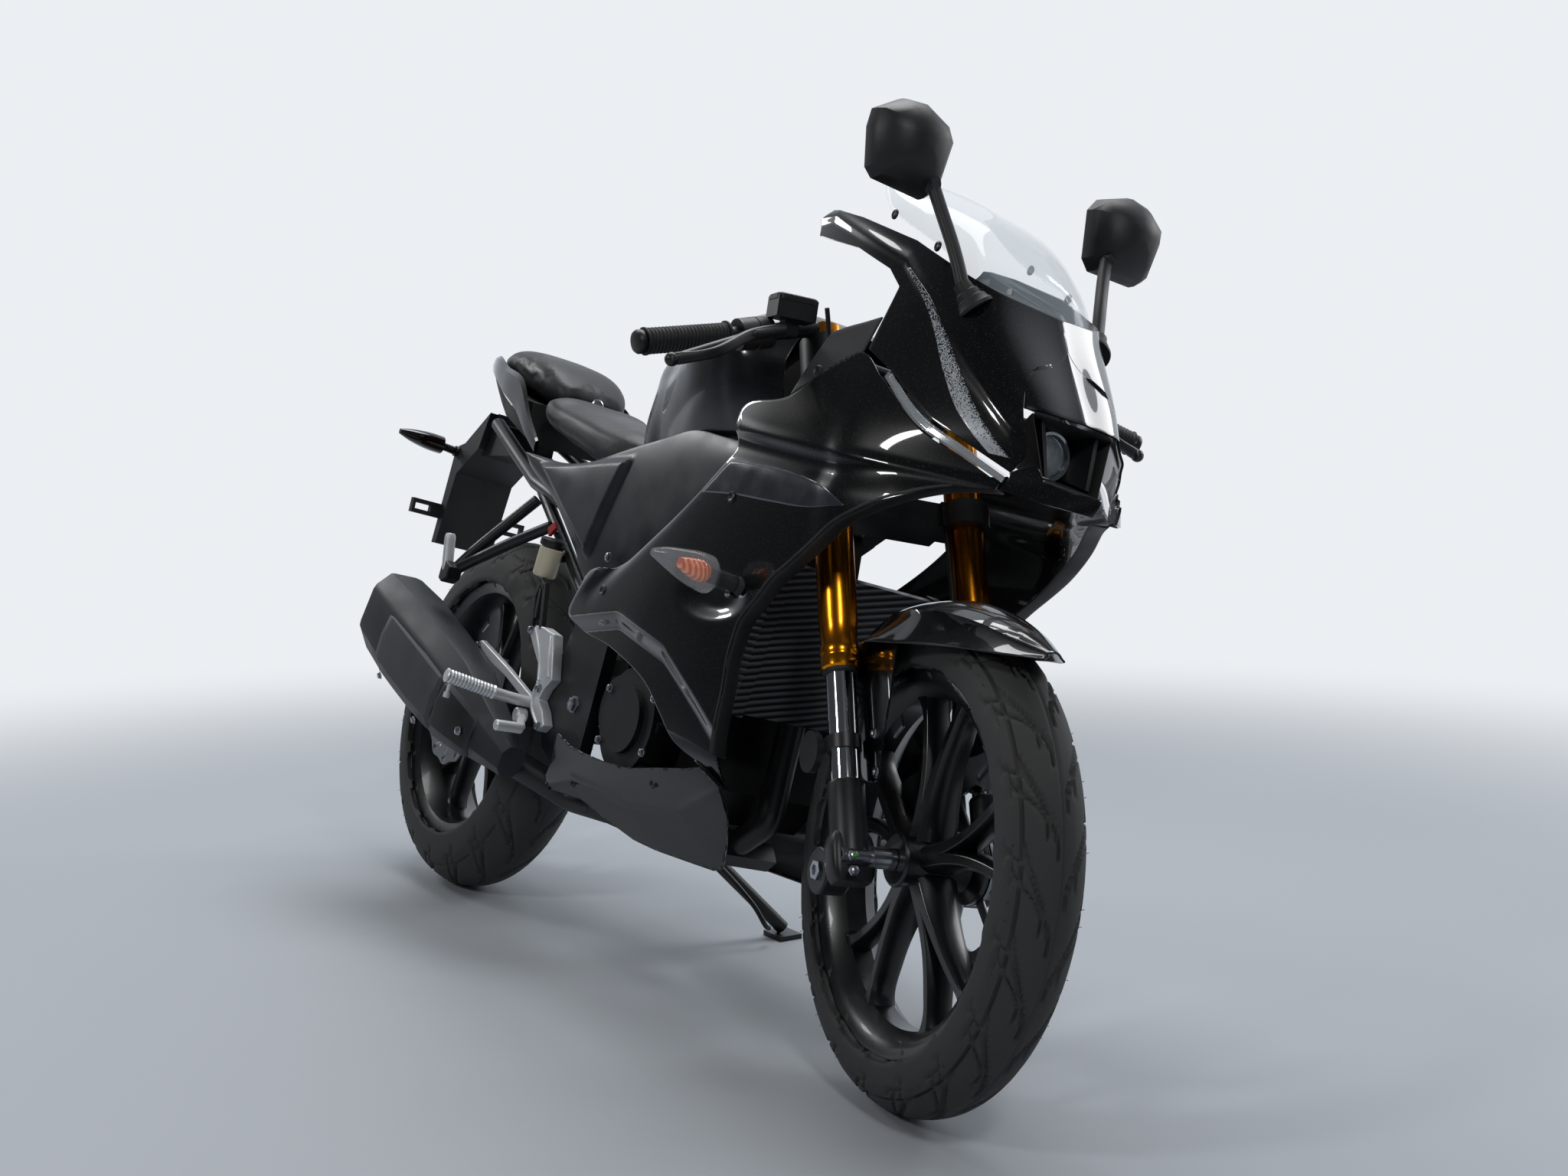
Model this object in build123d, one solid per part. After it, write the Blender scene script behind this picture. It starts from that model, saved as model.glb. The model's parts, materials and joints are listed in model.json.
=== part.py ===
from build123d import *
import os
from math import pi, asin, atan2, cos, degrees, radians, sin, sqrt, tan

# Sport bike parked on its side stand. Lengths are in millimetres.
# The model is laid out upright with the steering straight: +X forward, +Y to the rider's left,
# +Z up, with the origin on the ground under the rear axle. stand_up() then turns the steering,
# leans the bike onto its stand and moves the origin to the middle of its footprint.

# Driving dimensions
WHEELBASE = 1325.0
FRONT_WHEEL_R = 296.0
REAR_WHEEL_R = 314.0
FRONT_TYRE_W = 100.0
REAR_TYRE_W = 140.0
RIM_SEAT_R = 218.0
RIM_FLANGE_R = 231.0
RAKE = 25.5
TRAIL = 89.0
LEAN = 15.34
STEER_REST = -10.84
STEER_LOCK = 28.0
SEAT_HEIGHT = 825.0
CROWN_DROP = 0.62

# Clearances
RUNNING_GAP = 0.05
PANEL_GAP = 2.0
SKIN = 3.0

# Steering geometry
STEER_X = WHEELBASE + TRAIL
FORK_OFFSET = FRONT_WHEEL_R * sin(radians(RAKE)) - TRAIL * cos(radians(RAKE))
AXLE_U = TRAIL * sin(radians(RAKE)) + FRONT_WHEEL_R * cos(radians(RAKE))
STEER_UP = Vector(-sin(radians(RAKE)), 0, cos(radians(RAKE)))
STEER_AXIS = Axis((STEER_X, 0, 0), STEER_UP)
# In the fork plane, local x runs forward of the steering axis and local z runs up along it.
FORK = Plane(
    origin=(STEER_X, 0, 0),
    x_dir=(cos(radians(RAKE)), 0, sin(radians(RAKE))),
    z_dir=STEER_UP,
)

def fork_point(a, y, u):
    """A point given in the fork's own directions, in the bike's frame."""
    return tuple((FORK.location * Location((a, y, u))).position)


# Wheels
RIM_WALL = 5.0
FRONT_RIM_HALF = 40.0
REAR_RIM_HALF = 58.0
SPOKE_PAIRS = 5
SPOKE_SPREAD = 17.0
SPOKE_ROOT_W = 24.0
SPOKE_TIP_W = 20.0
HUB_R = 27.0
HUB_HALF = 48.0
FLANGE_R = 46.0
AXLE_R = 8.5
AXLE_BORE_R = 4.5
SPACER_R = 14.0
FRONT_DISC_R = 141.0
FRONT_DISC_IN_R = 96.0
FRONT_DISC_Y = 62.0
REAR_DISC_R = 110.0
REAR_DISC_IN_R = 70.0
REAR_DISC_Y = -76.0
DISC_T = 4.5
DISC_HOLES = 20
DISC_HOLE_R = 3.6

# Fork
FORK_HALF = 98.0
FORK_A = 30.0
OUTER_TUBE_R = 25.0
INNER_TUBE_R = 18.5
OUTER_LOW_U = 545.0
SLEEVE_LEN = 100.0
LOWER_CLAMP_U = 790.0
UPPER_CLAMP_U = 972.0
FORK_TOP_U = 1042.0
CLAMP_T = 34.0
CLIP_T = 32.0
STEM_R = 14.0
STEM_BORE_R = 7.0
STEM_BORE_DEPTH = 60.0

# Body of the bike
CRANK_X = 765.0
CRANK_Z = 372.0
PIVOT_X = 560.0
PIVOT_Z = 372.0
PIVOT_R = 9.0
PLATE_IN_Y = 112.0
PLATE_OUT_Y = 132.0
ARM_HALF = 108.0
ARM_T = 22.0
SPROCKET_Y = 84.0
CHAIN_W = 14.0
CHAIN_PITCH = 12.7
CHAIN_WAIST = 1.6
DRIVE_AT = (655.0, 362.0)
DRIVE_R = 32.0
SPROCKET_TEETH = 42
SPROCKET_TIP_R = 98.0

# Side stand
STAND_PIVOT = (580.0, 96.0, 216.0)
STAND_AXIS = Vector(0, 0.55, 0.835).normalized()
STAND_FOOT_X = 615.0
STAND_FOOT_Y = 297.0
STAND_LEG_R = 11.0
STAND_PAD_T = 8.0
STAND_BOLT_R = 6.0
STAND_SWING = 85.0

# Fuel cap
CAP_X = 760.0
CAP_Z = 978.0
CAP_T = 14.0
CAP_R = 38.0
CAP_SWING = 90.0
CAP_NECK_R = 46.0
CAP_PIN_R = 2.0
CAP_KNUCKLE_R = 4.5
CAP_HINGE = (CAP_X + CAP_R + CAP_KNUCKLE_R, 0.0, CAP_Z + CAP_KNUCKLE_R + 1.0)

# Tank cover, from the seat forwards
TANK_ROWS = (
    # x, half width low, half width at the shoulder, low z, top z, half width at the top
    (478.0, 62.0, 66.0, 806.0, 912.0, 42.0),
    (500.0, 80.0, 82.0, 780.0, 932.0, 56.0),
    (600.0, 106.0, 116.0, 777.0, 956.0, 72.0),
    (740.0, 120.0, 160.0, 787.0, 982.0, 86.0),
    (868.0, 112.0, 150.0, 800.0, 985.0, 84.0),
    (905.0, 84.0, 108.0, 812.0, 968.0, 62.0),
)

# Seats, from the front backwards
RIDER_SEAT_ROWS = (
    # x, half width, low z, top z
    (474.0, 58.0, 762.0, 800.0), (430.0, 84.0, 747.0, 816.0), (350.0, 100.0, 757.0, 834.0),
    (271.0, 105.0, 779.0, 852.0), (195.0, 104.0, 801.0, 868.0), (131.0, 103.0, 826.0, 881.0),
    (119.0, 98.0, 834.0, 876.0),
)
PILLION_ROWS = (
    (112.0, 64.0, 868.0, 908.0), (72.0, 80.0, 870.0, 936.0), (-40.0, 84.0, 892.4, 972.0),
    (-130.0, 76.0, 915.4, 984.0), (-204.0, 56.0, 936.4, 985.0),
)

# Front fender, from the rear lip to the tip
FENDER_ROWS = (
    # x, roof z, crease half width, crease z, edge half width, edge z
    (1128.0, 540.0, 44.0, 528.0, 68.0, 484.0), (1190.0, 576.0, 52.0, 560.0, 70.0, 516.0),
    (1222.0, 591.0, 54.0, 574.0, 72.0, 531.0),
    (1250.0, 602.0, 58.0, 584.0, 99.0, 545.0), (1310.0, 612.0, 56.0, 592.0, 84.0, 552.0),
    (1370.0, 612.0, 48.0, 592.0, 70.0, 554.0), (1430.0, 602.0, 38.0, 586.0, 58.0, 556.0),
    (1490.0, 584.0, 26.0, 573.0, 42.0, 556.0), (1540.0, 565.0, 9.0, 562.0, 14.0, 557.0),
)

# Number plate bracket
PLATE_X = -346.0
PLATE_Z = 662.0

# Half widths of the fairing, read off in plan at each height. The stations run forward along
# the side; corner and front close the plan across the nose.
STATIONS = (540.0, 700.0, 850.0, 980.0, 1080.0, 1170.0, 1250.0)
FAIRING_LEVELS = (
    # height, half widths at the stations, corner x, corner half width, front x
    (200.0, (92.0, 90.0, 88.0, 80.0, 68.0, 48.0, 30.0), 1290.0, 20.0, 1300.0),
    (245.0, (135.0, 132.0, 128.0, 122.0, 108.0, 84.0, 60.0), 1300.0, 40.0, 1310.0),
    (310.0, (160.0, 168.0, 170.0, 169.0, 165.0, 150.0, 120.0), 1320.0, 80.0, 1340.0),
    (470.0, (188.0, 195.0, 197.0, 192.0, 180.0, 168.0, 150.0), 1350.0, 110.0, 1380.0),
    (640.0, (192.0, 199.0, 205.0, 204.0, 198.0, 188.0, 174.0), 1395.0, 105.0, 1450.0),
    (715.0, (184.0, 194.0, 204.0, 206.0, 202.0, 193.0, 180.0), 1432.0, 80.0, 1500.0),
    (745.0, (178.0, 190.0, 202.0, 206.0, 202.0, 192.0, 176.0), 1440.0, 60.0, 1512.0),
    (800.0, (168.0, 182.0, 196.0, 203.0, 200.0, 190.0, 168.0), 1415.0, 76.0, 1452.0),
    (860.0, (150.0, 165.0, 185.0, 196.0, 192.0, 178.0, 152.0), 1384.0, 82.0, 1408.0),
    (985.0, (110.0, 130.0, 150.0, 160.0, 158.0, 142.0, 118.0), 1306.0, 86.0, 1330.0),
    (1130.0, (70.0, 90.0, 110.0, 124.0, 116.0, 100.0, 80.0), 1262.0, 66.0, 1270.0),
)

# Side outlines of the fairing panels, as x and z
SIDE_COWL_OUTLINE = (
    (978, 806), (984, 750), (945, 711), (842, 640), (727, 582), (637, 567), (593, 507), (617, 490),
    (735, 468), (854, 431), (908, 396), (951, 366), (1042, 341), (1086, 321.3), (1062, 379),
    (1054, 471), (1062, 522), (1079, 545), (1128, 595), (1161, 619), (1221, 664), (1274, 696),
    (1316, 718), (1363, 733), (1399, 737), (1399, 745), (1302, 795), (1226, 856), (1182, 888),
    (1082, 826),
)
NOSE_OUTLINE = (
    (1406, 760), (1402, 738), (1463, 728), (1560, 718), (1560, 900), (1345, 968), (1316, 980),
    (1180, 1046), (1060, 1086), (985, 1104), (962, 1092), (975, 1066), (1080, 1040), (1158, 1006),
    (1188, 980), (1190, 892), (1232, 868), (1308, 811),
)
RUNNING_LAMP_OUTLINE = (
    (1230, 866), (1306, 809), (1402, 758), (1399.4, 745.3), (1302.2, 795.2), (1226.3, 856.2),
)
INNER_PANEL_OUTLINE = ((1081.9, 826.2), (1181.9, 888.2), (1184, 938), (1112, 915))
LOWER_COWL_OUTLINE = (
    (517, 238), (563, 276), (598, 328), (646, 313), (753, 307), (841, 310), (919, 322),
    (1000, 333), (1042, 340.7), (1085, 321.5), (1074, 286), (1036, 244), (1000, 212), (972, 205),
    (819, 203), (758, 206), (635, 239),
)
FRAME_COVER_OUTLINE = (
    (179, 765), (200, 742), (326, 683), (440, 610), (503, 567), (590, 569), (640, 590),
    (760, 640), (940, 730), (900, 780), (745, 800), (585, 775), (423, 742),
)


# Small building blocks


def side_prism(outline, y_low, y_high):
    """Solid between two y values with an outline of x and z points."""
    points = [(x, y_high, z) for x, z in outline]
    face = make_face(Polyline(*points, close=True))
    return extrude(face, amount=y_high - y_low, dir=(0, -1, 0))


def front_prism(outline, x_low, x_high):
    """Solid between two x values with an outline of y and z points."""
    points = [(x_low, y, z) for y, z in outline]
    face = make_face(Polyline(*points, close=True))
    return extrude(face, amount=x_high - x_low, dir=(1, 0, 0))


def plan_prism(outline, z_low, z_high):
    """Solid between two heights with an outline of x and y points."""
    points = [(x, y, z_low) for x, y in outline]
    face = make_face(Polyline(*points, close=True))
    return extrude(face, amount=z_high - z_low, dir=(0, 0, 1))


def rod(start, end, radius):
    """Round bar from one point to another."""
    low, high = Vector(start), Vector(end)
    run = high - low
    return Solid.make_cylinder(radius, run.length, Plane(origin=low, z_dir=run))


def hollow_rod(start, end, radius, bore):
    """Round tube from one point to another."""
    return rod(start, end, radius) - rod(start, end, bore)


def bent_rod(points, bend, radius):
    """Round bar along straight runs joined by arcs."""
    path = FilletPolyline(*points, radius=bend)
    return sweep(Plane(path @ 0, z_dir=path % 0) * Circle(radius), path=path)


def turned(profile, centre=(0, 0, 0)):
    """Solid turned about a line along Y from radius and y points."""
    face = make_face(Polyline(*[(r, y) for r, y in profile], close=True))
    return revolve(face, Axis.Y, 360).moved(Location(centre))


def y_disc(centre, radius, y_low, y_high):
    """Round plate lying across Y."""
    return rod((centre[0], y_low, centre[1]), (centre[0], y_high, centre[1]), radius)


def block(x, y, z):
    """Box from its low and high limits along each axis."""
    box = Box(x[1] - x[0], y[1] - y[0], z[1] - z[0])
    return box.moved(Location(((x[0] + x[1]) / 2, (y[0] + y[1]) / 2, (z[0] + z[1]) / 2)))


def fork_block(a, y, u):
    """Box in the fork's own directions."""
    return block(a, y, u).moved(FORK.location)


def fork_rod(start, end, radius):
    """Round bar in the fork's own directions."""
    return rod(start, end, radius).moved(FORK.location)


def both_sides(shape):
    """A right hand shape and its mirror image."""
    return [shape, shape.mirror(Plane.XZ)]


def across(shape):
    """A half shape that touches the middle plane, joined to its mirror image."""
    return shape + shape.mirror(Plane.XZ)


def skewed(sections):
    """Straight sided loft through closed outlines with equal numbers of points."""
    wires = [Wire.make_polygon([Vector(*p) for p in s], close=True) for s in sections]
    return Solid.make_loft(wires, ruled=True)


# Wheels


def wheel_tyre(crown_r, half_width, rim_half):
    """Tyre with a round crown, straight sidewalls and open beads."""
    seat = RIM_SEAT_R + RUNNING_GAP
    bead = rim_half - RIM_WALL - 0.1
    side_r = RIM_FLANGE_R + 12.0
    wide_r = crown_r - CROWN_DROP * half_width
    inner = 7.0
    lip = RIM_FLANGE_R + 2.0
    right = Polyline((seat, -bead), (lip, -bead), (side_r, -rim_half - 2.0), (wide_r, -half_width))
    crown = ThreePointArc((wide_r, -half_width), (crown_r, 0), (wide_r, half_width))
    left = Polyline((wide_r, half_width), (side_r, rim_half + 2.0), (lip, bead), (seat, bead))
    left_in = Polyline(
        (seat, bead), (seat, bead - inner), (side_r, rim_half - inner),
        (wide_r, half_width - inner),
    )
    roof = ThreePointArc(
        (wide_r, half_width - inner), (crown_r - inner - 2.0, 0), (wide_r, inner - half_width)
    )
    right_in = Polyline(
        (wide_r, inner - half_width), (side_r, inner - rim_half), (seat, inner - bead),
        (seat, -bead),
    )
    face = make_face([right, crown, left, left_in, roof, right_in])
    return revolve(face, Axis.Y, 360)


def wheel_rim(rim_half, drop_r, hub_half, disc_y):
    """Cast rim, hub and forked spokes about the origin."""
    well = drop_r - RIM_WALL
    ledge = rim_half - RIM_WALL
    barrel = turned((
        (RIM_FLANGE_R, -rim_half), (RIM_FLANGE_R, -rim_half + RIM_WALL), (RIM_SEAT_R, -ledge),
        (RIM_SEAT_R - 3, -rim_half * 0.55), (drop_r, -rim_half * 0.35), (drop_r, rim_half * 0.35),
        (RIM_SEAT_R - 3, rim_half * 0.55), (RIM_SEAT_R, ledge),
        (RIM_FLANGE_R, rim_half - RIM_WALL), (RIM_FLANGE_R, rim_half),
        (RIM_SEAT_R - RIM_WALL, rim_half - 2), (well + 3, rim_half * 0.55),
        (well, rim_half * 0.3), (well, -rim_half * 0.3), (well + 3, -rim_half * 0.55),
        (RIM_SEAT_R - RIM_WALL, 2 - rim_half),
    ))
    hub = turned((
        (SPACER_R, -hub_half), (HUB_R - 4, -hub_half), (HUB_R, -hub_half + 6),
        (HUB_R + 6, -16), (HUB_R + 6, 16), (HUB_R, hub_half - 6), (HUB_R - 4, hub_half),
        (SPACER_R, hub_half),
    ))
    face = disc_y - DISC_T / 2 if disc_y > 0 else disc_y + DISC_T / 2
    wheel = barrel + hub + y_disc((0, 0), FLANGE_R, *sorted((0.8 * face, face)))
    for pair in range(SPOKE_PAIRS):
        middle = 360.0 * pair / SPOKE_PAIRS + 90.0
        for side in (-1, 1):
            wheel += wheel_spoke(well + 1.0).moved(Location((0, 0, 0), (0, -middle, 0))
                                                   * Location((0, 0, 0), (0, -side * SPOKE_SPREAD, 0))
                                                   * Location((0, 0, side * 9.0)))
    bore = y_disc((0, 0), SPACER_R, -100, 100)
    return wheel - bore


def wheel_spoke(reach):
    """One spoke along +X, thick at the hub and thin at the rim."""
    sections = []
    for x, w, d in ((HUB_R - 6, SPOKE_ROOT_W, 38.0), (reach * 0.55, SPOKE_TIP_W * 0.8, 30.0),
                    (reach, SPOKE_TIP_W, 24.0)):
        sections.append([
            (x, -d / 2, -w * 0.3), (x, -d * 0.2, -w / 2), (x, d * 0.2, -w / 2), (x, d / 2, -w * 0.3),
            (x, d / 2, w * 0.3), (x, d * 0.2, w / 2), (x, -d * 0.2, w / 2), (x, -d / 2, w * 0.3),
        ])
    return skewed(sections)


def brake_disc(radius, inner, y, carrier_r):
    """Slotted brake disc on a five armed carrier."""
    plate = y_disc((0, 0), radius, y - DISC_T / 2, y + DISC_T / 2)
    plate -= y_disc((0, 0), inner, y - DISC_T, y + DISC_T)
    carrier = y_disc((0, 0), carrier_r, y - DISC_T / 2, y + DISC_T / 2)
    carrier -= y_disc((0, 0), HUB_R + 8, y - DISC_T, y + DISC_T)
    for hole in range(DISC_HOLES):
        row = 0.36 + 0.28 * (hole % 2)
        drill = y_disc((inner + (radius - inner) * row, 0), DISC_HOLE_R, y - DISC_T, y + DISC_T)
        plate -= drill.moved(Location((0, 0, 0), (0, 360.0 * hole / DISC_HOLES, 0)))
    disc = plate + carrier
    for arm in range(5):
        angle = 72.0 * arm
        bar = block((carrier_r - 8, inner + 10), (y - DISC_T / 2, y + DISC_T / 2), (-9, 9))
        disc += bar.moved(Location((0, 0, 0), (0, angle, 0)))
    return disc


def front_rim():
    return wheel_rim(FRONT_RIM_HALF, 204.0, HUB_HALF, FRONT_DISC_Y)


def rear_rim():
    return wheel_rim(REAR_RIM_HALF, 204.0, HUB_HALF + 14, REAR_DISC_Y)


def sprocket():
    """Rear chain wheel with its teeth inside the chain's outline."""
    rim = []
    for step in range(2 * SPROCKET_TEETH):
        angle, reach = pi * step / SPROCKET_TEETH, SPROCKET_TIP_R - 5.0 * (step % 2)
        rim.append((reach * cos(angle), reach * sin(angle)))
    wheel = side_prism(rim, SPROCKET_Y - 3, SPROCKET_Y + 3)
    wheel -= y_disc((0, 0), 70.0, SPROCKET_Y - 5, SPROCKET_Y + 5)
    wheel += y_disc((0, 0), 46.0, HUB_HALF + 14, SPROCKET_Y + 3)
    for arm in range(5):
        bar = block((40, 74), (SPROCKET_Y - 3, SPROCKET_Y + 3), (-11, 11))
        wheel += bar.moved(Location((0, 0, 0), (0, 72.0 * arm, 0)))
    return wheel - y_disc((0, 0), SPACER_R, 0, 200)


# Front end


def fork_side_rods(radius, u_low, u_high):
    """One rod in each fork leg between two heights along the steering axis."""
    shapes = []
    for side in (-1, 1):
        low = (FORK_A, side * FORK_HALF, u_low)
        high = (FORK_A, side * FORK_HALF, u_high)
        shapes.append(fork_rod(low, high, radius))
    return shapes


def triple_clamps():
    """Lower and upper clamp plates joined by the steering stem."""
    clamp = None
    for u in (LOWER_CLAMP_U, UPPER_CLAMP_U):
        plate = fork_block((-26, 34), (-74, 74), (u - CLAMP_T / 2, u + CLAMP_T / 2))
        for side in (-1, 1):
            centre = (FORK_A, side * FORK_HALF)
            plate += fork_rod((*centre, u - CLAMP_T / 2), (*centre, u + CLAMP_T / 2), OUTER_TUBE_R + 9)
            plate += fork_block((-10, 40), (min(side * 60, side * 90), max(side * 60, side * 90)),
                                (u - CLAMP_T / 2, u + CLAMP_T / 2))
        clamp = plate if clamp is None else clamp + plate
    clamp += fork_rod((0, 0, LOWER_CLAMP_U), (0, 0, UPPER_CLAMP_U), STEM_R)
    top = UPPER_CLAMP_U + CLAMP_T / 2
    clamp -= fork_rod((0, 0, top - STEM_BORE_DEPTH), (0, 0, top + 1), STEM_BORE_R)
    for side in (-1, 1):
        centre = (FORK_A, side * FORK_HALF)
        clamp -= fork_rod((*centre, 0), (*centre, 1200), OUTER_TUBE_R + RUNNING_GAP)
    return clamp


def fork_outer_tubes():
    return fork_side_rods(OUTER_TUBE_R, OUTER_LOW_U, FORK_TOP_U)


def fork_inner_tubes():
    return fork_side_rods(INNER_TUBE_R, AXLE_U + 60, OUTER_LOW_U - RUNNING_GAP)


def fork_bottoms():
    """Cast axle holders under the inner tubes, with the caliper's lug on the left."""
    shapes = []
    for side in (-1, 1):
        y = side * FORK_HALF
        top = AXLE_U + SLEEVE_LEN
        leg = fork_rod((FORK_A, y, AXLE_U - 12), (FORK_A, y, top), INNER_TUBE_R + 4.5)
        leg += fork_block((FORK_A - 14, FORK_OFFSET + 24), (y - 17, y + 17), (AXLE_U - 30, AXLE_U + 34))
        if side > 0:
            leg += fork_block((CALIPER_A + RUNNING_GAP, 20), (72, 104), (AXLE_U + 66, AXLE_U + 98))
        leg -= fork_rod((FORK_A, y, AXLE_U + 60), (FORK_A, y, top + 1), INNER_TUBE_R + RUNNING_GAP)
        leg -= fork_rod((FORK_OFFSET, -200, AXLE_U), (FORK_OFFSET, 200, AXLE_U), AXLE_R + RUNNING_GAP)
        spot = side * (FORK_HALF - 17)
        leg -= fork_rod((FORK_OFFSET, 0, AXLE_U), (FORK_OFFSET, spot, AXLE_U), SPACER_R + 1)
        shapes.append(leg)
    return shapes


CALIPER_A = -2.0


def front_axle():
    centre = (WHEELBASE, FRONT_WHEEL_R)
    axle = y_disc(centre, AXLE_R, -FORK_HALF - 20, FORK_HALF + 20)
    axle += y_disc(centre, SPACER_R - 1, -FORK_HALF + 17.5, -HUB_HALF - 1)
    axle += y_disc(centre, SPACER_R - 1, HUB_HALF + 1, FORK_HALF - 17.5)
    return axle - y_disc(centre, AXLE_BORE_R, -200, 200)


def handlebars():
    """Clip-on bars above the top clamp."""
    bars = []
    for side in (-1, 1):
        u = UPPER_CLAMP_U + CLAMP_T / 2 + RUNNING_GAP
        ring = fork_rod((FORK_A, side * FORK_HALF, u), (FORK_A, side * FORK_HALF, u + CLIP_T), 34)
        root = bar_point(side, 0.0)
        tip = bar_point(side, BAR_LEN - 2)
        bar = ring + rod(root, tip, BAR_R)
        bar -= fork_rod((FORK_A, side * FORK_HALF, u - 30), (FORK_A, side * FORK_HALF, u + 80),
                        OUTER_TUBE_R + RUNNING_GAP)
        bars.append(bar)
    return bars


BAR_R = 11.0
BAR_ROOT = (1014.0, 120.0, 950.0)
BAR_TIP = (1057.0, 374.0, 878.0)
BAR_LEN = sqrt(sum((t - r) ** 2 for r, t in zip(BAR_ROOT, BAR_TIP)))
GRIP_LEN = 122.0
GRIP_R = 16.5


def bar_point(side, along):
    """Point on a handlebar at a distance from its root."""
    share = along / BAR_LEN
    x, y, z = (r + (t - r) * share for r, t in zip(BAR_ROOT, BAR_TIP))
    return (x, side * y, z)


def grips():
    """Rubber grips with their end weights."""
    shapes = []
    for side in (-1, 1):
        grip = rod(bar_point(side, BAR_LEN - 20 - GRIP_LEN), bar_point(side, BAR_LEN - 20), GRIP_R)
        grip += rod(bar_point(side, BAR_LEN - 20), bar_point(side, BAR_LEN), GRIP_R - 1)
        grip -= rod(bar_point(side, 0), bar_point(side, BAR_LEN - 1.5), BAR_R + RUNNING_GAP)
        shapes.append(grip)
    return shapes


def hand_controls():
    """Switch boxes, levers and the brake fluid box."""
    shapes = []
    for side in (-1, 1):
        near = bar_point(side, BAR_LEN - GRIP_LEN - 70)
        far = bar_point(side, BAR_LEN - GRIP_LEN - 24)
        box = rod(near, far, 21)
        root = Vector(*bar_point(side, BAR_LEN - GRIP_LEN - 78)) + Vector(38, 0, 0)
        knee = Vector(*bar_point(side, BAR_LEN - GRIP_LEN - 30)) + Vector(48, 0, -4)
        tip = Vector(1112, side * 345, 857)
        box += rod(near, tuple(root), 10)
        box += rod(tuple(root), tuple(knee), 7) + rod(tuple(knee), tuple(tip), 6)
        box += Sphere(7).moved(Location(tuple(knee))) + Sphere(9).moved(Location(tuple(tip)))
        if side < 0:
            bx, by, bz = bar_point(side, BAR_LEN - GRIP_LEN - 92)
            box += block((bx + 8, bx + 46), (by - 28, by + 28), (bz + 12, bz + 40))
            box += block((bx + 14, bx + 34), (by - 10, by + 10), (bz - 8, bz + 13))
        box -= rod(bar_point(side, 0), bar_point(side, BAR_LEN), BAR_R + RUNNING_GAP)
        shapes.append(box)
    return shapes


def front_fender():
    """Arched front fender with its side flaps."""
    rings = []
    for x, roof_z, crease, crease_z, edge, edge_z in FENDER_ROWS:
        half = [(0, roof_z), (crease, crease_z), (edge, edge_z)]
        lining = [(edge - SKIN, edge_z), (crease - 2, crease_z - SKIN), (0, roof_z - SKIN)]
        left = half + lining
        rings.append([(x, y, z) for y, z in left[:-1]] + [(x, 0, lining[-1][1])]
                     + [(x, -y, z) for y, z in reversed(left[1:-1])])
    arch = skewed(rings)
    flaps = None
    for side in (-1, 1):
        flap = side_prism(
            ((1152, 505), (1190, 535), (1245, 566), (1292, 571), (1300, 520), (1296, 384), (1262, 382),
             (1225, 470)),
            *sorted((side * 70, side * 73)),
        )
        for u, tube_r in ((401, INNER_TUBE_R + 4.6), (466, INNER_TUBE_R + 0.1)):
            lug = fork_block((FORK_A, 60), sorted((side * 70, side * 88)), (u - 4, u + 4))
            flap += lug - fork_rod((FORK_A, side * FORK_HALF, u - 9), (FORK_A, side * FORK_HALF, u + 9), tube_r)
        flaps = flap if flaps is None else flaps + flap
    return arch + flaps


def front_caliper():
    """Two piston brake caliper on the left fork leg."""
    body = fork_block((CALIPER_A - 62, CALIPER_A), (FRONT_DISC_Y - 30, FRONT_DISC_Y + 24),
                      (AXLE_U + 60, AXLE_U + 142))
    hub = (WHEELBASE, FRONT_WHEEL_R)
    return body - y_disc(hub, FRONT_DISC_R + 5, FRONT_DISC_Y - 6, FRONT_DISC_Y + 6)


def reflectors():
    """Round side reflectors on clamps round the inner tubes."""
    shapes = []
    for side in (-1, 1):
        y = side * FORK_HALF
        disc = fork_rod((REFLECTOR_A, y + side * 22, REFLECTOR_U), (REFLECTOR_A, y + side * 31, REFLECTOR_U), 26)
        arm_y = sorted((y + side * 19, y + side * 22))
        arm = fork_block((REFLECTOR_A, FORK_A), arm_y, (REFLECTOR_U - 9, REFLECTOR_U + 9))
        ring = fork_rod((FORK_A, y, REFLECTOR_U - 9), (FORK_A, y, REFLECTOR_U + 9), INNER_TUBE_R + 3)
        ring -= fork_rod((FORK_A, y, 0), (FORK_A, y, 600), INNER_TUBE_R + RUNNING_GAP)
        shapes.append(disc + arm + ring)
    return shapes


REFLECTOR_A = -7.0
REFLECTOR_U = 450.0


# Chassis


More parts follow.
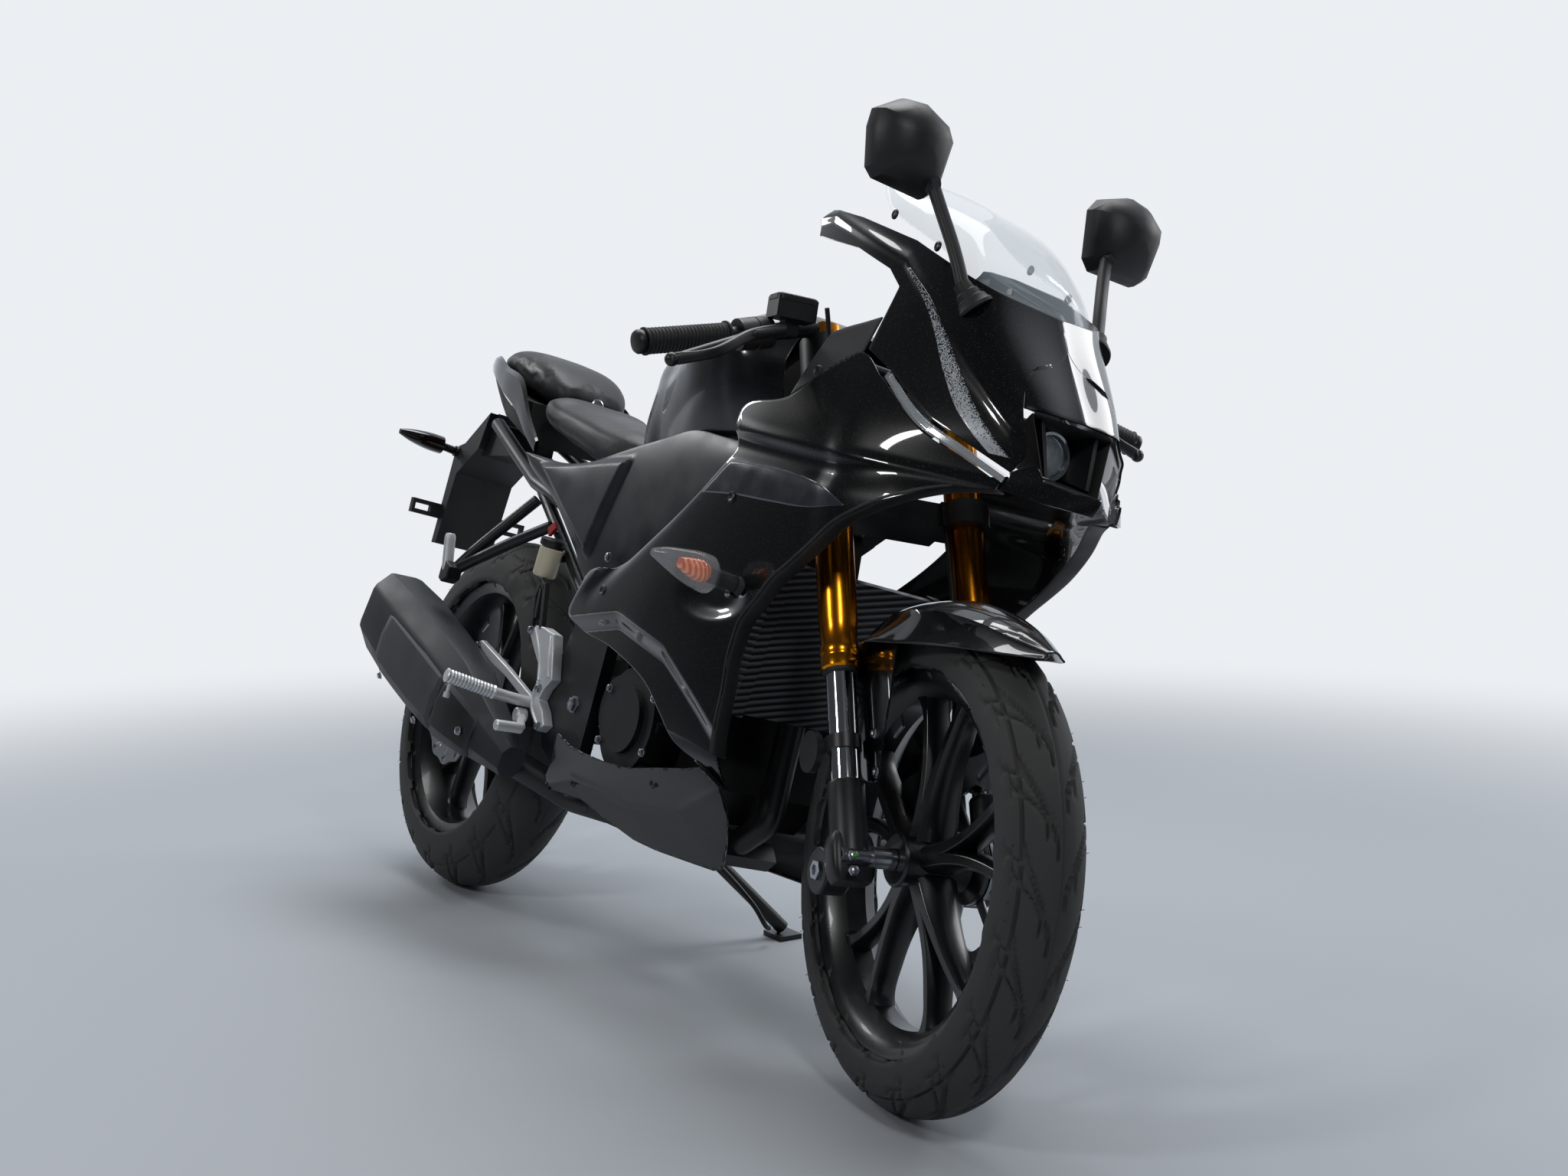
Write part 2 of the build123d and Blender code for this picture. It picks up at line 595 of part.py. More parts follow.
def frame(lining):
    """Main spars, head tube, pivot plates and the rails under the seat."""
    head = Vector(0, 0, 0) + STEER_UP * (LOWER_CLAMP_U + CLAMP_T / 2 + 6) + Vector(STEER_X, 0, 0)
    crown = STEER_UP * (UPPER_CLAMP_U - CLAMP_T / 2 - 6) + Vector(STEER_X, 0, 0)
    root, depth = (head + crown) * 0.5, 0.3 * (crown - head).length
    shape = hollow_rod(tuple(head), tuple(crown), 30, STEM_R + RUNNING_GAP)
    for side in (-1, 1):
        spar = skewed((
            spar_section(side, root.X + 8, 28, root.Z - depth, root.Z + depth, 22),
            spar_section(side, 900, 96, 690, 800, 26),
            spar_section(side, 620, 118, 560, 680, 26),
            spar_section(side, 560, 118, 480, 640, 26),
        ))
        plate = side_prism(
            ((510, 640), (620, 640), (625, 500), (610, 300), (560, 264), (480, 296), (452, 380),
             (478, 430), (506, 510)),
            *sorted((side * PLATE_IN_Y, side * PLATE_OUT_Y)),
        )
        plate += rod((880, side * 88, 785), (880, side * 88, 807.9), 8)
        plate += block((868, 892), sorted((side * 72.1, side * 95)), (676, 700))
        shape += spar + plate + seat_rails(side)
    for x, half, z in ((540, 112, 600), (566, 112, 262), (150, 92, 722), (-120, 63, 824)):
        shape += rod((x, -half, z), (x, half, z), 11)
    shape -= y_disc((PIVOT_X, PIVOT_Z), PIVOT_R + RUNNING_GAP, -200, 200)
    return shape + stand_lug() + fairing_stay(lining)


def fairing_stay(lining):
    """Stay ahead of the head tube that carries the nose, the lamp and the meter."""
    stay = rod(fork_point(24, 0, (LOWER_CLAMP_U + UPPER_CLAMP_U) / 2), (1190, 0, 866), 12)
    stay += rod((1190, 0, 866), (1356, 0, 798), 10) - lamp_duct()
    stay += rod((1186, 0, 866), (1196, 0, 980), 10) - instruments()
    bar = rod((1190, -190, 866), (1190, 190, 866), 10) & lining
    return stay + bar


def seat_rails(side):
    """Upper rail and brace under the seats on one side."""
    rail = rod((560, side * 112, 620), (150, side * 92, 722), 13)
    rail += rod((150, side * 92, 722), (-150, side * 60, 836), 13)
    rail += Sphere(13).moved(Location((150, side * 92, 722)))
    return rail + rod((530, side * 112, 500), (190, side * 94, 706), 11)


def spar_section(side, x, y, z_low, z_high, thick):
    """Upright rectangle across a frame spar."""
    outer = side * (y + thick / 2)
    inner = side * (y - thick / 2)
    return [(x, inner, z_low), (x, outer, z_low), (x, outer, z_high), (x, inner, z_high)]


def engine():
    """Single cylinder engine with its side covers."""
    shape = side_prism(
        ((650, 262), (880, 262), (925, 310), (905, 420), (800, 470), (650, 440), (632, 330)), -95, 95
    )
    shape += side_prism(((740, 440), (880, 420), (935, 590), (925, 690), (830, 690), (780, 600)), -72, 72)
    shape += block((600, 664), (-PLATE_IN_Y + 0.1, PLATE_IN_Y - 0.1), (428, 452))
    shape += y_disc((CRANK_X, CRANK_Z), 76, -150, -90)
    shape += y_disc((CRANK_X, CRANK_Z), 48, -158, -145)
    shape += y_disc((CRANK_X + 50, CRANK_Z), 76, 90, 140)
    for bolt in range(7):
        angle = 2 * pi * bolt / 7
        x, z = CRANK_X + 76 * cos(angle), CRANK_Z + 76 * sin(angle)
        shape += y_disc((x, z), 8, -144, -92) + y_disc((x + 50, z), 8, 92, 134)
    shape += y_disc((CRANK_X - 86, CRANK_Z + 10), 50, -125, -90)
    shape -= side_prism(((560, 300), (706, 300), (706, 424), (560, 424)), SPROCKET_Y - 14, 96)
    shape += y_disc(DRIVE_AT, DRIVE_R - 3.1, 60, SPROCKET_Y + 4)
    return shape


def exhaust_pipe():
    """Header, belly chamber and the pipe to the muffler."""
    header = bent_rod(
        ((927.8, 0, 565), (965, 0, 553), (955, 0, 430), (952, 0, 280), (870, 0, 227)), 30, 19
    )
    chamber = side_prism(
        ((560, 212), (880, 205), (900, 222), (880, 244), (600, 252), (540, 240)), -70, 10
    ) + side_prism(((650, 209), (880, 205), (900, 222), (880, 244), (650, 250)), 5, 62)
    tail = bent_rod(((570, -40, 227), (500, -70, 228), (430, -150, 262)), 40, 22)
    return header + chamber + (tail - muffler())


MUFFLER_LOW = Vector(470, -170, 262)
MUFFLER_TOP = Vector(-90, -205, 452)


MUFFLER_OUTLET_R = 22.0
MUFFLER_SHIELD = ((-20, 50), (-44, 40), (-50, -6), (-24, -40), (-10, -20), (-10, 30))


def muffler():
    """Slanted silencer with a hexagonal can."""
    run = (MUFFLER_TOP - MUFFLER_LOW).normalized()
    length = (MUFFLER_TOP - MUFFLER_LOW).length
    plane = Plane(origin=MUFFLER_LOW, x_dir=(0, 1, 0), z_dir=run)
    sections = []
    for along, wide, tall in ((0, 22, 26), (90, 36, 44), (210, 50, 72), (length - 120, 56, 80),
                              (length - 10, 52, 74), (length, 44, 62)):
        ring = []
        for x, y in ((-0.5, 1.0), (0.5, 1.0), (1.0, 0.45), (0.95, -0.6), (0.45, -1.0), (-0.45, -1.0),
                     (-0.95, -0.6), (-1.0, 0.45)):
            ring.append(tuple(plane.from_local_coords((x * wide, y * tall, along))))
        sections.append(ring)
    can = skewed(sections) + skewed([
        [tuple(plane.from_local_coords((x * grow, y * grow, along))) for x, y in MUFFLER_SHIELD]
        for along, grow in ((96, 0.82), (150, 1.0), (300, 1.14), (330, 1.04))
    ])
    outlet = [tuple(plane.from_local_coords((0, 0, along))) for along in (length - 70, length + 1)]
    return can - rod(outlet[0], outlet[1], MUFFLER_OUTLET_R)


def radiator(lining):
    """Finned core with side tanks, hung from the side cowls."""
    tilt = Location((1024, 0, 522), (0, 14, 0))
    core = Box(22, 250, 210) + Box(34, 20, 216).moved(Location((0, 128, 0)))
    core += Box(34, 20, 216).moved(Location((0, -128, 0)))
    stays = rod((1030, -210, 566), (1030, -130, 566), 6) + rod((1030, 130, 566), (1030, 210, 566), 6)
    return core.moved(tilt) + (stays & lining)


def swing_side(side):
    """One arm of the swingarm."""
    return skewed((
        spar_section(side, PIVOT_X - 10, 78, PIVOT_Z - 24, PIVOT_Z + 12, 20),
        spar_section(side, 400, ARM_HALF, 318, 372, ARM_T),
        spar_section(side, 60, ARM_HALF, 290, 340, ARM_T),
        spar_section(side, -40, ARM_HALF, 296, 332, ARM_T),
    ))


def swingarm():
    """Two box arms with a cross brace and axle blocks."""
    shape = rod((PIVOT_X, -74, PIVOT_Z), (PIVOT_X, 74, PIVOT_Z), 24)
    shape += swing_side(-1) + swing_side(1)
    shape += block((396, 450), (-100, 74), (322, 366))
    shape -= y_disc((PIVOT_X, PIVOT_Z), PIVOT_R + RUNNING_GAP, -200, 200)
    shape -= y_disc((0, REAR_WHEEL_R), AXLE_R + RUNNING_GAP, -200, 200)
    return shape


def shock_absorber():
    """Single rear damper with its coil, between the swingarm and the frame's cross tube."""
    damper = rod((430, 0, 366.1), (540, 0, 600), 14) + rod((444, 0, 410), (518, 0, 560), 30)
    return damper - rod((540, -112, 600), (540, 112, 600), 11) - block((300, 500), (-99, 99), (300, 366))


def rear_axle():
    centre = (0, REAR_WHEEL_R)
    outer = ARM_HALF + ARM_T / 2
    axle = y_disc(centre, AXLE_R, -outer - 14, outer + 14)
    for side in (-1, 1):
        a, b = side * (HUB_HALF + 15), side * (outer - ARM_T - 0.2)
        if side > 0:
            a = SPROCKET_Y + 4.0
        axle += y_disc(centre, SPACER_R - 1, min(a, b), max(a, b))
        axle += y_disc(centre, 15, min(side * (outer + 0.2), side * (outer + 12)),
                       max(side * (outer + 0.2), side * (outer + 12)))
    return axle


def drive_chain():
    """Chain run round both sprockets as one loop, waisted between its pins."""
    rear, r_rear = (0.0, REAR_WHEEL_R), SPROCKET_TIP_R + 4
    outer = chain_loop(DRIVE_AT, DRIVE_R + 7, rear, r_rear + 7, -CHAIN_WAIST)
    return outer - chain_loop(DRIVE_AT, DRIVE_R - 3, rear, r_rear - 3, CHAIN_WAIST)


def chain_loop(front, r_front, rear, r_rear, waist):
    """Belt outline about two wheels, drawn in by the waist at every second half pitch."""
    dx, dz = front[0] - rear[0], front[1] - rear[1]
    span = sqrt(dx * dx + dz * dz)
    tilt = atan2(dz, dx)
    lift = asin((r_rear - r_front) / span)
    top, low = tilt + pi / 2 - lift, tilt - pi / 2 + lift
    run = sqrt(span * span - (r_rear - r_front) ** 2)
    stretches = (
        # centre, radius, first angle, sweep, straight run after it
        (rear, r_rear, low + 2 * pi, top - low - 2 * pi, run),
        (front, r_front, top, low - top, run),
    )
    points = []
    for centre, radius, first, sweep, straight in stretches:
        steps = 2 * round(abs(sweep) * radius / CHAIN_PITCH)
        for step in range(steps):
            angle, reach = first + sweep * step / steps, radius + waist * (step % 2)
            points.append((centre[0] + reach * cos(angle), centre[1] + reach * sin(angle)))
        angle = first + sweep
        way = (sin(angle), -cos(angle))
        steps = 2 * round(straight / CHAIN_PITCH)
        for step in range(steps):
            along, reach = straight * step / steps, radius + waist * (step % 2)
            points.append((centre[0] + reach * cos(angle) + along * way[0],
                           centre[1] + reach * sin(angle) + along * way[1]))
    return side_prism(points, SPROCKET_Y - CHAIN_W / 2, SPROCKET_Y + CHAIN_W / 2)


def chain_guard():
    cover = side_prism(((60, 442), (330, 436), (420, 424), (420, 418), (330, 430), (60, 434)),
                       SPROCKET_Y - 8, SPROCKET_Y + 19)
    return cover + (block((380, 396), (98, 103), (360, 426)) - swing_side(1))


# Seat, tank and tail


def fuel_tank():
    """Tank under its cover, with the filler neck."""
    shape = skewed((
        tank_section(512, 56, 64, 800, 884, 40),
        tank_section(640, 94, 108, 790, 930, 56),
        tank_section(760, 110, 145, 800, 965, 70),
        tank_section(890, 78, 98, 810, 948, 50),
    ))
    lugs = rod((700, -200, 900), (700, 200, 900), 10) & tank_lining()
    hinge_x, _, hinge_z = CAP_HINGE
    neck = rod((CAP_X, 0, 940), (CAP_X, 0, CAP_Z), CAP_NECK_R)
    for side in (-1, 1):
        y = sorted((side * 7.5, side * 11.5))
        neck += block((hinge_x - 4, hinge_x + 3.5), y, (CAP_Z - 4, hinge_z))
        neck += y_disc((hinge_x, hinge_z), 4, *y)
    return shape + lugs + neck + y_disc((hinge_x, hinge_z), CAP_PIN_R, -11.5, 11.5)


def tank_section(x, low, wide, z_low, z_top, top):
    """Six sided section across the tank."""
    shoulder = z_low + (z_top - z_low) * 0.6
    return [(x, -low, z_low), (x, -wide, shoulder), (x, -top, z_top), (x, top, z_top),
            (x, wide, shoulder), (x, low, z_low)]


def tank_cover():
    """Moulded cover over the tank."""
    outer = skewed([tank_section(*row) for row in TANK_ROWS])
    cover = outer - tank_lining()
    return cover - rod((CAP_X, 0, 900), (CAP_X, 0, 1100), CAP_NECK_R + 4)


def tank_lining():
    """Hollow form inside the tank's cover, open below and at the front."""
    rows = []
    for x, low, wide, z_low, z_top, top in TANK_ROWS:
        rows.append(tank_section(x, low - 4.5, wide - 5, z_low - 2, z_top - 5, top - 3))
    first, last = TANK_ROWS[0], TANK_ROWS[-1]
    rows[0] = [(first[0] + 6, y, z) for _, y, z in rows[0]]
    rows[-1] = [(last[0] + 2, y, z) for _, y, z in rows[-1]]
    return skewed(rows)


def fuel_cap():
    hinge_x, _, hinge_z = CAP_HINGE
    low = CAP_Z + RUNNING_GAP
    cap = rod((CAP_X, 0, low), (CAP_X, 0, CAP_Z + CAP_T), CAP_R)
    cap += block((CAP_X + CAP_R - 6, hinge_x), (-7, 7), (low, hinge_z + 3))
    cap += y_disc((hinge_x, hinge_z), CAP_KNUCKLE_R, -7, 7)
    return cap - y_disc((hinge_x, hinge_z), CAP_PIN_R + RUNNING_GAP, -8, 8)


def rider_seat():
    cushion = skewed([seat_section(*row) for row in RIDER_SEAT_ROWS])
    return cushion + rail_feet(((200, 88, 690, 804), (270, 88, 680, 784)))


def rail_feet(places):
    """Rubber feet that stand a seat or the tail on the rails."""
    feet = None
    for side in (-1, 1):
        for x, y, z_low, z_top in places:
            foot = rod((x, side * y, z_low), (x, side * y, z_top), 8)
            feet = foot if feet is None else feet + foot
    return feet - seat_rails(-1) - seat_rails(1)


def seat_section(x, half, z_low, z_top):
    """Cushion section with rounded shoulders."""
    return [(x, -half * 0.9, z_low), (x, -half, (z_low + z_top) / 2), (x, -half * 0.7, z_top),
            (x, half * 0.7, z_top), (x, half, (z_low + z_top) / 2), (x, half * 0.9, z_low)]


def pillion_seat():
    return skewed([seat_section(*row) for row in PILLION_ROWS])


def tail_cowl():
    """Tail body with its side wings."""
    body = skewed((
        tail_section(70, 96, 792, 868),
        tail_section(40, 100, 802, 872),
        tail_section(-100, 88, 850, 906),
        tail_section(-215, 60, 905, 938),
    ))
    for side in (-1, 1):
        body += skewed((
            spar_section(side, 172, 117, 768, 792, 9),
            spar_section(side, 40, 108, 840, 900, 10),
            spar_section(side, -180, 76, 930, 968, 12),
            spar_section(side, -248, 50, 944, 958, 12),
        ))
    body += block((-246, -216), (-56, 56), (940, 956))
    return body + rail_feet(((20, 74, 750, 812),))


def tail_section(x, half, z_low, z_top):
    return [(x, -half * 0.8, z_low), (x, -half, z_top), (x, half, z_top), (x, half * 0.8, z_low)]


def tail_lamp():
    return skewed((
        tail_section(-215.1, 52, 906, 930),
        tail_section(-240, 46, 912, 938),
    ))


def plate_holder():
    """Mudguard arm, plate bracket with its slots."""
    arm = side_prism(((60, 745), (-100, 794), (-150, 814), (-200, 862), (-290, 800), (-330, 792), (-345, 600),
                      (-325, 600), (-300, 740), (-240, 780), (-100, 780), (60, 725)), -44, 44)
    arm += side_prism(((-200, 860), (-290, 800), (-330, 792), (-345, 600), (-325, 600), (-300, 740),
                       (-220, 790)), -60, 60)
    arm += block((-130, -110), (-44, 44), (790, 822)) - rod((-120, -63, 824), (-120, 63, 824), 11)
    bar = block((PLATE_X, PLATE_X + 14), (-120, 120), (PLATE_Z - 14, PLATE_Z + 14))
    for side in (-1, 1):
        bar -= block((-360, -320), (side * 98 - 16, side * 98 + 16), (PLATE_Z - 6, PLATE_Z + 6))
    return arm + bar


def flashers(envelope):
    """Four turn signals on their stalks, the front ones trimmed to the fairing."""
    shapes = []
    for side in (-1, 1):
        front = rod((1056, side * 180, 576), (1052, side * 222, 580), 10)
        front += skewed((
            lamp_ring((1048, side * 218, 580), 28, 26),
            lamp_ring((1040, side * 250, 586), 30, 24),
            lamp_ring((1010, side * 296, 594), 8, 8),
        ))
        shapes.append(front - envelope)
        rear = rod((-318, side * 61, 782), (-316, side * 104, 786), 9)
        rear += skewed((
            lamp_ring((-316, side * 100, 786), 22, 18),
            lamp_ring((-314, side * 140, 788), 20, 16),
            lamp_ring((-306, side * 188, 790), 6, 6),
        ))
        shapes.append(rear)
    return shapes


def lamp_ring(centre, wide, tall):
    """Six sided outline across Y for a lamp body."""
    x, y, z = centre
    return [(x + wide * a, y, z + tall * b) for a, b in
            ((1, 0), (0.5, 0.85), (-0.5, 0.85), (-1, 0), (-0.5, -0.85), (0.5, -0.85))]


# Fairing


def fairing_half(inset):
    """Right half of the fairing's envelope, drawn in by a distance for the inner skin."""
    sections = []
    for z, halves, corner_x, corner_half, front_x in FAIRING_LEVELS:
        rear = STATIONS[0] - 4.0 * inset
        ring = [(rear, 0, z)]
        ring.append((rear, -halves[0] + inset, z))
        for x, half in zip(STATIONS[1:], halves[1:]):
            ring.append((x, -half + inset, z))
        ring.append((corner_x - inset, -corner_half + inset, z))
        ring.append((front_x - 1.4 * inset, 0, z))
        sections.append(ring)
    return skewed(sections)


def panel(skin, outline):
    """The piece of the skin inside a side outline."""
    return skin & side_prism(outline, -260, 0)


def side_cowls(skin):
    return both_sides(panel(skin, SIDE_COWL_OUTLINE))


def lower_cowls(skin):
    return both_sides(panel(skin, LOWER_COWL_OUTLINE))


def front_cowl(skin):
    """Nose with the openings for the lamp and the screen."""
    nose = across(panel(skin, NOSE_OUTLINE))
    opening = front_prism(((-72, 838), (72, 838), (46, 748), (-46, 748)), 1330, 1600)
    return nose - opening - screen_envelope(0.5)


def inner_panels(skin):
    return both_sides(panel(skin, INNER_PANEL_OUTLINE))


def frame_covers():
    cover = side_prism(FRAME_COVER_OUTLINE, -150, -134)
    cover += y_disc((590, 600), 9, -135, -PLATE_OUT_Y - 0.1)
    return both_sides(cover)


def screen_envelope(grow):
    """The screen's outer form, grown by a clearance."""
    return skewed([screen_ring(row, -grow) for row in range(len(SCREEN_ROWS))])


def windscreen():
    """Clear bubble screen, bowed across and leaning back."""
    lining = skewed([screen_ring(row, SCREEN_T) for row in range(len(SCREEN_ROWS))])
    return screen_envelope(0) - lining


SCREEN_T = 3.0
SCREEN_ROWS = (
    # height, front x, side x, half width
    (955.0, 1336.0, 1310.0, 84.0),
    (1035.0, 1280.0, 1216.0, 108.0),
    (1100.0, 1210.0, 1090.0, 116.0),
    (1160.0, 1075.0, 1020.0, 92.0),
)


def screen_ring(row, inset):
    """Level ring of the screen, open towards the rider once its lining is cut out."""
    z, front, side, half = SCREEN_ROWS[row]
    front, half = front - inset * 1.5, half - inset
    back = side - (30.0 if inset > 0 else 0.0)
    return [(back, -half, z), (side, -half, z), ((front + side) / 2 + 14, -half * 0.72, z),
            (front, -half * 0.25, z), (front, half * 0.25, z),
            ((front + side) / 2 + 14, half * 0.72, z), (side, half, z), (back, half, z)]


def lamp_duct():
    """Outer form of the lamp duct."""
    return skewed((
        [(1400, -66, 838), (1400, 66, 838), (1420, 42, 756), (1420, -42, 756)],
        [(1340, -40, 826), (1340, 40, 826), (1350, 30, 776), (1350, -30, 776)],
    ))


def headlamp():
    """Lamp duct with its projector lens."""
    hollow = skewed((
        [(1401, -62, 834), (1401, 62, 834), (1421, 38, 760), (1421, -38, 760)],
        [(1352, -38, 824), (1352, 38, 824), (1360, 28, 780), (1360, -28, 780)],
    ))
    lens = rod((1353, 0, 802), (1378, 0, 800), 24)
    return lamp_duct() - hollow + lens


def running_lamps(skin):
    """Slim lamp strips in the seam between the nose and the side cowls."""
    return both_sides(panel(skin, RUNNING_LAMP_OUTLINE))


def mirrors(envelope):
    """Mirror heads on their stalks, with boots trimmed to the fairing."""
    shapes = []
    for side in (-1, 1):
        boot = rod((1296, side * 90, 955), (1276, side * 112, 985), 20)
        stalk = rod((1284, side * 112, 978), (1222, side * 148, 1104), 8)
        head = skewed((
            mirror_ring(1190, side, 0, 1.0),
            mirror_ring(1212, side, 6, 0.92),
            mirror_ring(1245, side, 10, 0.4),
        ))
        shapes.append((boot - envelope - screen_envelope(0.5)) + stalk + head)
    return shapes


def mirror_ring(x, side, shift, share):
    """Five sided outline of a mirror head."""
    y0, z0 = side * (182 + shift * 0), 1142
    points = ((-58, 30), (0, 62), (60, 34), (50, -44), (-44, -50))
    return [(x, y0 + side * a * share, z0 + b * share) for a, b in points]


def instruments():
    """Meter housing behind the screen."""
    tilt = Location((1192, 0, 985), (0, -38, 0))
    return Box(30, 128, 80).moved(tilt)


# Rider's foot gear


def peg_hangers():
    """Cast hangers bolted to the pivot plates."""
    shapes = []
    for side in (-1, 1):
        y = sorted((side * (PLATE_OUT_Y + 0.1), side * 150))
        hanger = side_prism(((500, 400), (470, 470), (400, 478), (388, 462), (440, 420), (452, 395),
                             (440, 372), (448, 350), (490, 318), (508, 330), (470, 366)), *y)
        hanger += side_prism(((424, 470), (400, 548), (378, 556), (366, 520), (380, 466)), *y)
        hanger -= side_prism(((400, 486), (394, 530), (384, 534), (380, 518), (388, 486)), *y)
        bar = sorted((side * 140, side * 150))
        hanger += side_prism(((440, 352), (448, 366), (210, 436), (190, 430), (196, 418)), *bar)
        hanger += rod((440, side * 140, 337), (440, side * 150, 337), 17)
        hanger += rod((440, side * 140, 358), (440, side * 215, 362), 9)
        hanger += rod((440, side * 205, 362), (436, side * 300, 374), 11)
        shapes.append(hanger)
    return shapes


def pillion_brackets():
    """Tubular brackets with the passenger pegs folded up."""
    shapes = []
    for side in (-1, 1):
        bracket = rod((206, side * 106, 690), (107, side * 186, 540), 10)
        bracket += rod((300, side * 112, 640), (107, side * 186, 540), 10)
        bracket += block((92, 126), sorted((side * 176, side * 204)), (522, 552))
        bracket += rod((104, side * 196, 545), (96, side * 202, 600), 8)
        shapes.append(bracket - seat_rails(side))
    return shapes


def foot_controls():
    """Brake pedal on the right and gear pedal on the left."""
    brake = rod((440, -160, 335), (530, -196, 322), 6) + rod((530, -190, 320), (532, -240, 318), 8)
    gear = rod((440, 160, 335), (560, 176, 350), 6) + rod((560, 170, 350), (560, 225, 352), 8)
    brake += rod((440, -150.1, 335), (440, -168, 335), 12)
    gear += rod((440, 150.1, 335), (440, 168, 335), 12)
    return [brake, gear]


def rear_caliper():
    """Caliper over the rear disc, on its bracket from the swingarm."""
    body = block((52, 118), (REAR_DISC_Y - 18, REAR_DISC_Y + 24), (356, 412))
    body += block((70, 110), (-112, REAR_DISC_Y - 10), (330, 360)) - swing_side(-1)
    return body - y_disc((0, REAR_WHEEL_R), REAR_DISC_R + 4, REAR_DISC_Y - 6, REAR_DISC_Y + 6)


def brake_reservoir():
    """Fluid cup on its stay."""
    cup = rod((358, -136, 556), (366, -136, 608), 19) + rod((366, -136, 608), (368, -136, 622), 21)
    return (cup + rod((366, -104, 594), (366, -136, 588), 6)) - seat_rails(-1)


def side_stand():
    """Sprung stand, down on its stop, with its pad flat on the ground."""
    foot = Vector(STAND_FOOT_X, STAND_FOOT_Y, ground_height(STAND_FOOT_X, STAND_FOOT_Y))
    pivot = Vector(*STAND_PIVOT)
    sole = ground_frame(foot)
    ankle = (sole * Location((0, 0, STAND_PAD_T + STAND_LEG_R * 0.6))).position
    leg = rod(tuple(pivot), tuple(ankle), STAND_LEG_R)
    leg += rod(tuple(pivot - STAND_AXIS * 12), tuple(pivot + STAND_AXIS * 12), 18)
    pad = Box(52, 40, STAND_PAD_T).moved(sole * Location((0, 0, STAND_PAD_T / 2)))
    leg -= rod(tuple(pivot - STAND_AXIS * 40), tuple(pivot + STAND_AXIS * 40), STAND_BOLT_R + 0.3)
    return leg + pad


def stand_lug():
    """Ears under the frame that carry the stand's bolt."""
    pivot = Vector(*STAND_PIVOT)
    inward = Vector(0, -STAND_AXIS.Z, STAND_AXIS.Y)
    lug = rod(tuple(pivot - STAND_AXIS * 20), tuple(pivot + STAND_AXIS * 20), STAND_BOLT_R)
    for side in (-1, 1):
        near = pivot + STAND_AXIS * (side * 13)
        far = pivot + STAND_AXIS * (side * 19)
        lug += rod(tuple(near), tuple(far), 20)
        rings = []
        for reach, half in ((0, 18), (66, 12)):
            rings.append([tuple(near + inward * reach + Vector(-half, 0, 0)),
                          tuple(near + inward * reach + Vector(half, 0, 0)),
                          tuple(far + inward * reach + Vector(half, 0, 0)),
                          tuple(far + inward * reach + Vector(-half, 0, 0))])
        lug += skewed(rings)
    return lug + front_prism(((20, 232), (40, 221), (62, 262), (44, 272)), 562, 592)


# Placing


def crown_radius(width):
    """Radius of a tyre's crown across the tread."""
    half = width / 2
    drop = CROWN_DROP * half
    return (half * half + drop * drop) / (2 * drop)


def wheel_low(pose, centre, crown_r, width):
    """Lowest height of a tyre once its wheel is placed by a pose."""
    middle = (pose * Location(centre)).position
    beside = (pose * Location((centre[0], centre[1] + 1, centre[2]))).position
    tube = crown_radius(width)
    return middle.Z - (crown_r - tube) * sqrt(1 - (beside.Z - middle.Z) ** 2) - tube


def bike_pose():
    """Location that leans the bike and sets both tyres on the ground."""
    pitch = 0.0
    for _ in range(4):
        pose = Location((0, 0, 0), (0, pitch, 0)) * Location((0, 0, 0), (-LEAN, 0, 0))
        rear = wheel_low(pose, (0, 0, REAR_WHEEL_R), REAR_WHEEL_R, REAR_TYRE_W)
        front = wheel_low(
            pose * STEER_TURN, (WHEELBASE, 0, FRONT_WHEEL_R), FRONT_WHEEL_R, FRONT_TYRE_W
        )
        pitch += degrees(asin((front - rear) / WHEELBASE))
    return Location((0, 0, -rear)) * pose


STEER_TURN = FORK.location * Location((0, 0, 0), (0, 0, STEER_REST)) * FORK.location.inverse()
POSE = bike_pose()


def ground_height(x, y):
    """Height of the ground in the bike's own frame under a point."""
    base = (POSE * Location((x, y, 0))).position.Z
    rise = (POSE * Location((x, y, 1))).position.Z - base
    return -base / rise


def ground_frame(foot):
    """Frame at a point on the ground, square to it, in the bike's own frame."""
    flat = Location((POSE * Location(tuple(foot))).position)
    return POSE.inverse() * flat


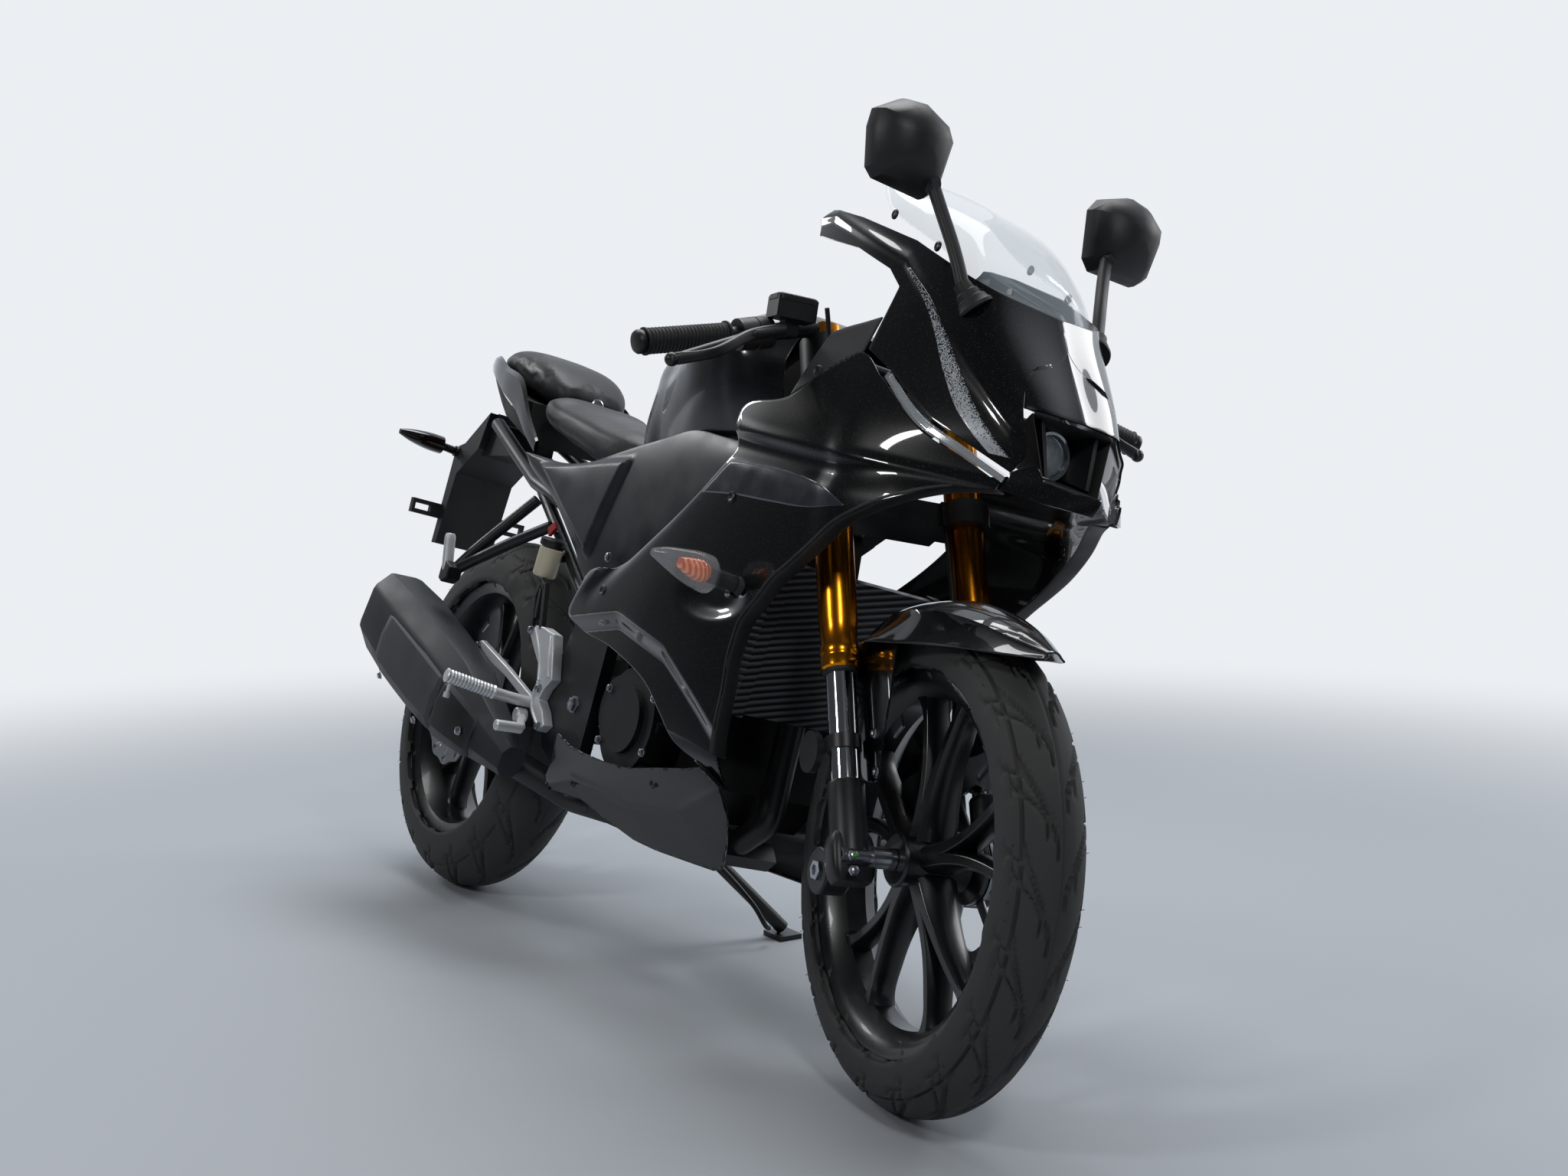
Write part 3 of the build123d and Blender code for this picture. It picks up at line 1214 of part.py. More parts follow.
def build_bodies():
    """Every piece by body and node, in the bike's upright frame."""
    envelope = across(fairing_half(0))
    lining = across(fairing_half(SKIN))
    skin = fairing_half(0) - fairing_half(SKIN)
    rear_hub = Location((0, 0, REAR_WHEEL_R))
    front_hub = Location((WHEELBASE, 0, FRONT_WHEEL_R))
    chassis = {
        "frame": frame(lining),
        "engine": engine(),
        "exhaust_pipe": exhaust_pipe(),
        "muffler": muffler(),
        "radiator": radiator(lining),
        "swingarm": swingarm(),
        "shock_absorber": shock_absorber(),
        "rear_axle": rear_axle(),
        "drive_chain": drive_chain(),
        "chain_guard": chain_guard(),
        "fuel_tank": fuel_tank(),
        "tank_cover": tank_cover(),
        "rider_seat": rider_seat(),
        "pillion_seat": pillion_seat(),
        "tail_cowl": tail_cowl(),
        "tail_lamp": tail_lamp(),
        "plate_holder": plate_holder(),
        "flashers": flashers(envelope),
        "side_cowls": side_cowls(skin),
        "lower_cowls": lower_cowls(skin),
        "front_cowl": front_cowl(skin),
        "inner_panels": inner_panels(skin),
        "frame_covers": frame_covers(),
        "windscreen": windscreen(),
        "headlamp": headlamp(),
        "running_lamps": running_lamps(skin),
        "mirrors": mirrors(envelope),
        "instruments": instruments(),
        "peg_hangers": peg_hangers(),
        "pillion_brackets": pillion_brackets(),
        "foot_controls": foot_controls(),
        "rear_caliper": rear_caliper(),
        "brake_reservoir": brake_reservoir(),
    }
    steering = {
        "triple_clamps": triple_clamps(),
        "fork_outer_tubes": fork_outer_tubes(),
        "fork_inner_tubes": fork_inner_tubes(),
        "fork_bottoms": fork_bottoms(),
        "handlebars": handlebars(),
        "grips": grips(),
        "hand_controls": hand_controls(),
        "front_fender": front_fender(),
        "front_caliper": front_caliper(),
        "front_axle": front_axle(),
        "reflectors": reflectors(),
    }
    front_tyre = wheel_tyre(FRONT_WHEEL_R, FRONT_TYRE_W / 2, FRONT_RIM_HALF)
    rear_tyre = wheel_tyre(REAR_WHEEL_R, REAR_TYRE_W / 2, REAR_RIM_HALF)
    front_disc = brake_disc(FRONT_DISC_R, FRONT_DISC_IN_R, FRONT_DISC_Y, 62.0)
    rear_disc = brake_disc(REAR_DISC_R, REAR_DISC_IN_R, REAR_DISC_Y, 52.0)
    return {
        "chassis": chassis,
        "steering": steering,
        "front_wheel": {
            "front_rim": front_rim().moved(front_hub),
            "front_tyre": front_tyre.moved(front_hub),
            "front_disc": front_disc.moved(front_hub),
        },
        "rear_wheel": {
            "rear_rim": rear_rim().moved(rear_hub),
            "rear_tyre": rear_tyre.moved(rear_hub),
            "rear_disc": rear_disc.moved(rear_hub),
            "rear_sprocket": sprocket().moved(rear_hub),
        },
        "side_stand_leg": {"side_stand": side_stand()},
        "fuel_cap_lid": {"fuel_cap": fuel_cap()},
    }


STEERED_BODIES = ("steering", "front_wheel")


def gathered(shape):
    """One compound from a shape or a list of shapes."""
    shapes = shape if isinstance(shape, list) else [shape]
    solids = [solid for item in shapes for solid in item.solids()]
    return solids[0] if len(solids) == 1 else Compound(solids)


def stand_up(bodies):
    """Pieces as the bike parks, by node, and the location that was applied to each body."""
    posed = {}
    for body, pieces in bodies.items():
        pose = POSE * STEER_TURN if body in STEERED_BODIES else POSE
        posed[body] = {node: gathered(shape).moved(pose) for node, shape in pieces.items()}
    box = Compound([shape for pieces in posed.values() for shape in pieces.values()]).bounding_box()
    shift = Location((-(box.min.X + box.max.X) / 2, -(box.min.Y + box.max.Y) / 2, 0))
    nodes = {node: shape.moved(shift) for pieces in posed.values() for node, shape in pieces.items()}
    return nodes, shift * POSE, shift * POSE * STEER_TURN


def main():
    os.makedirs("parts", exist_ok=True)
    nodes, _, _ = stand_up(build_bodies())
    for node, shape in nodes.items():
        export_step(shape, f"parts/{node}.step")


if __name__ == "__main__":
    main()
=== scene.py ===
"""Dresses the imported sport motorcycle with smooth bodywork, treaded tyres and real finishes.

Lengths are in millimetres in the bike's own frame: X forward from the rear axle, Y to the
rider's left, Z up from the ground, with the bike upright and the bars straight. Stance carries
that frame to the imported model's frame, in metres, where the bike leans on its side stand.
"""

import json
import logging
from dataclasses import dataclass, field
from enum import Enum
from math import cos, pi, radians, sin, tau
from typing import Any, Callable, Iterable, NamedTuple, Sequence

import bmesh
import bpy
import numpy as np
from mathutils import Matrix, Vector

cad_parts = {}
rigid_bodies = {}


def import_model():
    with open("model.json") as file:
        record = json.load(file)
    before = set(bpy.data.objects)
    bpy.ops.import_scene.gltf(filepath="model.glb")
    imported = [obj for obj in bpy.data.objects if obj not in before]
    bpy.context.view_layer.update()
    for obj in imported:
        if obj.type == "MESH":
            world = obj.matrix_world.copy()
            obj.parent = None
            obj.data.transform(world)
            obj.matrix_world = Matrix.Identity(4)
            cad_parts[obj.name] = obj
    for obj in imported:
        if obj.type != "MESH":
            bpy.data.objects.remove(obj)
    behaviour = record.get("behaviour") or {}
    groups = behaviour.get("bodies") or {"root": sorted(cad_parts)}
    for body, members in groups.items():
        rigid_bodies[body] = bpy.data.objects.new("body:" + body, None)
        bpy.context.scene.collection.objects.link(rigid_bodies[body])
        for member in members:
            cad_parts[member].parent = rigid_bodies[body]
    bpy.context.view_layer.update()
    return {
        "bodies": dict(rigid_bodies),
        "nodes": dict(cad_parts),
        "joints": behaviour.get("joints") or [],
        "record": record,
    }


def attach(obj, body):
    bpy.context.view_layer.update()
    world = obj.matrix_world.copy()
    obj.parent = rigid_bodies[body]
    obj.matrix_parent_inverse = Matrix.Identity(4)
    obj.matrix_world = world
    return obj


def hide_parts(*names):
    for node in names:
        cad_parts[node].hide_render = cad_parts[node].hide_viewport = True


LOG = logging.getLogger("sport_motorcycle")
Array = np.ndarray
Point = tuple[float, float, float]

MM = 0.001


# Stance of the bike

class Body(Enum):
    """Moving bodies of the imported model."""

    CHASSIS = "chassis"
    STEERING = "steering"
    FRONT_WHEEL = "front_wheel"
    REAR_WHEEL = "rear_wheel"
    STAND = "side_stand_leg"
    CAP = "fuel_cap_lid"


def turn_about(axis: Sequence[float], degrees: float, through: Sequence[float]) -> Array:
    """Four by four matrix of a turn about a line.

    Args:
        axis: Direction of the line.
        degrees: Angle of the turn, by the right hand rule.
        through: A point of the line.

    Returns:
        The matrix, made of a move to the origin, the turn and the move back.
    """
    move = Matrix.Translation(Vector(through))
    return np.array(move @ Matrix.Rotation(radians(degrees), 4, Vector(axis)) @ move.inverted())


@dataclass(frozen=True)
class Stance:
    """How the upright bike stands in the model's frame."""

    lean: float = -15.34
    pitch: float = -0.0769
    place: Point = (-634.7209, -199.0093, 2.7846)
    rake: float = 25.5
    steer_x: float = 1414.0
    steer_turn: float = -10.84

    @property
    def steer_axis(self) -> Point:
        """Direction of the steering axis, upwards."""
        return (-sin(radians(self.rake)), 0.0, cos(radians(self.rake)))

    def matrix(self, body: Body) -> Array:
        """Bike frame to model frame for a body, in millimetres."""
        leaning = turn_about((0, 1, 0), self.pitch, (0, 0, 0)) @ turn_about(
            (1, 0, 0), self.lean, (0, 0, 0)
        )
        placed = np.array(Matrix.Translation(Vector(self.place))) @ leaning
        if body in (Body.STEERING, Body.FRONT_WHEEL):
            placed = placed @ turn_about(self.steer_axis, self.steer_turn, (self.steer_x, 0, 0))
        return placed

    def fork(self, a: Any, y: Any, u: Any) -> Array:
        """Point ahead of the steering axis by a, aside by y and up along it by u."""
        s, c = sin(radians(self.rake)), cos(radians(self.rake))
        a, y, u = np.broadcast_arrays(*(np.asarray(v, float) for v in (a, y, u)))
        return np.stack([self.steer_x + a * c - u * s, y, a * s + u * c], axis=-1)


STANCE = Stance()


# Surfaces worked out with arrays

class Patch(NamedTuple):
    """A piece of mesh: its points, its four sided faces and its many sided caps."""

    points: Array
    quads: Array
    caps: list[list[int]]


def unit(vectors: Array) -> Array:
    """Vectors scaled to a length of one."""
    return vectors / np.maximum(np.linalg.norm(vectors, axis=-1, keepdims=True), 1e-9)


def eased(values: Array, power: float) -> Array:
    """Signed power, which turns a circle's sine and cosine into a squarer outline."""
    return np.sign(values) * np.abs(values) ** power


def chord(points: Array) -> Array:
    """Length run along a line of points, up to each of them."""
    return np.concatenate([[0.0], np.cumsum(np.linalg.norm(np.diff(points, axis=0), axis=1))])


def grid_of(x: Any, y: Any, z: Any) -> Array:
    """Points by row and column from their three coordinates."""
    return np.stack(np.broadcast_arrays(x, y, z), axis=-1)


def through(knots: Sequence[float], values: Any, at: Array) -> Array:
    """Smooth line through given values.

    Each stretch is a cubic whose slope at a knot is the average of the slopes on its two sides,
    weighted by the other side's length.

    Args:
        knots: Rising places of the values.
        values: One value, or one array of values, for each knot.
        at: Places to read.

    Returns:
        The values there, with the places along the first axis.
    """
    t = np.asarray(knots, float)
    v = np.asarray(values, float)
    wide = (-1,) + (1,) * (v.ndim - 1)
    step = np.diff(t).reshape(wide)
    rise = np.diff(v, axis=0) / step
    slope = np.concatenate([rise[:1], rise[:-1], rise[-1:]])[: len(t)].copy()
    slope[1:-1] = (rise[:-1] * step[1:] + rise[1:] * step[:-1]) / (step[1:] + step[:-1])
    slope[-1] = rise[-1]
    at = np.clip(np.asarray(at, float), t[0], t[-1])
    i = np.clip(np.searchsorted(t, at, side="right") - 1, 0, len(t) - 2)
    h = (t[i + 1] - t[i]).reshape(wide)
    f = ((at - t[i]) / (t[i + 1] - t[i])).reshape(wide)
    f2, f3 = f * f, f * f * f
    return (
        (2 * f3 - 3 * f2 + 1) * v[i] + (f3 - 2 * f2 + f) * h * slope[i]
        + (3 * f2 - 2 * f3) * v[i + 1] + (f3 - f2) * h * slope[i + 1]
    )


def line_through(points: Any, count: int) -> Array:
    """Smooth line through points, read at even steps of its chord length."""
    p = np.asarray(points, float)
    length = chord(p)
    return through(length, p, np.linspace(0, length[-1], count))


def run_of(lines: Iterable[Any], counts: Iterable[int]) -> Array:
    """Smooth lines end to end, with a corner where they meet."""
    parts = [line_through(line, count) for line, count in zip(lines, counts)]
    return np.concatenate([parts[0]] + [part[1:] for part in parts[1:]])


def sheet_of(points: Array, wrap_rows: bool = False, wrap_columns: bool = False,
             cap: bool = False) -> Patch:
    """Mesh of a grid of points.

    Args:
        points: Points by row and column.
        wrap_rows: Whether the last row joins the first.
        wrap_columns: Whether the last column joins the first.
        cap: Whether the first and last rows are closed by a flat face.

    Returns:
        The mesh, with one face between each four neighbours.
    """
    rows, columns = points.shape[:2]
    index = np.arange(rows * columns).reshape(rows, columns)
    if wrap_rows:
        index = np.vstack([index, index[:1]])
    if wrap_columns:
        index = np.hstack([index, index[:, :1]])
    quads = np.stack([index[:-1, :-1], index[:-1, 1:], index[1:, 1:], index[1:, :-1]], axis=-1)
    caps = []
    if cap:
        caps = [list(range(columns))[::-1], list(range((rows - 1) * columns, rows * columns))]
    return Patch(points.reshape(-1, 3), quads.reshape(-1, 4), caps)


def closed(points: Array) -> Patch:
    """Solid whose rows of points are rings, with both ends capped."""
    return sheet_of(points, wrap_columns=True, cap=True)


def frame_along(path: Array, up: Sequence[float] = (0, 0, 1)) -> tuple[Array, Array]:
    """Side and top directions at each point of a path, square to its run."""
    run = unit(np.gradient(path, axis=0))
    side = unit(np.cross(np.asarray(up, float), run))
    return side, np.cross(run, side)


def carried(profile: Any, path: Any, up: Sequence[float] = (0, 0, 1), scale: Any = 1.0,
            cap: bool = True) -> Patch:
    """Closed profile carried along a path.

    Each point is the path's point, plus the profile's first number along the side direction
    and its second along the top direction, both times the scale there.

    Args:
        profile: Points of the profile, in its own plane.
        path: Points of the path.
        up: Direction that the profile's second axis leans to.
        scale: One number, or one for each point of the path.
        cap: Whether the ends are closed.

    Returns:
        The tube.
    """
    p, line = np.asarray(profile, float), np.asarray(path, float)
    side, top = frame_along(line, up)
    s = np.broadcast_to(np.asarray(scale, float), len(line))[:, None, None]
    grid = line[:, None] + s * (side[:, None] * p[None, :, :1] + top[:, None] * p[None, :, 1:])
    return sheet_of(grid, wrap_columns=True, cap=cap)


def circle(radius: float, count: int = 24) -> Array:
    """Points of a circle in its own plane."""
    a = np.linspace(0, tau, count, endpoint=False)
    return radius * np.stack([np.cos(a), np.sin(a)], axis=-1)


def rounded_box(wide: float, tall: float, corner: float, steps: int = 4) -> Array:
    """Outline of a rectangle with round corners, in its own plane."""
    a = np.linspace(0, pi / 2, steps)
    quarter = corner * np.stack([np.cos(a), np.sin(a)], axis=-1)
    x, y = wide / 2 - corner, tall / 2 - corner
    turned = [quarter, quarter[:, ::-1] * (-1, 1), quarter * (-1, -1), quarter[:, ::-1] * (1, -1)]
    centres = ((x, y), (-x, y), (-x, -y), (x, -y))
    return np.concatenate([part + centre for part, centre in zip(turned, centres)])


def tube(path: Any, radius: float, count: int = 16, steps: int = 0, scale: Any = 1.0) -> Patch:
    """Round bar along a path, smoothed to a number of steps where one is given."""
    line = line_through(path, steps) if steps else np.asarray(path, float)
    run = np.abs(line[-1] - line[0])
    up = (0, 0, 1) if run[2] < 0.9 * np.linalg.norm(run) else (1, 0, 0)
    return carried(circle(radius, count), line, up, scale)


def spun(profile: Any, start: Sequence[float], end: Sequence[float], count: int = 48) -> Patch:
    """Surface of revolution about a line.

    Each profile point is a distance along the line and a radius, and every ring is that radius
    turned about the line.

    Args:
        profile: Distances along the line with their radii.
        start: Where the distances begin.
        end: A second point of the line.
        count: Number of points round.

    Returns:
        The surface, closed at both ends where the profile ends off the line.
    """
    a, b = np.asarray(start, float), np.asarray(end, float)
    axis = unit(b - a)
    side = unit(np.cross(axis, (0, 0, 1) if abs(axis[2]) < 0.9 else (1, 0, 0)))
    top = np.cross(axis, side)
    p = np.asarray(profile, float)
    t = np.linspace(0, tau, count, endpoint=False)
    ring = np.cos(t)[None, :, None] * side + np.sin(t)[None, :, None] * top
    grid = a + p[:, :1, None] * axis + p[:, 1:, None] * ring
    return closed(grid)


def hex_bolt(seat: Sequence[float], out: Sequence[float], radius: float, height: float) -> Patch:
    """Flanged hexagon head that stands on its seat."""
    tip = np.asarray(seat, float) + np.asarray(out, float) * height
    return spun(((0, radius * 1.35), (height * 0.25, radius * 1.3), (height * 0.3, radius),
                 (height * 0.9, radius), (height, radius * 0.8)), seat, tip, 6)


def plate(outline: Any, y_low: float, y_high: float, smooth: int = 0) -> Patch:
    """Flat plate: an outline in X and Z carried straight across Y."""
    o = np.asarray(outline, float)
    if smooth:
        o = line_through(np.vstack([o, o[:1]]), smooth)[:-1]
    grid = np.stack([np.column_stack([o[:, 0], np.full(len(o), y), o[:, 1]])
                     for y in (y_low, y_high)])
    return closed(grid)


def slab(corners: Any, thick: Sequence[float]) -> Patch:
    """Box from four corners of one face and a step to the other."""
    low = np.asarray(corners, float)
    return closed(np.stack([low, low + np.asarray(thick, float)]))


def mirrored(patch: Patch) -> Patch:
    """The same piece on the other side of the bike."""
    return Patch(patch.points * (1, -1, 1), patch.quads[:, ::-1], [c[::-1] for c in patch.caps])


def both(patches: Iterable[Patch]) -> list[Patch]:
    """Pieces of the rider's right side with their mirror images."""
    right = list(patches)
    return right + [mirrored(patch) for patch in right]


def moved(patch: Patch, matrix: Array) -> Patch:
    """A piece carried by a four by four matrix."""
    points = patch.points @ matrix[:3, :3].T + matrix[:3, 3]
    return Patch(points, patch.quads, patch.caps)


# Finishes

def linear(colour: str) -> tuple[float, float, float, float]:
    """Linear colour of an sRGB hex value."""
    parts = [int(colour.lstrip("#")[i:i + 2], 16) / 255 for i in (0, 2, 4)]
    line = [c / 12.92 if c <= 0.04045 else ((c + 0.055) / 1.055) ** 2.4 for c in parts]
    return (line[0], line[1], line[2], 1.0)


def node(tree: bpy.types.NodeTree, kind: str, inputs: dict[Any, Any] | None = None,
         **settings: Any) -> bpy.types.Node:
    """Adds a node.

    Args:
        tree: Node tree that takes it.
        kind: Type name of the node.
        inputs: Input name or number to the output socket that feeds it, or to its value.
        settings: Properties of the node itself.

    Returns:
        The new node.
    """
    made = tree.nodes.new(kind)
    for key, value in settings.items():
        setattr(made, key, value)
    for key, value in (inputs or {}).items():
        if isinstance(value, bpy.types.NodeSocket):
            tree.links.new(value, made.inputs[key])
        else:
            made.inputs[key].default_value = value
    return made


def maths(tree: bpy.types.NodeTree, operation: str, *inputs: Any) -> Any:
    """Result of a maths node, from a socket or a number for each of its inputs."""
    return node(tree, "ShaderNodeMath", dict(enumerate(inputs)), operation=operation).outputs[0]


def ranged(tree: bpy.types.NodeTree, source: Any, old: Sequence[float],
           new: Sequence[float] = (0.0, 1.0), **settings: Any) -> Any:
    """Result of a node that maps an old range to a new one."""
    ends = dict(zip(("From Min", "From Max", "To Min", "To Max"), (*old, *new)))
    return node(tree, "ShaderNodeMapRange", {"Value": source, **ends}, **settings).outputs[0]


def ramp(tree: bpy.types.NodeTree, source: Any, stops: Sequence[tuple[float, str]],
         hard: bool = False) -> Any:
    """Colour output of a ramp between hex colours."""
    made = node(tree, "ShaderNodeValToRGB", {"Fac": source})
    bar = made.color_ramp
    bar.interpolation = "CONSTANT" if hard else "LINEAR"
    while len(bar.elements) < len(stops):
        bar.elements.new(0.5)
    for element, (place, colour) in zip(bar.elements, stops):
        element.position = place
        element.color = linear(colour)
    return made.outputs["Color"]


@dataclass(frozen=True)
class Finish:
    """Surface of one real material. Grain sizes are in millimetres.

    The grain is a fine noise bump, the mottle a slow change of the colour towards second, and
    the haze a slow change of the roughness.
    """

    name: str
    colour: str
    second: str
    roughness: float = 0.5
    metallic: float = 0.0
    ior: float = 1.5
    coat: float = 0.0
    grain: float = 1.2
    grain_depth: float = 0.15
    mottle: float = 60.0
    haze: float = 0.06
    stretch: Point = (1.0, 1.0, 1.0)

    def material(self) -> bpy.types.Material:
        """The material, made once."""
        found = bpy.data.materials.get(self.name)
        if found:
            return found
        made = bpy.data.materials.new(self.name)
        made.use_nodes = True
        tree = made.node_tree
        tree.nodes.clear()
        shader = node(tree, "ShaderNodeBsdfPrincipled", {
            "Base Color": linear(self.colour), "Roughness": self.roughness,
            "Metallic": self.metallic, "IOR": self.ior, "Coat Weight": self.coat,
            "Coat Roughness": 0.03,
        })
        node(tree, "ShaderNodeOutputMaterial", {"Surface": shader.outputs[0]})
        coords = node(tree, "ShaderNodeTexCoord").outputs["Object"]
        self.dress(tree, shader, coords)
        made.diffuse_color = linear(self.colour)
        return made

    def noise(self, tree: bpy.types.NodeTree, coords: Any, size: float, detail: float = 3.0) -> Any:
        """Noise whose lumps are about a size in millimetres."""
        spread = node(tree, "ShaderNodeMapping", {
            "Vector": coords, "Scale": tuple(1000.0 / size * s for s in self.stretch)})
        return node(tree, "ShaderNodeTexNoise", {
            "Vector": spread.outputs[0], "Scale": 1.0, "Detail": detail}).outputs["Fac"]

    def dress(self, tree: bpy.types.NodeTree, shader: bpy.types.Node, coords: Any) -> None:
        """Adds the pattern of the finish to the shader."""
        slow = self.noise(tree, coords, self.mottle)
        tree.links.new(ramp(tree, slow, ((0.32, self.colour), (0.68, self.second))),
                       shader.inputs["Base Color"])
        haze = ranged(tree, slow, (0.3, 0.7),
                      (max(self.roughness - self.haze, 0.02), self.roughness + self.haze))
        tree.links.new(haze, shader.inputs["Roughness"])
        if self.grain_depth:
            fine = self.noise(tree, coords, self.grain, 4.0)
            self.emboss(tree, shader, fine, self.grain_depth, self.grain * MM * 0.3)

    def emboss(self, tree: bpy.types.NodeTree, shader: bpy.types.Node, height: Any, strength: float,
               distance: float) -> None:
        """Bumps the surface by a height."""
        bump = node(tree, "ShaderNodeBump", {"Height": height, "Strength": strength,
                                             "Distance": distance})
        tree.links.new(bump.outputs[0], shader.inputs["Normal"])


@dataclass(frozen=True)
class FlakePaint(Finish):
    """Sprayed black base coat with metal flake under a clear coat: deep gloss, tiny sparks."""

    flake: float = 0.9
    spark: str = "#2c3138"

    def dress(self, tree: bpy.types.NodeTree, shader: bpy.types.Node, coords: Any) -> None:
        """Scatters flakes as single bright cells."""
        shader.inputs["Specular IOR Level"].default_value = 0.15
        cells = node(tree, "ShaderNodeTexVoronoi", {"Vector": coords, "Scale": 1000.0 / self.flake})
        pick = node(tree, "ShaderNodeSeparateColor", {"Color": cells.outputs["Color"]})
        bright = ramp(tree, pick.outputs[0], ((0.0, self.colour), (0.965, self.spark)), hard=True)
        tree.links.new(bright, shader.inputs["Base Color"])


@dataclass(frozen=True)
class Ribbed(Finish):
    """Moulded rubber or plastic with fine ribs across one axis, coloured in bands of painted light and shade
    that follow the ribs.
    """

    pitch: float = 6.0
    axis: int = 2
    depth: float = 0.5

    def dress(self, tree: bpy.types.NodeTree, shader: bpy.types.Node, coords: Any) -> None:
        """Painted light and shade: the first colour in the rib troughs and the second on the crests, with
        the bump of the ribs.
        """
        split = node(tree, "ShaderNodeSeparateXYZ", {"Vector": coords}).outputs[self.axis]
        wave = maths(tree, "SINE", maths(tree, "MULTIPLY", split, tau * 1000.0 / self.pitch))
        fac = ranged(tree, wave, (-1.0, 1.0))
        tree.links.new(ramp(tree, fac, ((0.2, self.colour), (0.8, self.second))),
                       shader.inputs["Base Color"])
        self.emboss(tree, shader, fac, self.depth, self.pitch * MM * 0.3)


@dataclass(frozen=True)
class Clear(Finish):
    """Clear moulding that the view passes through."""

    density: float = 0.12

    def dress(self, tree: bpy.types.NodeTree, shader: bpy.types.Node, coords: Any) -> None:
        """Lets light through and keeps the gloss of the surface."""
        shader.inputs["Alpha"].default_value = self.density
        shader.inputs["Specular IOR Level"].default_value = 0.8


@dataclass(frozen=True)
class TreadRubber(Finish):
    """Cured tyre rubber: dark grey and dull, with painted shade that colours the grooves near black."""

    # Colour of the painted shade in the grooves.
    groove: str = "#030303"

    def dress(self, tree: bpy.types.NodeTree, shader: bpy.types.Node, coords: Any) -> None:
        """Paints shade into the grooves, near black by the groove attribute, and adds a fine grain."""
        mark = node(tree, "ShaderNodeAttribute", attribute_name="groove").outputs["Fac"]
        slow = self.noise(tree, coords, self.mottle)
        base = ramp(tree, slow, ((0.3, self.colour), (0.7, self.second)))
        mixed = node(tree, "ShaderNodeMix", {"Factor": mark, 6: base, 7: linear(self.groove)},
                     data_type="RGBA").outputs[2]
        tree.links.new(mixed, shader.inputs["Base Color"])
        self.emboss(tree, shader, self.noise(tree, coords, self.grain, 4.0), 0.2, 0.0003)


@dataclass(frozen=True)
class StripePaint(FlakePaint):
    """Printed silver flake that fades out into the black paint along the stripe."""

    def dress(self, tree: bpy.types.NodeTree, shader: bpy.types.Node, coords: Any) -> None:
        """Mixes silver grains into black by the fade attribute."""
        mark = node(tree, "ShaderNodeAttribute", attribute_name="fade").outputs["Fac"]
        grains = node(tree, "ShaderNodeVectorMath", {0: coords, 1: (self.grain * MM,) * 3},
                      operation="SNAP").outputs[0]
        fine = node(tree, "ShaderNodeTexWhiteNoise", {"Vector": grains}).outputs["Value"]
        chance = maths(tree, "LESS_THAN", fine, mark)
        tree.links.new(ramp(tree, chance, ((0.0, self.colour), (0.5, self.second)), hard=True),
                       shader.inputs["Base Color"])


# Sprayed black flake with a clear coat: mirror gloss and small sparks near the lamps.
GLOSS_BLACK = FlakePaint("gloss_black_flake_paint", "#020203", "#050506", 0.3, 0.0, coat=1.0)
# The same paint on the lower cowls, sprayed with a thinner clear coat.
LOWER_BLACK = FlakePaint("black_paint_thin_clear_coat", "#020203", "#050506", 0.35, coat=0.35)
# Satin clear over dark paint, as on the tank cover: soft wide reflections.
SATIN_BLACK = Finish("satin_black_paint", "#0b0d10", "#101317", 0.24, coat=0.3, grain_depth=0.0)
# Grained polypropylene: dull and slightly lighter than the paint.
MOULDED = Finish("grained_black_plastic", "#121315", "#17191b", 0.5, grain=1.4, grain_depth=0.25)
# Injection moulded plastic with a fine spark eroded grain: satin.
SATIN_PLASTIC = Finish("satin_black_plastic", "#14171b", "#1a1d22", 0.36, grain=1.2, grain_depth=0.08)
# Unpainted plastic deep in the body: matte and coarse.
DEEP_PLASTIC = Finish("matte_black_plastic", "#0c0d0e", "#121315", 0.6, grain=1.6, grain_depth=0.2)
# Powder coat on cast wheels and brackets: satin with a slight orange peel.
WHEEL_BLACK = Finish("satin_black_powder_coat", "#0b0c0e", "#121417", 0.32, coat=0.15, grain=2.4,
                     grain_depth=0.1)
# Dipped and baked paint on pressed steel: satin, faintly uneven.
BRACKET_BLACK = Finish("black_painted_steel", "#0d0e10", "#141518", 0.4, grain=2.0, grain_depth=0.12)
# Heat proof coat on the silencer: charcoal, dull.
CAN_GREY = Finish("heat_proof_charcoal_coat", "#25282c", "#2d3135", 0.5, 0.35, grain=1.0,
                  grain_depth=0.15)
# Moulded heat resistant plastic, left bare.
SHIELD_GREY = Finish("grey_silencer_shield", "#33363a", "#3c3f43", 0.55, grain=1.2)
# Gold anodised and drawn: clear metal colour with fine lines round the tube.
GOLD = Finish("gold_anodised_aluminium", "#d98a1c", "#c4781a", 0.22, 1.0, grain=0.8, grain_depth=0.04,
              mottle=90.0, haze=0.05)
# Hard chrome on the sliders: near mirror.
CHROME = Finish("hard_chrome", "#d4d8dc", "#c8ccd2", 0.07, 1.0, grain_depth=0.0, haze=0.02)
# Blasted and clear coated casting, as on the footrest hangers.
CAST_ALLOY = Finish("cast_aluminium", "#d9dbde", "#c4c8cc", 0.42, 0.55, grain=1.4, grain_depth=0.25)
# Zinc plated fasteners.
ZINC = Finish("zinc_plated_steel", "#b9bdc4", "#9a9ea6", 0.28, 1.0, grain_depth=0.0)
# Stainless steel, ground across both faces.
DISC_STEEL = Finish("ground_stainless_steel", "#9a9da1", "#7f8388", 0.3, 1.0, grain=0.9,
                    grain_depth=0.2)
# Sand cast aluminium under black heat proof paint.
ENGINE_CAST = Finish("black_cast_engine_case", "#141516", "#1c1d1f", 0.5, 0.3, grain=1.8,
                     grain_depth=0.3)
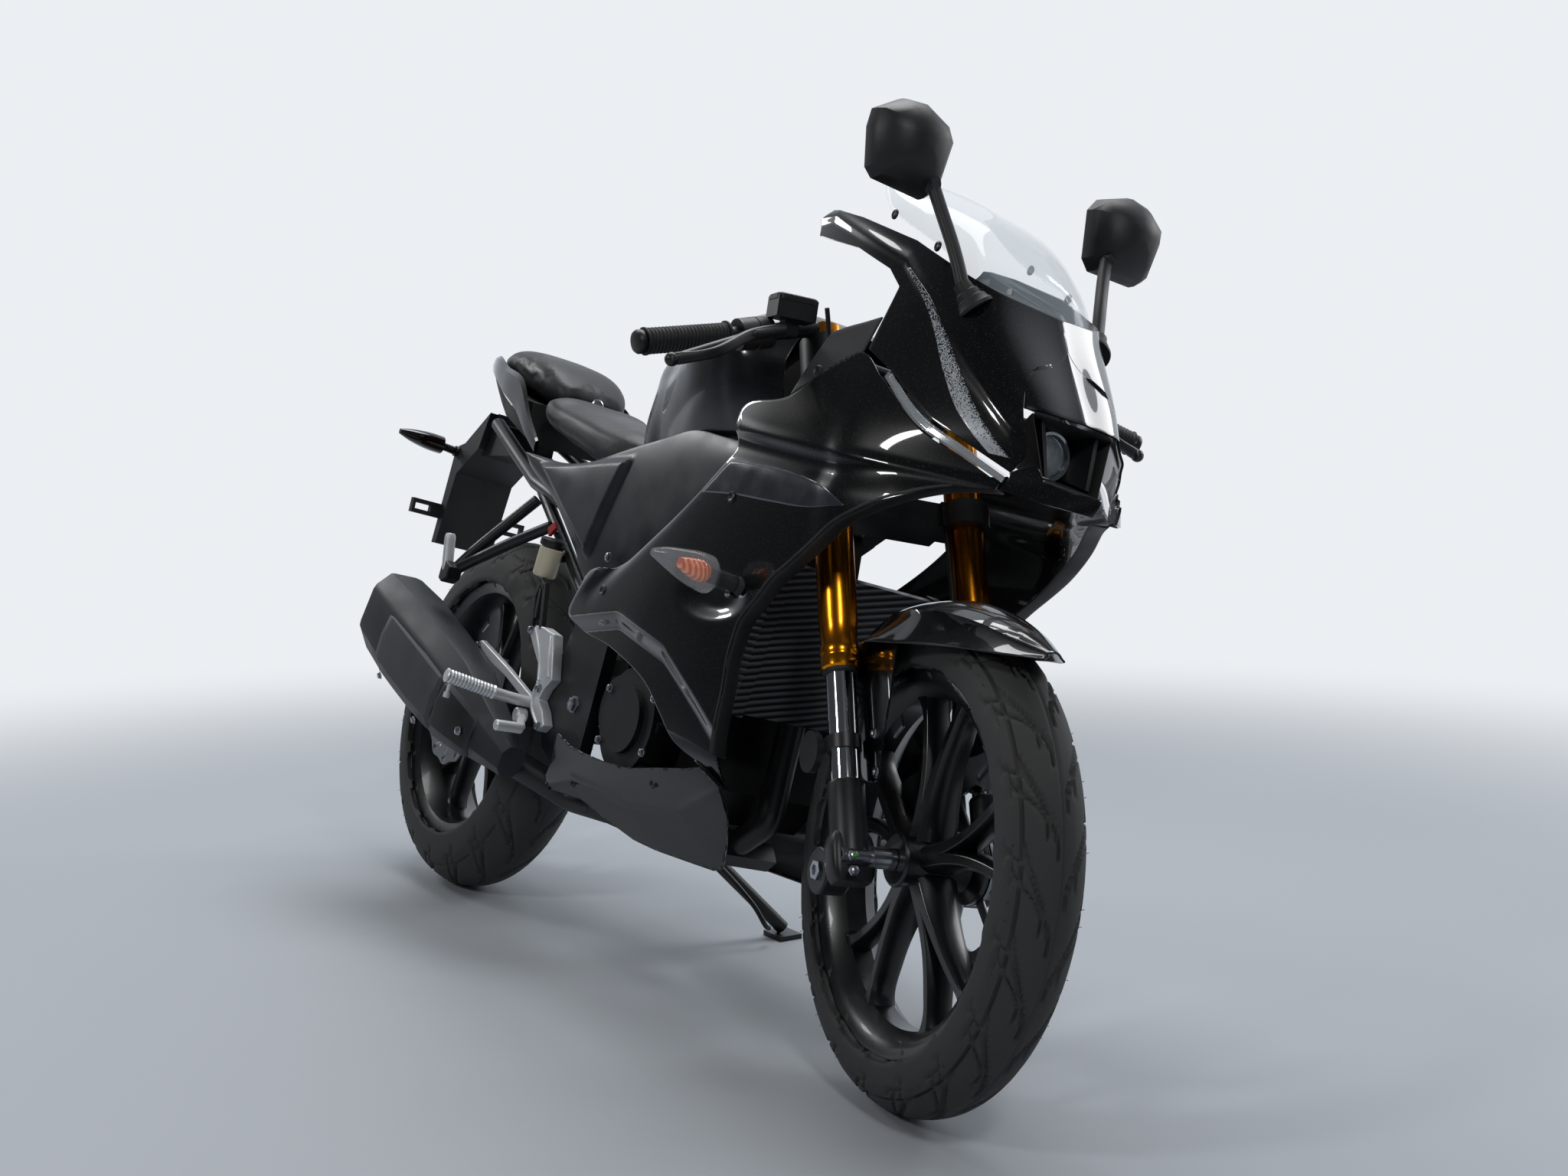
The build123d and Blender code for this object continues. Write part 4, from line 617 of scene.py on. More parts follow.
# Powder coat baked on welded steel tube.
FRAME_STEEL = Finish("black_powder_coated_frame", "#0e0f11", "#17181b", 0.38, grain=2.2)
# Pressed and cured rubber: dull, almost without gloss.
RUBBER = Finish("moulded_rubber", "#0f1011", "#18191b", 0.6, grain=1.2, grain_depth=0.2)
# Softer rubber with a rough skin, for the grips.
GRIP_RUBBER = Finish("grip_rubber", "#141516", "#1d1e20", 0.65, grain=1.0, grain_depth=0.4)
# Cured tyre rubber, with painted shade in its grooves.
TREAD = TreadRubber("tyre_rubber", "#1c1d1f", "#232527", 0.6, grain=1.2, mottle=120.0)
# Vinyl over foam: fine leather grain, dull sheen.
SEAT_VINYL = Finish("grained_black_seat_vinyl", "#1b1c1e", "#222326", 0.48, grain=2.2,
                    grain_depth=0.3, mottle=140.0)
# Blown polycarbonate with a hard coat: clear, slightly blue at its edges.
SCREEN_CLEAR = Clear("clear_polycarbonate", "#c9dbe6", "#c9dbe6", 0.03, ior=1.58, density=0.14)
# Injection moulded acrylic: clear and glossy.
LENS_CLEAR = Clear("clear_acrylic_lens", "#e8eef2", "#e8eef2", 0.05, ior=1.49, density=0.16)
# Dyed acrylic with moulded prisms: painted highlight on the prism crests and painted shade between them, in
# two ambers.
FLASHER_CORE = Ribbed("amber_flasher_core", "#c4470c", "#ff8a3c", 0.2, coat=0.3, pitch=5.0, axis=1,
                      depth=0.6)
# Polished projector lens.
LAMP_GLASS = Clear("clear_lamp_glass", "#aab4bc", "#aab4bc", 0.02, density=0.35)
# Dyed dark red acrylic, glossy.
SMOKE = Finish("smoked_acrylic", "#0d0606", "#180a0a", 0.1, coat=0.5, grain_depth=0.0)
# Moulded corner cube reflex acrylic: broken orange sparkle.
ORANGE_REFLEX = Finish("amber_reflex_acrylic", "#b53a08", "#8f2c06", 0.22, coat=0.6, grain=4.0,
                       grain_depth=0.8, mottle=14.0)
# Plastic silvered in a vacuum.
SILVER = Finish("vacuum_silvered_bowl", "#d9dde0", "#c0c5ca", 0.12, 1.0, grain_depth=0.0)
# Float glass silvered at its back.
MIRROR_GLASS = Finish("silvered_mirror_glass", "#dfe5ea", "#d5dce2", 0.03, 1.0, grain_depth=0.0)
# Blown bottle plastic without dye: milky.
NATURAL_PLASTIC = Finish("natural_polypropylene", "#c9c2ac", "#bdb59c", 0.45, grain=2.0)
# Dyed clip plastic.
RED_PLASTIC = Finish("red_polypropylene", "#b31310", "#8e0f0d", 0.4)
# Folded aluminium fins between painted tubes: the fins' own grey on their crests, and painted shade, near
# black, in the gaps between them.
CORE_FINS = Ribbed("radiator_fins", "#0b0c0d", "#5b5f63", 0.45, 0.4, pitch=9.0, axis=2, depth=0.6)
# Rolled steel under a film of oil.
CHAIN_STEEL = Finish("oiled_chain_steel", "#3a3a38", "#54534e", 0.35, 0.9, grain=2.0, grain_depth=0.3)
# Glass over a dark display.
SCREEN_GLASS = Finish("display_glass", "#07090b", "#0c1014", 0.08, coat=0.8, grain_depth=0.0)
# Silver flake screened over the black base coat.
STRIPE = StripePaint("silver_flake_print", "#08090a", "#b9bdc2", 0.24, 0.2, coat=0.8, grain=1.1)
# Cast film, stuck on the paint and clear coated.
GREY_BAND = Finish("grey_film_band", "#26292f", "#2c3037", 0.25, coat=0.6, grain=1.2,
                   grain_depth=0.0, mottle=30.0)
# The inspector's paint pen.
GREEN_MARK = Finish("green_check_paint", "#4fae3c", "#3c8f2e", 0.4, grain_depth=0.0)


# Making pieces

def break_edges(made: bpy.types.Object, width: float, degrees: float) -> Any:
    """Bevels the edges that turn by more than an angle, and gives back the modifier."""
    edge = made.modifiers.new("edges", "BEVEL")
    edge.width = width * MM
    edge.segments = 2
    edge.limit_method = "ANGLE"
    edge.angle_limit = radians(degrees)
    return edge


def subdivide(made: bpy.types.Object, rounds: int) -> None:
    """Smooths a piece by rounds of subdivision."""
    soft = made.modifiers.new("rounds", "SUBSURF")
    soft.levels = soft.render_levels = rounds


@dataclass
class Workshop:
    """Puts pieces into the scene and keeps their tally."""

    frame: dict[str, Any]
    made: list[str] = field(default_factory=list)

    def piece(self, name: str, patches: Patch | Iterable[Patch], finish: Finish,
              replaces: Sequence[str] = (), body: Body = Body.CHASSIS, wall: float = 0.0,
              bevel: float = 0.0, sharp: float = 35.0, marks: dict[str, Array] | None = None,
              weld: bool = True) -> bpy.types.Object:
        """Adds one piece to a body.

        Args:
            name: Name of the piece.
            patches: Its mesh, in the bike frame, in millimetres.
            finish: What it is made of.
            replaces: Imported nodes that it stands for.
            body: Body that carries it.
            wall: Thickness given to a sheet, towards the inside.
            bevel: Width of its broken edges.
            sharp: Angle over which an edge shades sharp.
            marks: Point values by name, for its finish.
            weld: Whether points that coincide are joined.

        Returns:
            The object.
        """
        parts = [patches] if isinstance(patches, Patch) else list(patches)
        points, faces, base = [], [], 0
        for part in parts:
            points.append(part.points)
            faces.extend((part.quads + base).tolist())
            faces.extend([[i + base for i in cap] for cap in part.caps])
            base += len(part.points)
        matrix = STANCE.matrix(body)
        placed = (np.concatenate(points) @ matrix[:3, :3].T + matrix[:3, 3]) * MM
        mesh = bpy.data.meshes.new(name)
        mesh.from_pydata(placed, [], faces)
        for mark, values in (marks or {}).items():
            layer = mesh.attributes.new(mark, "FLOAT", "POINT")
            layer.data.foreach_set("value", np.asarray(values, np.float32))
        self.tidy(mesh, weld)
        mesh.polygons.foreach_set("use_smooth", np.ones(len(mesh.polygons), bool))
        mesh.set_sharp_from_angle(angle=radians(sharp))
        mesh.materials.append(finish.material())
        made = bpy.data.objects.new(name, mesh)
        bpy.context.scene.collection.objects.link(made)
        if wall:
            solid = made.modifiers.new("wall", "SOLIDIFY")
            solid.thickness = wall * MM
            solid.offset = -1.0
        if bevel:
            break_edges(made, bevel, 40)
        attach(made, body.value)
        if replaces:
            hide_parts(*replaces)
        self.made.append(name)
        LOG.info("%-28s %6d faces  %s", name, len(mesh.polygons), finish.name)
        return made

    def pair(self, name: str, patches: Patch | Iterable[Patch], finish: Finish,
             replaces: Sequence[str] = (), body: Body = Body.CHASSIS, **options: Any) -> None:
        """Adds pieces of the rider's right side with their mirror images, as one piece."""
        right = [patches] if isinstance(patches, Patch) else list(patches)
        self.piece(name, both(right), finish, replaces, body, **options)

    def tidy(self, mesh: bpy.types.Mesh, weld: bool) -> None:
        """Joins double points and turns the faces outwards."""
        work = bmesh.new()
        work.from_mesh(mesh)
        if weld:
            bmesh.ops.remove_doubles(work, verts=work.verts, dist=2e-6)
        bmesh.ops.recalc_face_normals(work, faces=work.faces)
        work.to_mesh(mesh)
        work.free()

    def dress(self, finishes: dict[str, Finish]) -> None:
        """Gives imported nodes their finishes."""
        for name, finish in finishes.items():
            mesh = self.frame["nodes"][name].data
            mesh.materials.clear()
            mesh.materials.append(finish.material())
            LOG.info("%-28s %s", name, finish.name)


# Studio

@dataclass
class Studio:
    """Pale floor, soft lamps and the camera at the photograph's place.

    Lamp places are in metres, and their powers in watts.
    """

    floor_colour: str = "#a9aeb4"
    back_colour: str = "#f1f4f8"
    floor_fade: tuple[float, float] = (1.3, 4.2)
    sky_colour: str = "#dfe6ee"
    sky: float = 0.95
    back: float = 0.95
    dim_sky: float = 0.07
    bright_side: Point = (-0.55, 0.80, 0.24)
    eye: Point = (2.41615, -1.42262, 0.80433)
    turn: Point = (-4.8150, -0.2710, 57.7595)
    lens: float = 41.94
    sensor: float = 36.0
    lamps: tuple[tuple[str, Point, Point, tuple[float, float], float], ...] = (
        # name, place, aim, size, power
        ("overhead_softbox", (-0.7, 0.6, 3.6), (0.0, -0.2, 0.5), (2.6, 1.4), 80.0),
        ("front_lamp", (3.6, -1.0, 3.2), (0.4, -0.2, 0.6), (0.5, 0.5), 34.0),
        ("right_lamp", (0.4, -3.8, 2.9), (0.0, -0.2, 0.5), (0.6, 0.6), 34.0),
        ("left_softbox", (0.8, 3.6, 2.2), (0.0, 0.0, 0.6), (1.6, 1.2), 30.0),
        ("rear_lamp", (-3.6, -1.4, 2.6), (-0.3, -0.2, 0.6), (0.7, 0.7), 26.0),
    )

    def build(self) -> None:
        """Adds the floor, the lamps, the background and the camera."""
        scene = bpy.context.scene
        scene.view_settings.view_transform = "Standard"
        self.add_floor()
        self.add_world(scene)
        for name, place, aim, size, power in self.lamps:
            light = bpy.data.lights.new(name, "AREA")
            light.shape = "RECTANGLE"
            light.size, light.size_y = size
            light.energy = power
            lamp = bpy.data.objects.new(name, light)
            lamp.location = place
            lamp.rotation_euler = (Vector(aim) - Vector(place)).to_track_quat("-Z", "Y").to_euler()
            scene.collection.objects.link(lamp)
        self.add_camera(scene)

    def add_floor(self) -> None:
        """Adds a wide pale floor."""
        corners = np.array([(-40, -40, 0), (40, -40, 0), (40, 40, 0), (-40, 40, 0)], float)
        mesh = bpy.data.meshes.new("floor")
        mesh.from_pydata(corners, [], [(0, 1, 2, 3)])
        made = bpy.data.materials.new("pale_studio_floor")
        made.use_nodes = True
        tree = made.node_tree
        tree.nodes.clear()
        matte = node(tree, "ShaderNodeBsdfPrincipled", {
            "Base Color": linear(self.floor_colour), "Roughness": 0.6})
        glow = node(tree, "ShaderNodeEmission", {"Color": linear(self.back_colour),
                                                 "Strength": self.back})
        place = node(tree, "ShaderNodeTexCoord").outputs["Object"]
        away = node(tree, "ShaderNodeVectorMath", {0: place}, operation="LENGTH").outputs["Value"]
        far = ranged(tree, away, self.floor_fade, interpolation_type="SMOOTHERSTEP")
        path = node(tree, "ShaderNodeLightPath").outputs
        behind = node(tree, "ShaderNodeVectorMath", {0: place, 1: self.bright_side},
                      operation="DOT_PRODUCT").outputs["Value"]
        bright = ranged(tree, behind, (0.0, 2.5))
        gloss = maths(tree, "MULTIPLY", path["Is Glossy Ray"], bright)
        seen = maths(tree, "MAXIMUM", path["Is Camera Ray"], gloss)
        seen = maths(tree, "MAXIMUM", seen, path["Is Transmission Ray"])
        blend = maths(tree, "MULTIPLY", far, seen)
        mix = node(tree, "ShaderNodeMixShader", {0: blend, 1: matte.outputs[0], 2: glow.outputs[0]})
        node(tree, "ShaderNodeOutputMaterial", {"Surface": mix.outputs[0]})
        mesh.materials.append(made)
        floor = bpy.data.objects.new("floor", mesh)
        bpy.context.scene.collection.objects.link(floor)

    def add_world(self, scene: bpy.types.Scene) -> None:
        """Lights the object evenly, and shows a near white background to rays that see it."""
        world = bpy.data.worlds.new("studio")
        scene.world = world
        world.use_nodes = True
        tree = world.node_tree
        tree.nodes.clear()
        path = node(tree, "ShaderNodeLightPath").outputs
        seen = maths(tree, "MAXIMUM", path["Is Camera Ray"], path["Is Transmission Ray"])
        way = node(tree, "ShaderNodeTexCoord").outputs["Generated"]
        ahead = node(tree, "ShaderNodeVectorMath", {0: way, 1: self.bright_side},
                     operation="DOT_PRODUCT").outputs["Value"]
        level = ranged(tree, ahead, (0.12, 0.8), (self.dim_sky, self.sky))
        soft = node(tree, "ShaderNodeBackground", {"Strength": level,
                                                   "Color": linear(self.sky_colour)})
        back = node(tree, "ShaderNodeBackground", {"Color": linear(self.back_colour),
                                                   "Strength": self.back})
        mix = node(tree, "ShaderNodeMixShader", {0: seen, 1: soft.outputs[0], 2: back.outputs[0]})
        node(tree, "ShaderNodeOutputWorld", {"Surface": mix.outputs[0]})

    def add_camera(self, scene: bpy.types.Scene) -> None:
        """Adds the camera, whose lens is worked out for a frame of 2048 by 1536."""
        data = bpy.data.cameras.new("camera")
        data.lens, data.sensor_width, data.sensor_fit = self.lens, self.sensor, "HORIZONTAL"
        data.clip_start, data.clip_end = 0.05, 200.0
        camera = bpy.data.objects.new("camera", data)
        pitch, roll, yaw = (radians(v) for v in self.turn)
        camera.matrix_world = (Matrix.Translation(Vector(self.eye)) @ Matrix.Rotation(yaw, 4, "Z")
                               @ Matrix.Rotation(pi / 2 + pitch, 4, "X")
                               @ Matrix.Rotation(roll, 4, "Z"))
        scene.collection.objects.link(camera)
        scene.camera = camera


# Wheels

@dataclass
class RoadWheel:
    """Cast wheel with its treaded tyre and brake disc."""

    name: str
    body: Body
    hub_x: float
    crown_r: float
    tyre_w: float
    rim_half: float
    disc_y: float
    disc_r: float
    disc_inner_r: float
    disc_finish: Finish
    seat_r: float = 218.0
    flange_r: float = 231.0
    spoke_pairs: int = 5
    groove_depth: float = 4.0
    pattern_turns: int = 18
    around: int = 900
    across: int = 76

    def build(self, shop: Workshop) -> None:
        """Adds the tyre, the rim, the disc and their small parts."""
        tyre, groove = self.tyre()
        # The groove depths also drive the painted shade in the grooves' colour.
        shop.piece(f"{self.name}_tyre_tread", tyre, TREAD, (f"{self.name}_tyre",), self.body,
                   marks={"groove": groove.reshape(-1)}, sharp=50, weld=False)
        shop.piece(f"{self.name}_tyre_hairs", self.hairs(), RUBBER, body=self.body)
        shop.piece(f"{self.name}_cast_wheel", self.rim(), WHEEL_BLACK, (f"{self.name}_rim",), self.body,
                   bevel=1.4)
        shop.piece(f"{self.name}_brake_disc", self.disc(), self.disc_finish, (f"{self.name}_disc",),
                   self.body, sharp=30)
        shop.piece(f"{self.name}_valve", self.valve(), RUBBER, body=self.body)
        shop.piece(f"{self.name}_balance_weight", self.weight(), ZINC, body=self.body, bevel=0.6)

    def around_axle(self, r: Any, angle: Any, y: Any) -> Array:
        """Point at a radius and an angle from the axle, aside by y."""
        r, angle, y = np.broadcast_arrays(*(np.asarray(v, float) for v in (r, angle, y)))
        return np.stack([self.hub_x + r * np.cos(angle), y, self.crown_r + r * np.sin(angle)], -1)

    def tyre(self) -> tuple[Patch, Array]:
        """Tyre with grooves cut into its crown, and how deep they are at each point.

        The section is a round crown that runs into flatter walls and a bead. Each point sinks
        against the section's own normal by the groove depth times the mask there.
        """
        half, crown, seat = self.tyre_w / 2, self.crown_r, self.seat_r
        bead_y = self.rim_half - 5.2
        wall = [(0, crown), (half * 0.34, crown - half * 0.062), (half * 0.62, crown - half * 0.22),
                (half * 0.84, crown - half * 0.46), (half * 0.955, crown - half * 0.70),
                (half, crown - half * 0.95), (half * 0.985, crown - half * 1.22),
                (bead_y + 2, seat + 14), (bead_y, seat + 4), (bead_y - 3, seat + 0.4)]
        side = line_through(wall, self.across // 2 + 1)
        section = np.vstack([side[::-1] * (-1, 1), side[1:]])
        angle = np.linspace(0, tau, self.around, endpoint=False)[:, None]
        y, r = section[:, 0][None], section[:, 1][None]
        depth = self.groove_mask(angle, y + 0 * angle)
        sink = depth * self.groove_depth
        slope = np.gradient(section, axis=0)
        out = unit(np.stack([-slope[:, 1], slope[:, 0]], -1))
        out *= np.sign(out[:, 1:2] + 1e-9)
        y2, r2 = y - sink * out[None, :, 0], r - sink * np.abs(out[None, :, 1])
        grid = self.around_axle(r2, angle, y2)
        inner = self.around_axle(seat, angle, np.linspace(1, -1, 5)[None] * (bead_y - 4))
        grid = np.concatenate([grid, inner], axis=1)
        groove = np.concatenate([depth, np.zeros((self.around, 5))], axis=1)
        return sheet_of(grid, wrap_rows=True, wrap_columns=True), groove

    def groove_mask(self, angle: Array, y: Array) -> Array:
        """How deep the grooves are at each point, from 0 to 1.

        A long groove on each side follows angle = k step + reach (asin(2 t - 1) / pi + 1 / 2), where
        t goes from 0 near the middle to 1 at the shoulder, and a short sipe lies between two of
        them. The depth falls to nothing over 1 mm at an edge.
        """
        half, r = self.tyre_w / 2, self.crown_r
        step = tau / self.pattern_turns
        mask = np.clip((1.5 - np.abs(y) + 0 * angle) / 0.8, 0, 1) * 0.5
        tables = (
            # first and last share of the half width, reach in steps, shift in steps, half width, depth
            (0.10, 0.80, 1.25, 0, 2.7, 1), (0.36, 0.92, 0.55, 0.35, 1.9, 0.9),
            (0.62, 0.97, 0.30, 0.80, 1.5, 0.8),
        )
        for sign in (1, -1):
            share = sign * y / half
            for first, last, reach, shift, wide, deep in tables:
                t = np.clip((share - first) / (last - first), 0.002, 0.998)
                bend = np.arcsin(2 * t - 1) / pi + 0.5
                rate = reach * step * r / (pi * np.sqrt(t * (1 - t)) * (last - first) * half)
                place = angle - (shift + (0.5 if sign < 0 else 0.0)) * step - reach * step * bend
                away = np.abs((place + step / 2) % step - step / 2) * r / np.sqrt(1 + rate * rate)
                inside = np.clip((share - first) * half / 1.5 + 1, 0, 1) * np.clip(
                    (last - share) * half / 1.5 + 1, 0, 1)
                mask = np.maximum(mask, deep * np.clip((wide - away) / 1.0, 0, 1) * inside)
        return mask

    def hairs(self) -> list[Patch]:
        """Moulding whiskers on the shoulders."""
        made = []
        half = self.tyre_w / 2
        shoulder_r, shoulder_y = self.crown_r - half * 0.57, half * 0.90
        for k in range(36):
            angle = tau * (k + 0.3 * (k % 3)) / 36
            for sign in (1, -1):
                root = self.around_axle(shoulder_r - 1, angle, sign * shoulder_y)
                tip = self.around_axle(shoulder_r + 1.5, angle + 0.004, sign * (shoulder_y + 3.2))
                made.append(tube([root, tip], 0.35, 5))
        return made

    def rim(self) -> list[Patch]:
        """Rim, hub and pairs of flat faced spokes."""
        centre = (self.hub_x, 0, self.crown_r)
        side = (self.hub_x, 1, self.crown_r)
        h, f, s = self.rim_half, self.flange_r, self.seat_r
        half = [(h, f), (h - 1.5, f + 1.2), (h - 5, f - 1), (h - 5.4, s + 4), (h - 9, s), (h - 20, s - 3),
                (h * 0.30, s - 14), (0, s - 15)]
        outer = half + [(-y, r) for y, r in half[-2::-1]]
        inner = [(-h, f - 4), (-h + 2, s + 2), (-h + 8, s - 8), (-h * 0.34, s - 21), (h * 0.34, s - 21),
                 (h - 8, s - 8), (h - 2, s + 2), (h, f - 4)]
        ring = np.array([(y, r) for y, r in outer + inner])
        angle = np.linspace(0, tau, 160, endpoint=False)[:, None]
        band = sheet_of(self.around_axle(ring[None, :, 1], angle, ring[None, :, 0]),
                        wrap_rows=True, wrap_columns=True)
        hub = spun(((-48, 14.2), (-48, 30), (-45, 33), (-30, 30), (30, 30), (45, 33), (48, 30),
                    (48, 14.2)), centre, side, 64)
        boss = 1 if self.disc_y > 0 else -1
        carrier = spun(((boss * 40, 30), (boss * 50, 46), (self.disc_y - boss * 4, 46),
                        (self.disc_y - boss * 4, 15)), centre, side, 64)
        made = [band, hub, carrier]
        for k in range(self.spoke_pairs):
            for lean in (-1, 1):
                made.append(self.spoke(tau * k / self.spoke_pairs + 0.31, lean))
        return made

    def spoke(self, angle: float, lean: int) -> Patch:
        """One arm of a forked pair, from the hub out to the rim.

        The section is a bevelled rectangle: wide flat faces outwards and a slimmer waist.
        """
        table = (
            # radius, angle from the pair's middle, half width, half depth
            (27, 6, 15, 27), (60, 5, 12, 24), (100, 6.5, 10, 20),
            (150, 10, 9.5, 17.5), (190, 13, 11, 17), (206, 14.5, 17, 19),
        )
        radius = np.linspace(27, 206, 28)
        read = through([row[0] for row in table], [row[1:] for row in table], radius)
        middle = angle + lean * np.radians(read[:, 0])
        wide, deep = read[:, 1], read[:, 2]
        outline = np.array([(1, 0.55), (0.55, 1), (-0.55, 1), (-1, 0.55), (-1, -0.55), (-0.55, -1),
                            (0.55, -1), (1, -0.55)])
        spine = self.around_axle(radius, middle, 0)
        aside = np.cross(unit(np.gradient(spine, axis=0)), (0, 1, 0))
        grid = (spine[:, None] + aside[:, None] * (wide[:, None] * outline[None, :, 0])[..., None]
                + np.array((0, 1.0, 0)) * (deep[:, None] * outline[None, :, 1])[..., None])
        return closed(grid)

    def disc(self) -> list[Patch]:
        """Ventilated disc with oval slots between its lobes, on buttons and a carrier."""
        lobes, t, y = 12, 4.5, self.disc_y
        angle = np.linspace(0, tau, 360, endpoint=False)[:, None]
        outer, inner = self.disc_r, self.disc_inner_r
        lobe = outer - 2.6 + 2.6 * np.cos(lobes * angle)
        hollow = inner + 2.0 - 2.0 * np.cos(lobes * angle)
        made = []
        slots = np.linspace(0, 1, 13)
        radius = hollow + (lobe - hollow) * slots[None]
        phase = (lobes * angle + 5.0 * slots[None]) % tau
        slot = (np.abs(phase - pi) < 0.42) & (slots[None] > 0.2) & (slots[None] < 0.8)
        for side in (-1, 1):
            sink = np.where(slot, 1.7, 0.0)
            made.append(sheet_of(self.around_axle(radius, angle, y + side * (t / 2 - sink)),
                                 wrap_rows=True))
        for edge in (lobe, hollow):
            made.append(sheet_of(self.around_axle(edge, angle, y + np.array([[-t / 2, t / 2]])),
                                 wrap_rows=True))
        centre, side_point = (self.hub_x, 0, self.crown_r), (self.hub_x, 1, self.crown_r)
        for k in range(6):
            a = tau * k / 6
            root = self.around_axle(38.0, a, y)
            tip = self.around_axle(inner + 3.0, a + 0.22, y)
            profile = rounded_box(14, t - 0.6, 1.0)
            made.append(carried(profile, line_through([root, (root + tip) / 2, tip], 9), (0, 1, 0)))
            sign = 1 if y > 0 else -1
            button = self.around_axle(inner + 3.0, a + 0.22, y + sign * (t / 2 - 0.2))
            made.append(spun(((0, 7.0), (1.6, 6.6), (2.0, 3.0), (1.0, 2.6)), button,
                             button + np.array([0, sign, 0]), 20))
        made.append(spun(((y - t / 2, 35.2), (y - t / 2, 46), (y + t / 2, 46), (y + t / 2, 35.2)), centre,
                         side_point, 64))
        return made

    def valve(self) -> Patch:
        """Tyre valve with its cap."""
        low = self.around_axle(self.seat_r - 20, 0.0, 0)
        high = self.around_axle(self.seat_r - 52, 0.0, 0)
        return spun(((0, 6.0), (4, 5.2), (12, 3.6), (18, 3.2), (18.2, 4.4), (31, 4.2), (32, 3)), low,
                    high, 20)

    def weight(self) -> Patch:
        """Row of stuck-on balance weights inside the rim."""
        angle = np.linspace(2.2, 2.34, 9)
        spine = self.around_axle(self.seat_r - 23.0, angle, -4)
        return carried(rounded_box(14, 3.2, 0.8), spine, (0, 1, 0))


# Front end

@dataclass
class FrontFork:
    """Inverted fork with its sleeves, clamps and reflectors."""

    half: float = 98.0
    ahead: float = 30.0
    outer_r: float = 25.0
    inner_r: float = 18.5
    outer_low: float = 545.0
    axle_u: float = 305.5
    sleeve_top: float = 405.0

    def build(self, shop: Workshop) -> None:
        """Adds the pieces of the fork."""
        shop.pair("gold_outer_tubes", self.outer_tube(), GOLD, ("fork_outer_tubes",), Body.STEERING)
        shop.pair("wiper_rings", self.wiper(), RUBBER, body=Body.STEERING)
        shop.pair("chrome_sliders", self.slider(), CHROME, ("fork_inner_tubes",), Body.STEERING)
        shop.pair("axle_clamps", self.sleeve(), BRACKET_BLACK, ("fork_bottoms",), Body.STEERING,
                  bevel=1.2)
        shop.pair("pinch_bolts", self.pinch_bolts(), ZINC, body=Body.STEERING)
        shop.pair("check_dots", self.dots(), GREEN_MARK, body=Body.STEERING)
        shop.pair("fork_caps", self.caps(), GOLD, body=Body.STEERING)
        shop.piece("reflector_lenses", self.reflectors(), ORANGE_REFLEX, body=Body.STEERING)
        shop.piece("front_brake_hose", self.hose(), RUBBER, body=Body.STEERING)

    def leg(self, u: float, side: int = -1) -> Array:
        """Point of a leg's own axis at a height."""
        return STANCE.fork(self.ahead, side * self.half, u)

    def outer_tube(self) -> Patch:
        """Outer tube with two turned rings near its foot."""
        profile = ((0, 19.2), (0.2, 23), (3, 25.6), (14, 25.6), (16, 24.2), (19, 24.2), (21, 25.4),
                   (30, 25.4), (33, 23.6), (60, 23.6), (66, 24.9), (230, self.outer_r),
                   (484, self.outer_r), (497, 24.0), (497, 10))
        return spun([(d, min(r, self.outer_r)) for d, r in profile], self.leg(self.outer_low),
                    self.leg(self.outer_low + 500), 72)

    def wiper(self) -> Patch:
        """Rubber dust wiper under the outer tube."""
        return spun(((0, 18.8), (0, 20), (2, 22.4), (5, 22.4), (7, 20)),
                    self.leg(self.outer_low - 5), self.leg(self.outer_low), 48)

    def slider(self) -> Patch:
        """Chromed inner tube."""
        return spun(((0, self.inner_r), (180, self.inner_r)), self.leg(self.axle_u + 61),
                    self.leg(self.outer_low), 72)

    def sleeve(self) -> list[Patch]:
        """Cast sleeve with the clamp round the axle."""
        top = self.leg(self.sleeve_top)
        body = spun(((0, 20), (4, 23), (104, 23), (108, 21.4), (109, 18.7)),
                    self.leg(self.axle_u - 12), top, 48)
        profile = rounded_box(56, 34, 8)
        low, high = self.leg(self.axle_u - 30), self.leg(self.axle_u + 34)
        lines = line_through([low, (low + high) / 2, high], 9)
        swell = np.array([0.80, 0.93, 0.98, 1.0, 1.0, 1.0, 0.98, 0.90, 0.72])
        clamp = carried(profile[:, ::-1], lines, (0, 1, 0), swell)
        ring = spun(((-2, 14), (-2, 27), (0, 29), (30, 29), (34, 26), (34, 14)),
                    STANCE.fork(-21.4, -115, self.axle_u), STANCE.fork(-21.4, -80, self.axle_u), 48)
        return [body, clamp, ring]

    def pinch_bolts(self) -> list[Patch]:
        """Two bright bolts across the axle clamp, and one on the sleeve."""
        made = []
        for u in (-22.0, -4.0):
            seat = STANCE.fork(58, -108, self.axle_u + u)
            made.append(hex_bolt(seat, STANCE.fork(59, -108, self.axle_u + u) - seat, 5.2, 6))
        axle = STANCE.fork(-21.4, -117, self.axle_u)
        made.append(spun(((0, 13), (3, 13), (4, 12), (4, 7), (1, 6.6)), axle, axle + (0, -1, 0), 6))
        return made

    def dots(self) -> list[Patch]:
        """Paint dots of the inspector on the bolts."""
        seat = STANCE.fork(64.2, -108, self.axle_u - 4)
        ahead = STANCE.fork(1, 0, 0) - STANCE.fork(0, 0, 0)
        return [spun(((0, 3.0), (0.8, 2.4)), seat, seat + ahead, 12)]

    def caps(self) -> list[Patch]:
        """Threaded caps of the tubes with their hexagons."""
        seat, up = self.leg(1042.2), self.leg(1043.2) - self.leg(1042.2)
        return [spun(((0, 19), (2, 19), (3, 12), (9, 12), (10, 10.8)), seat, seat + up, 6)]

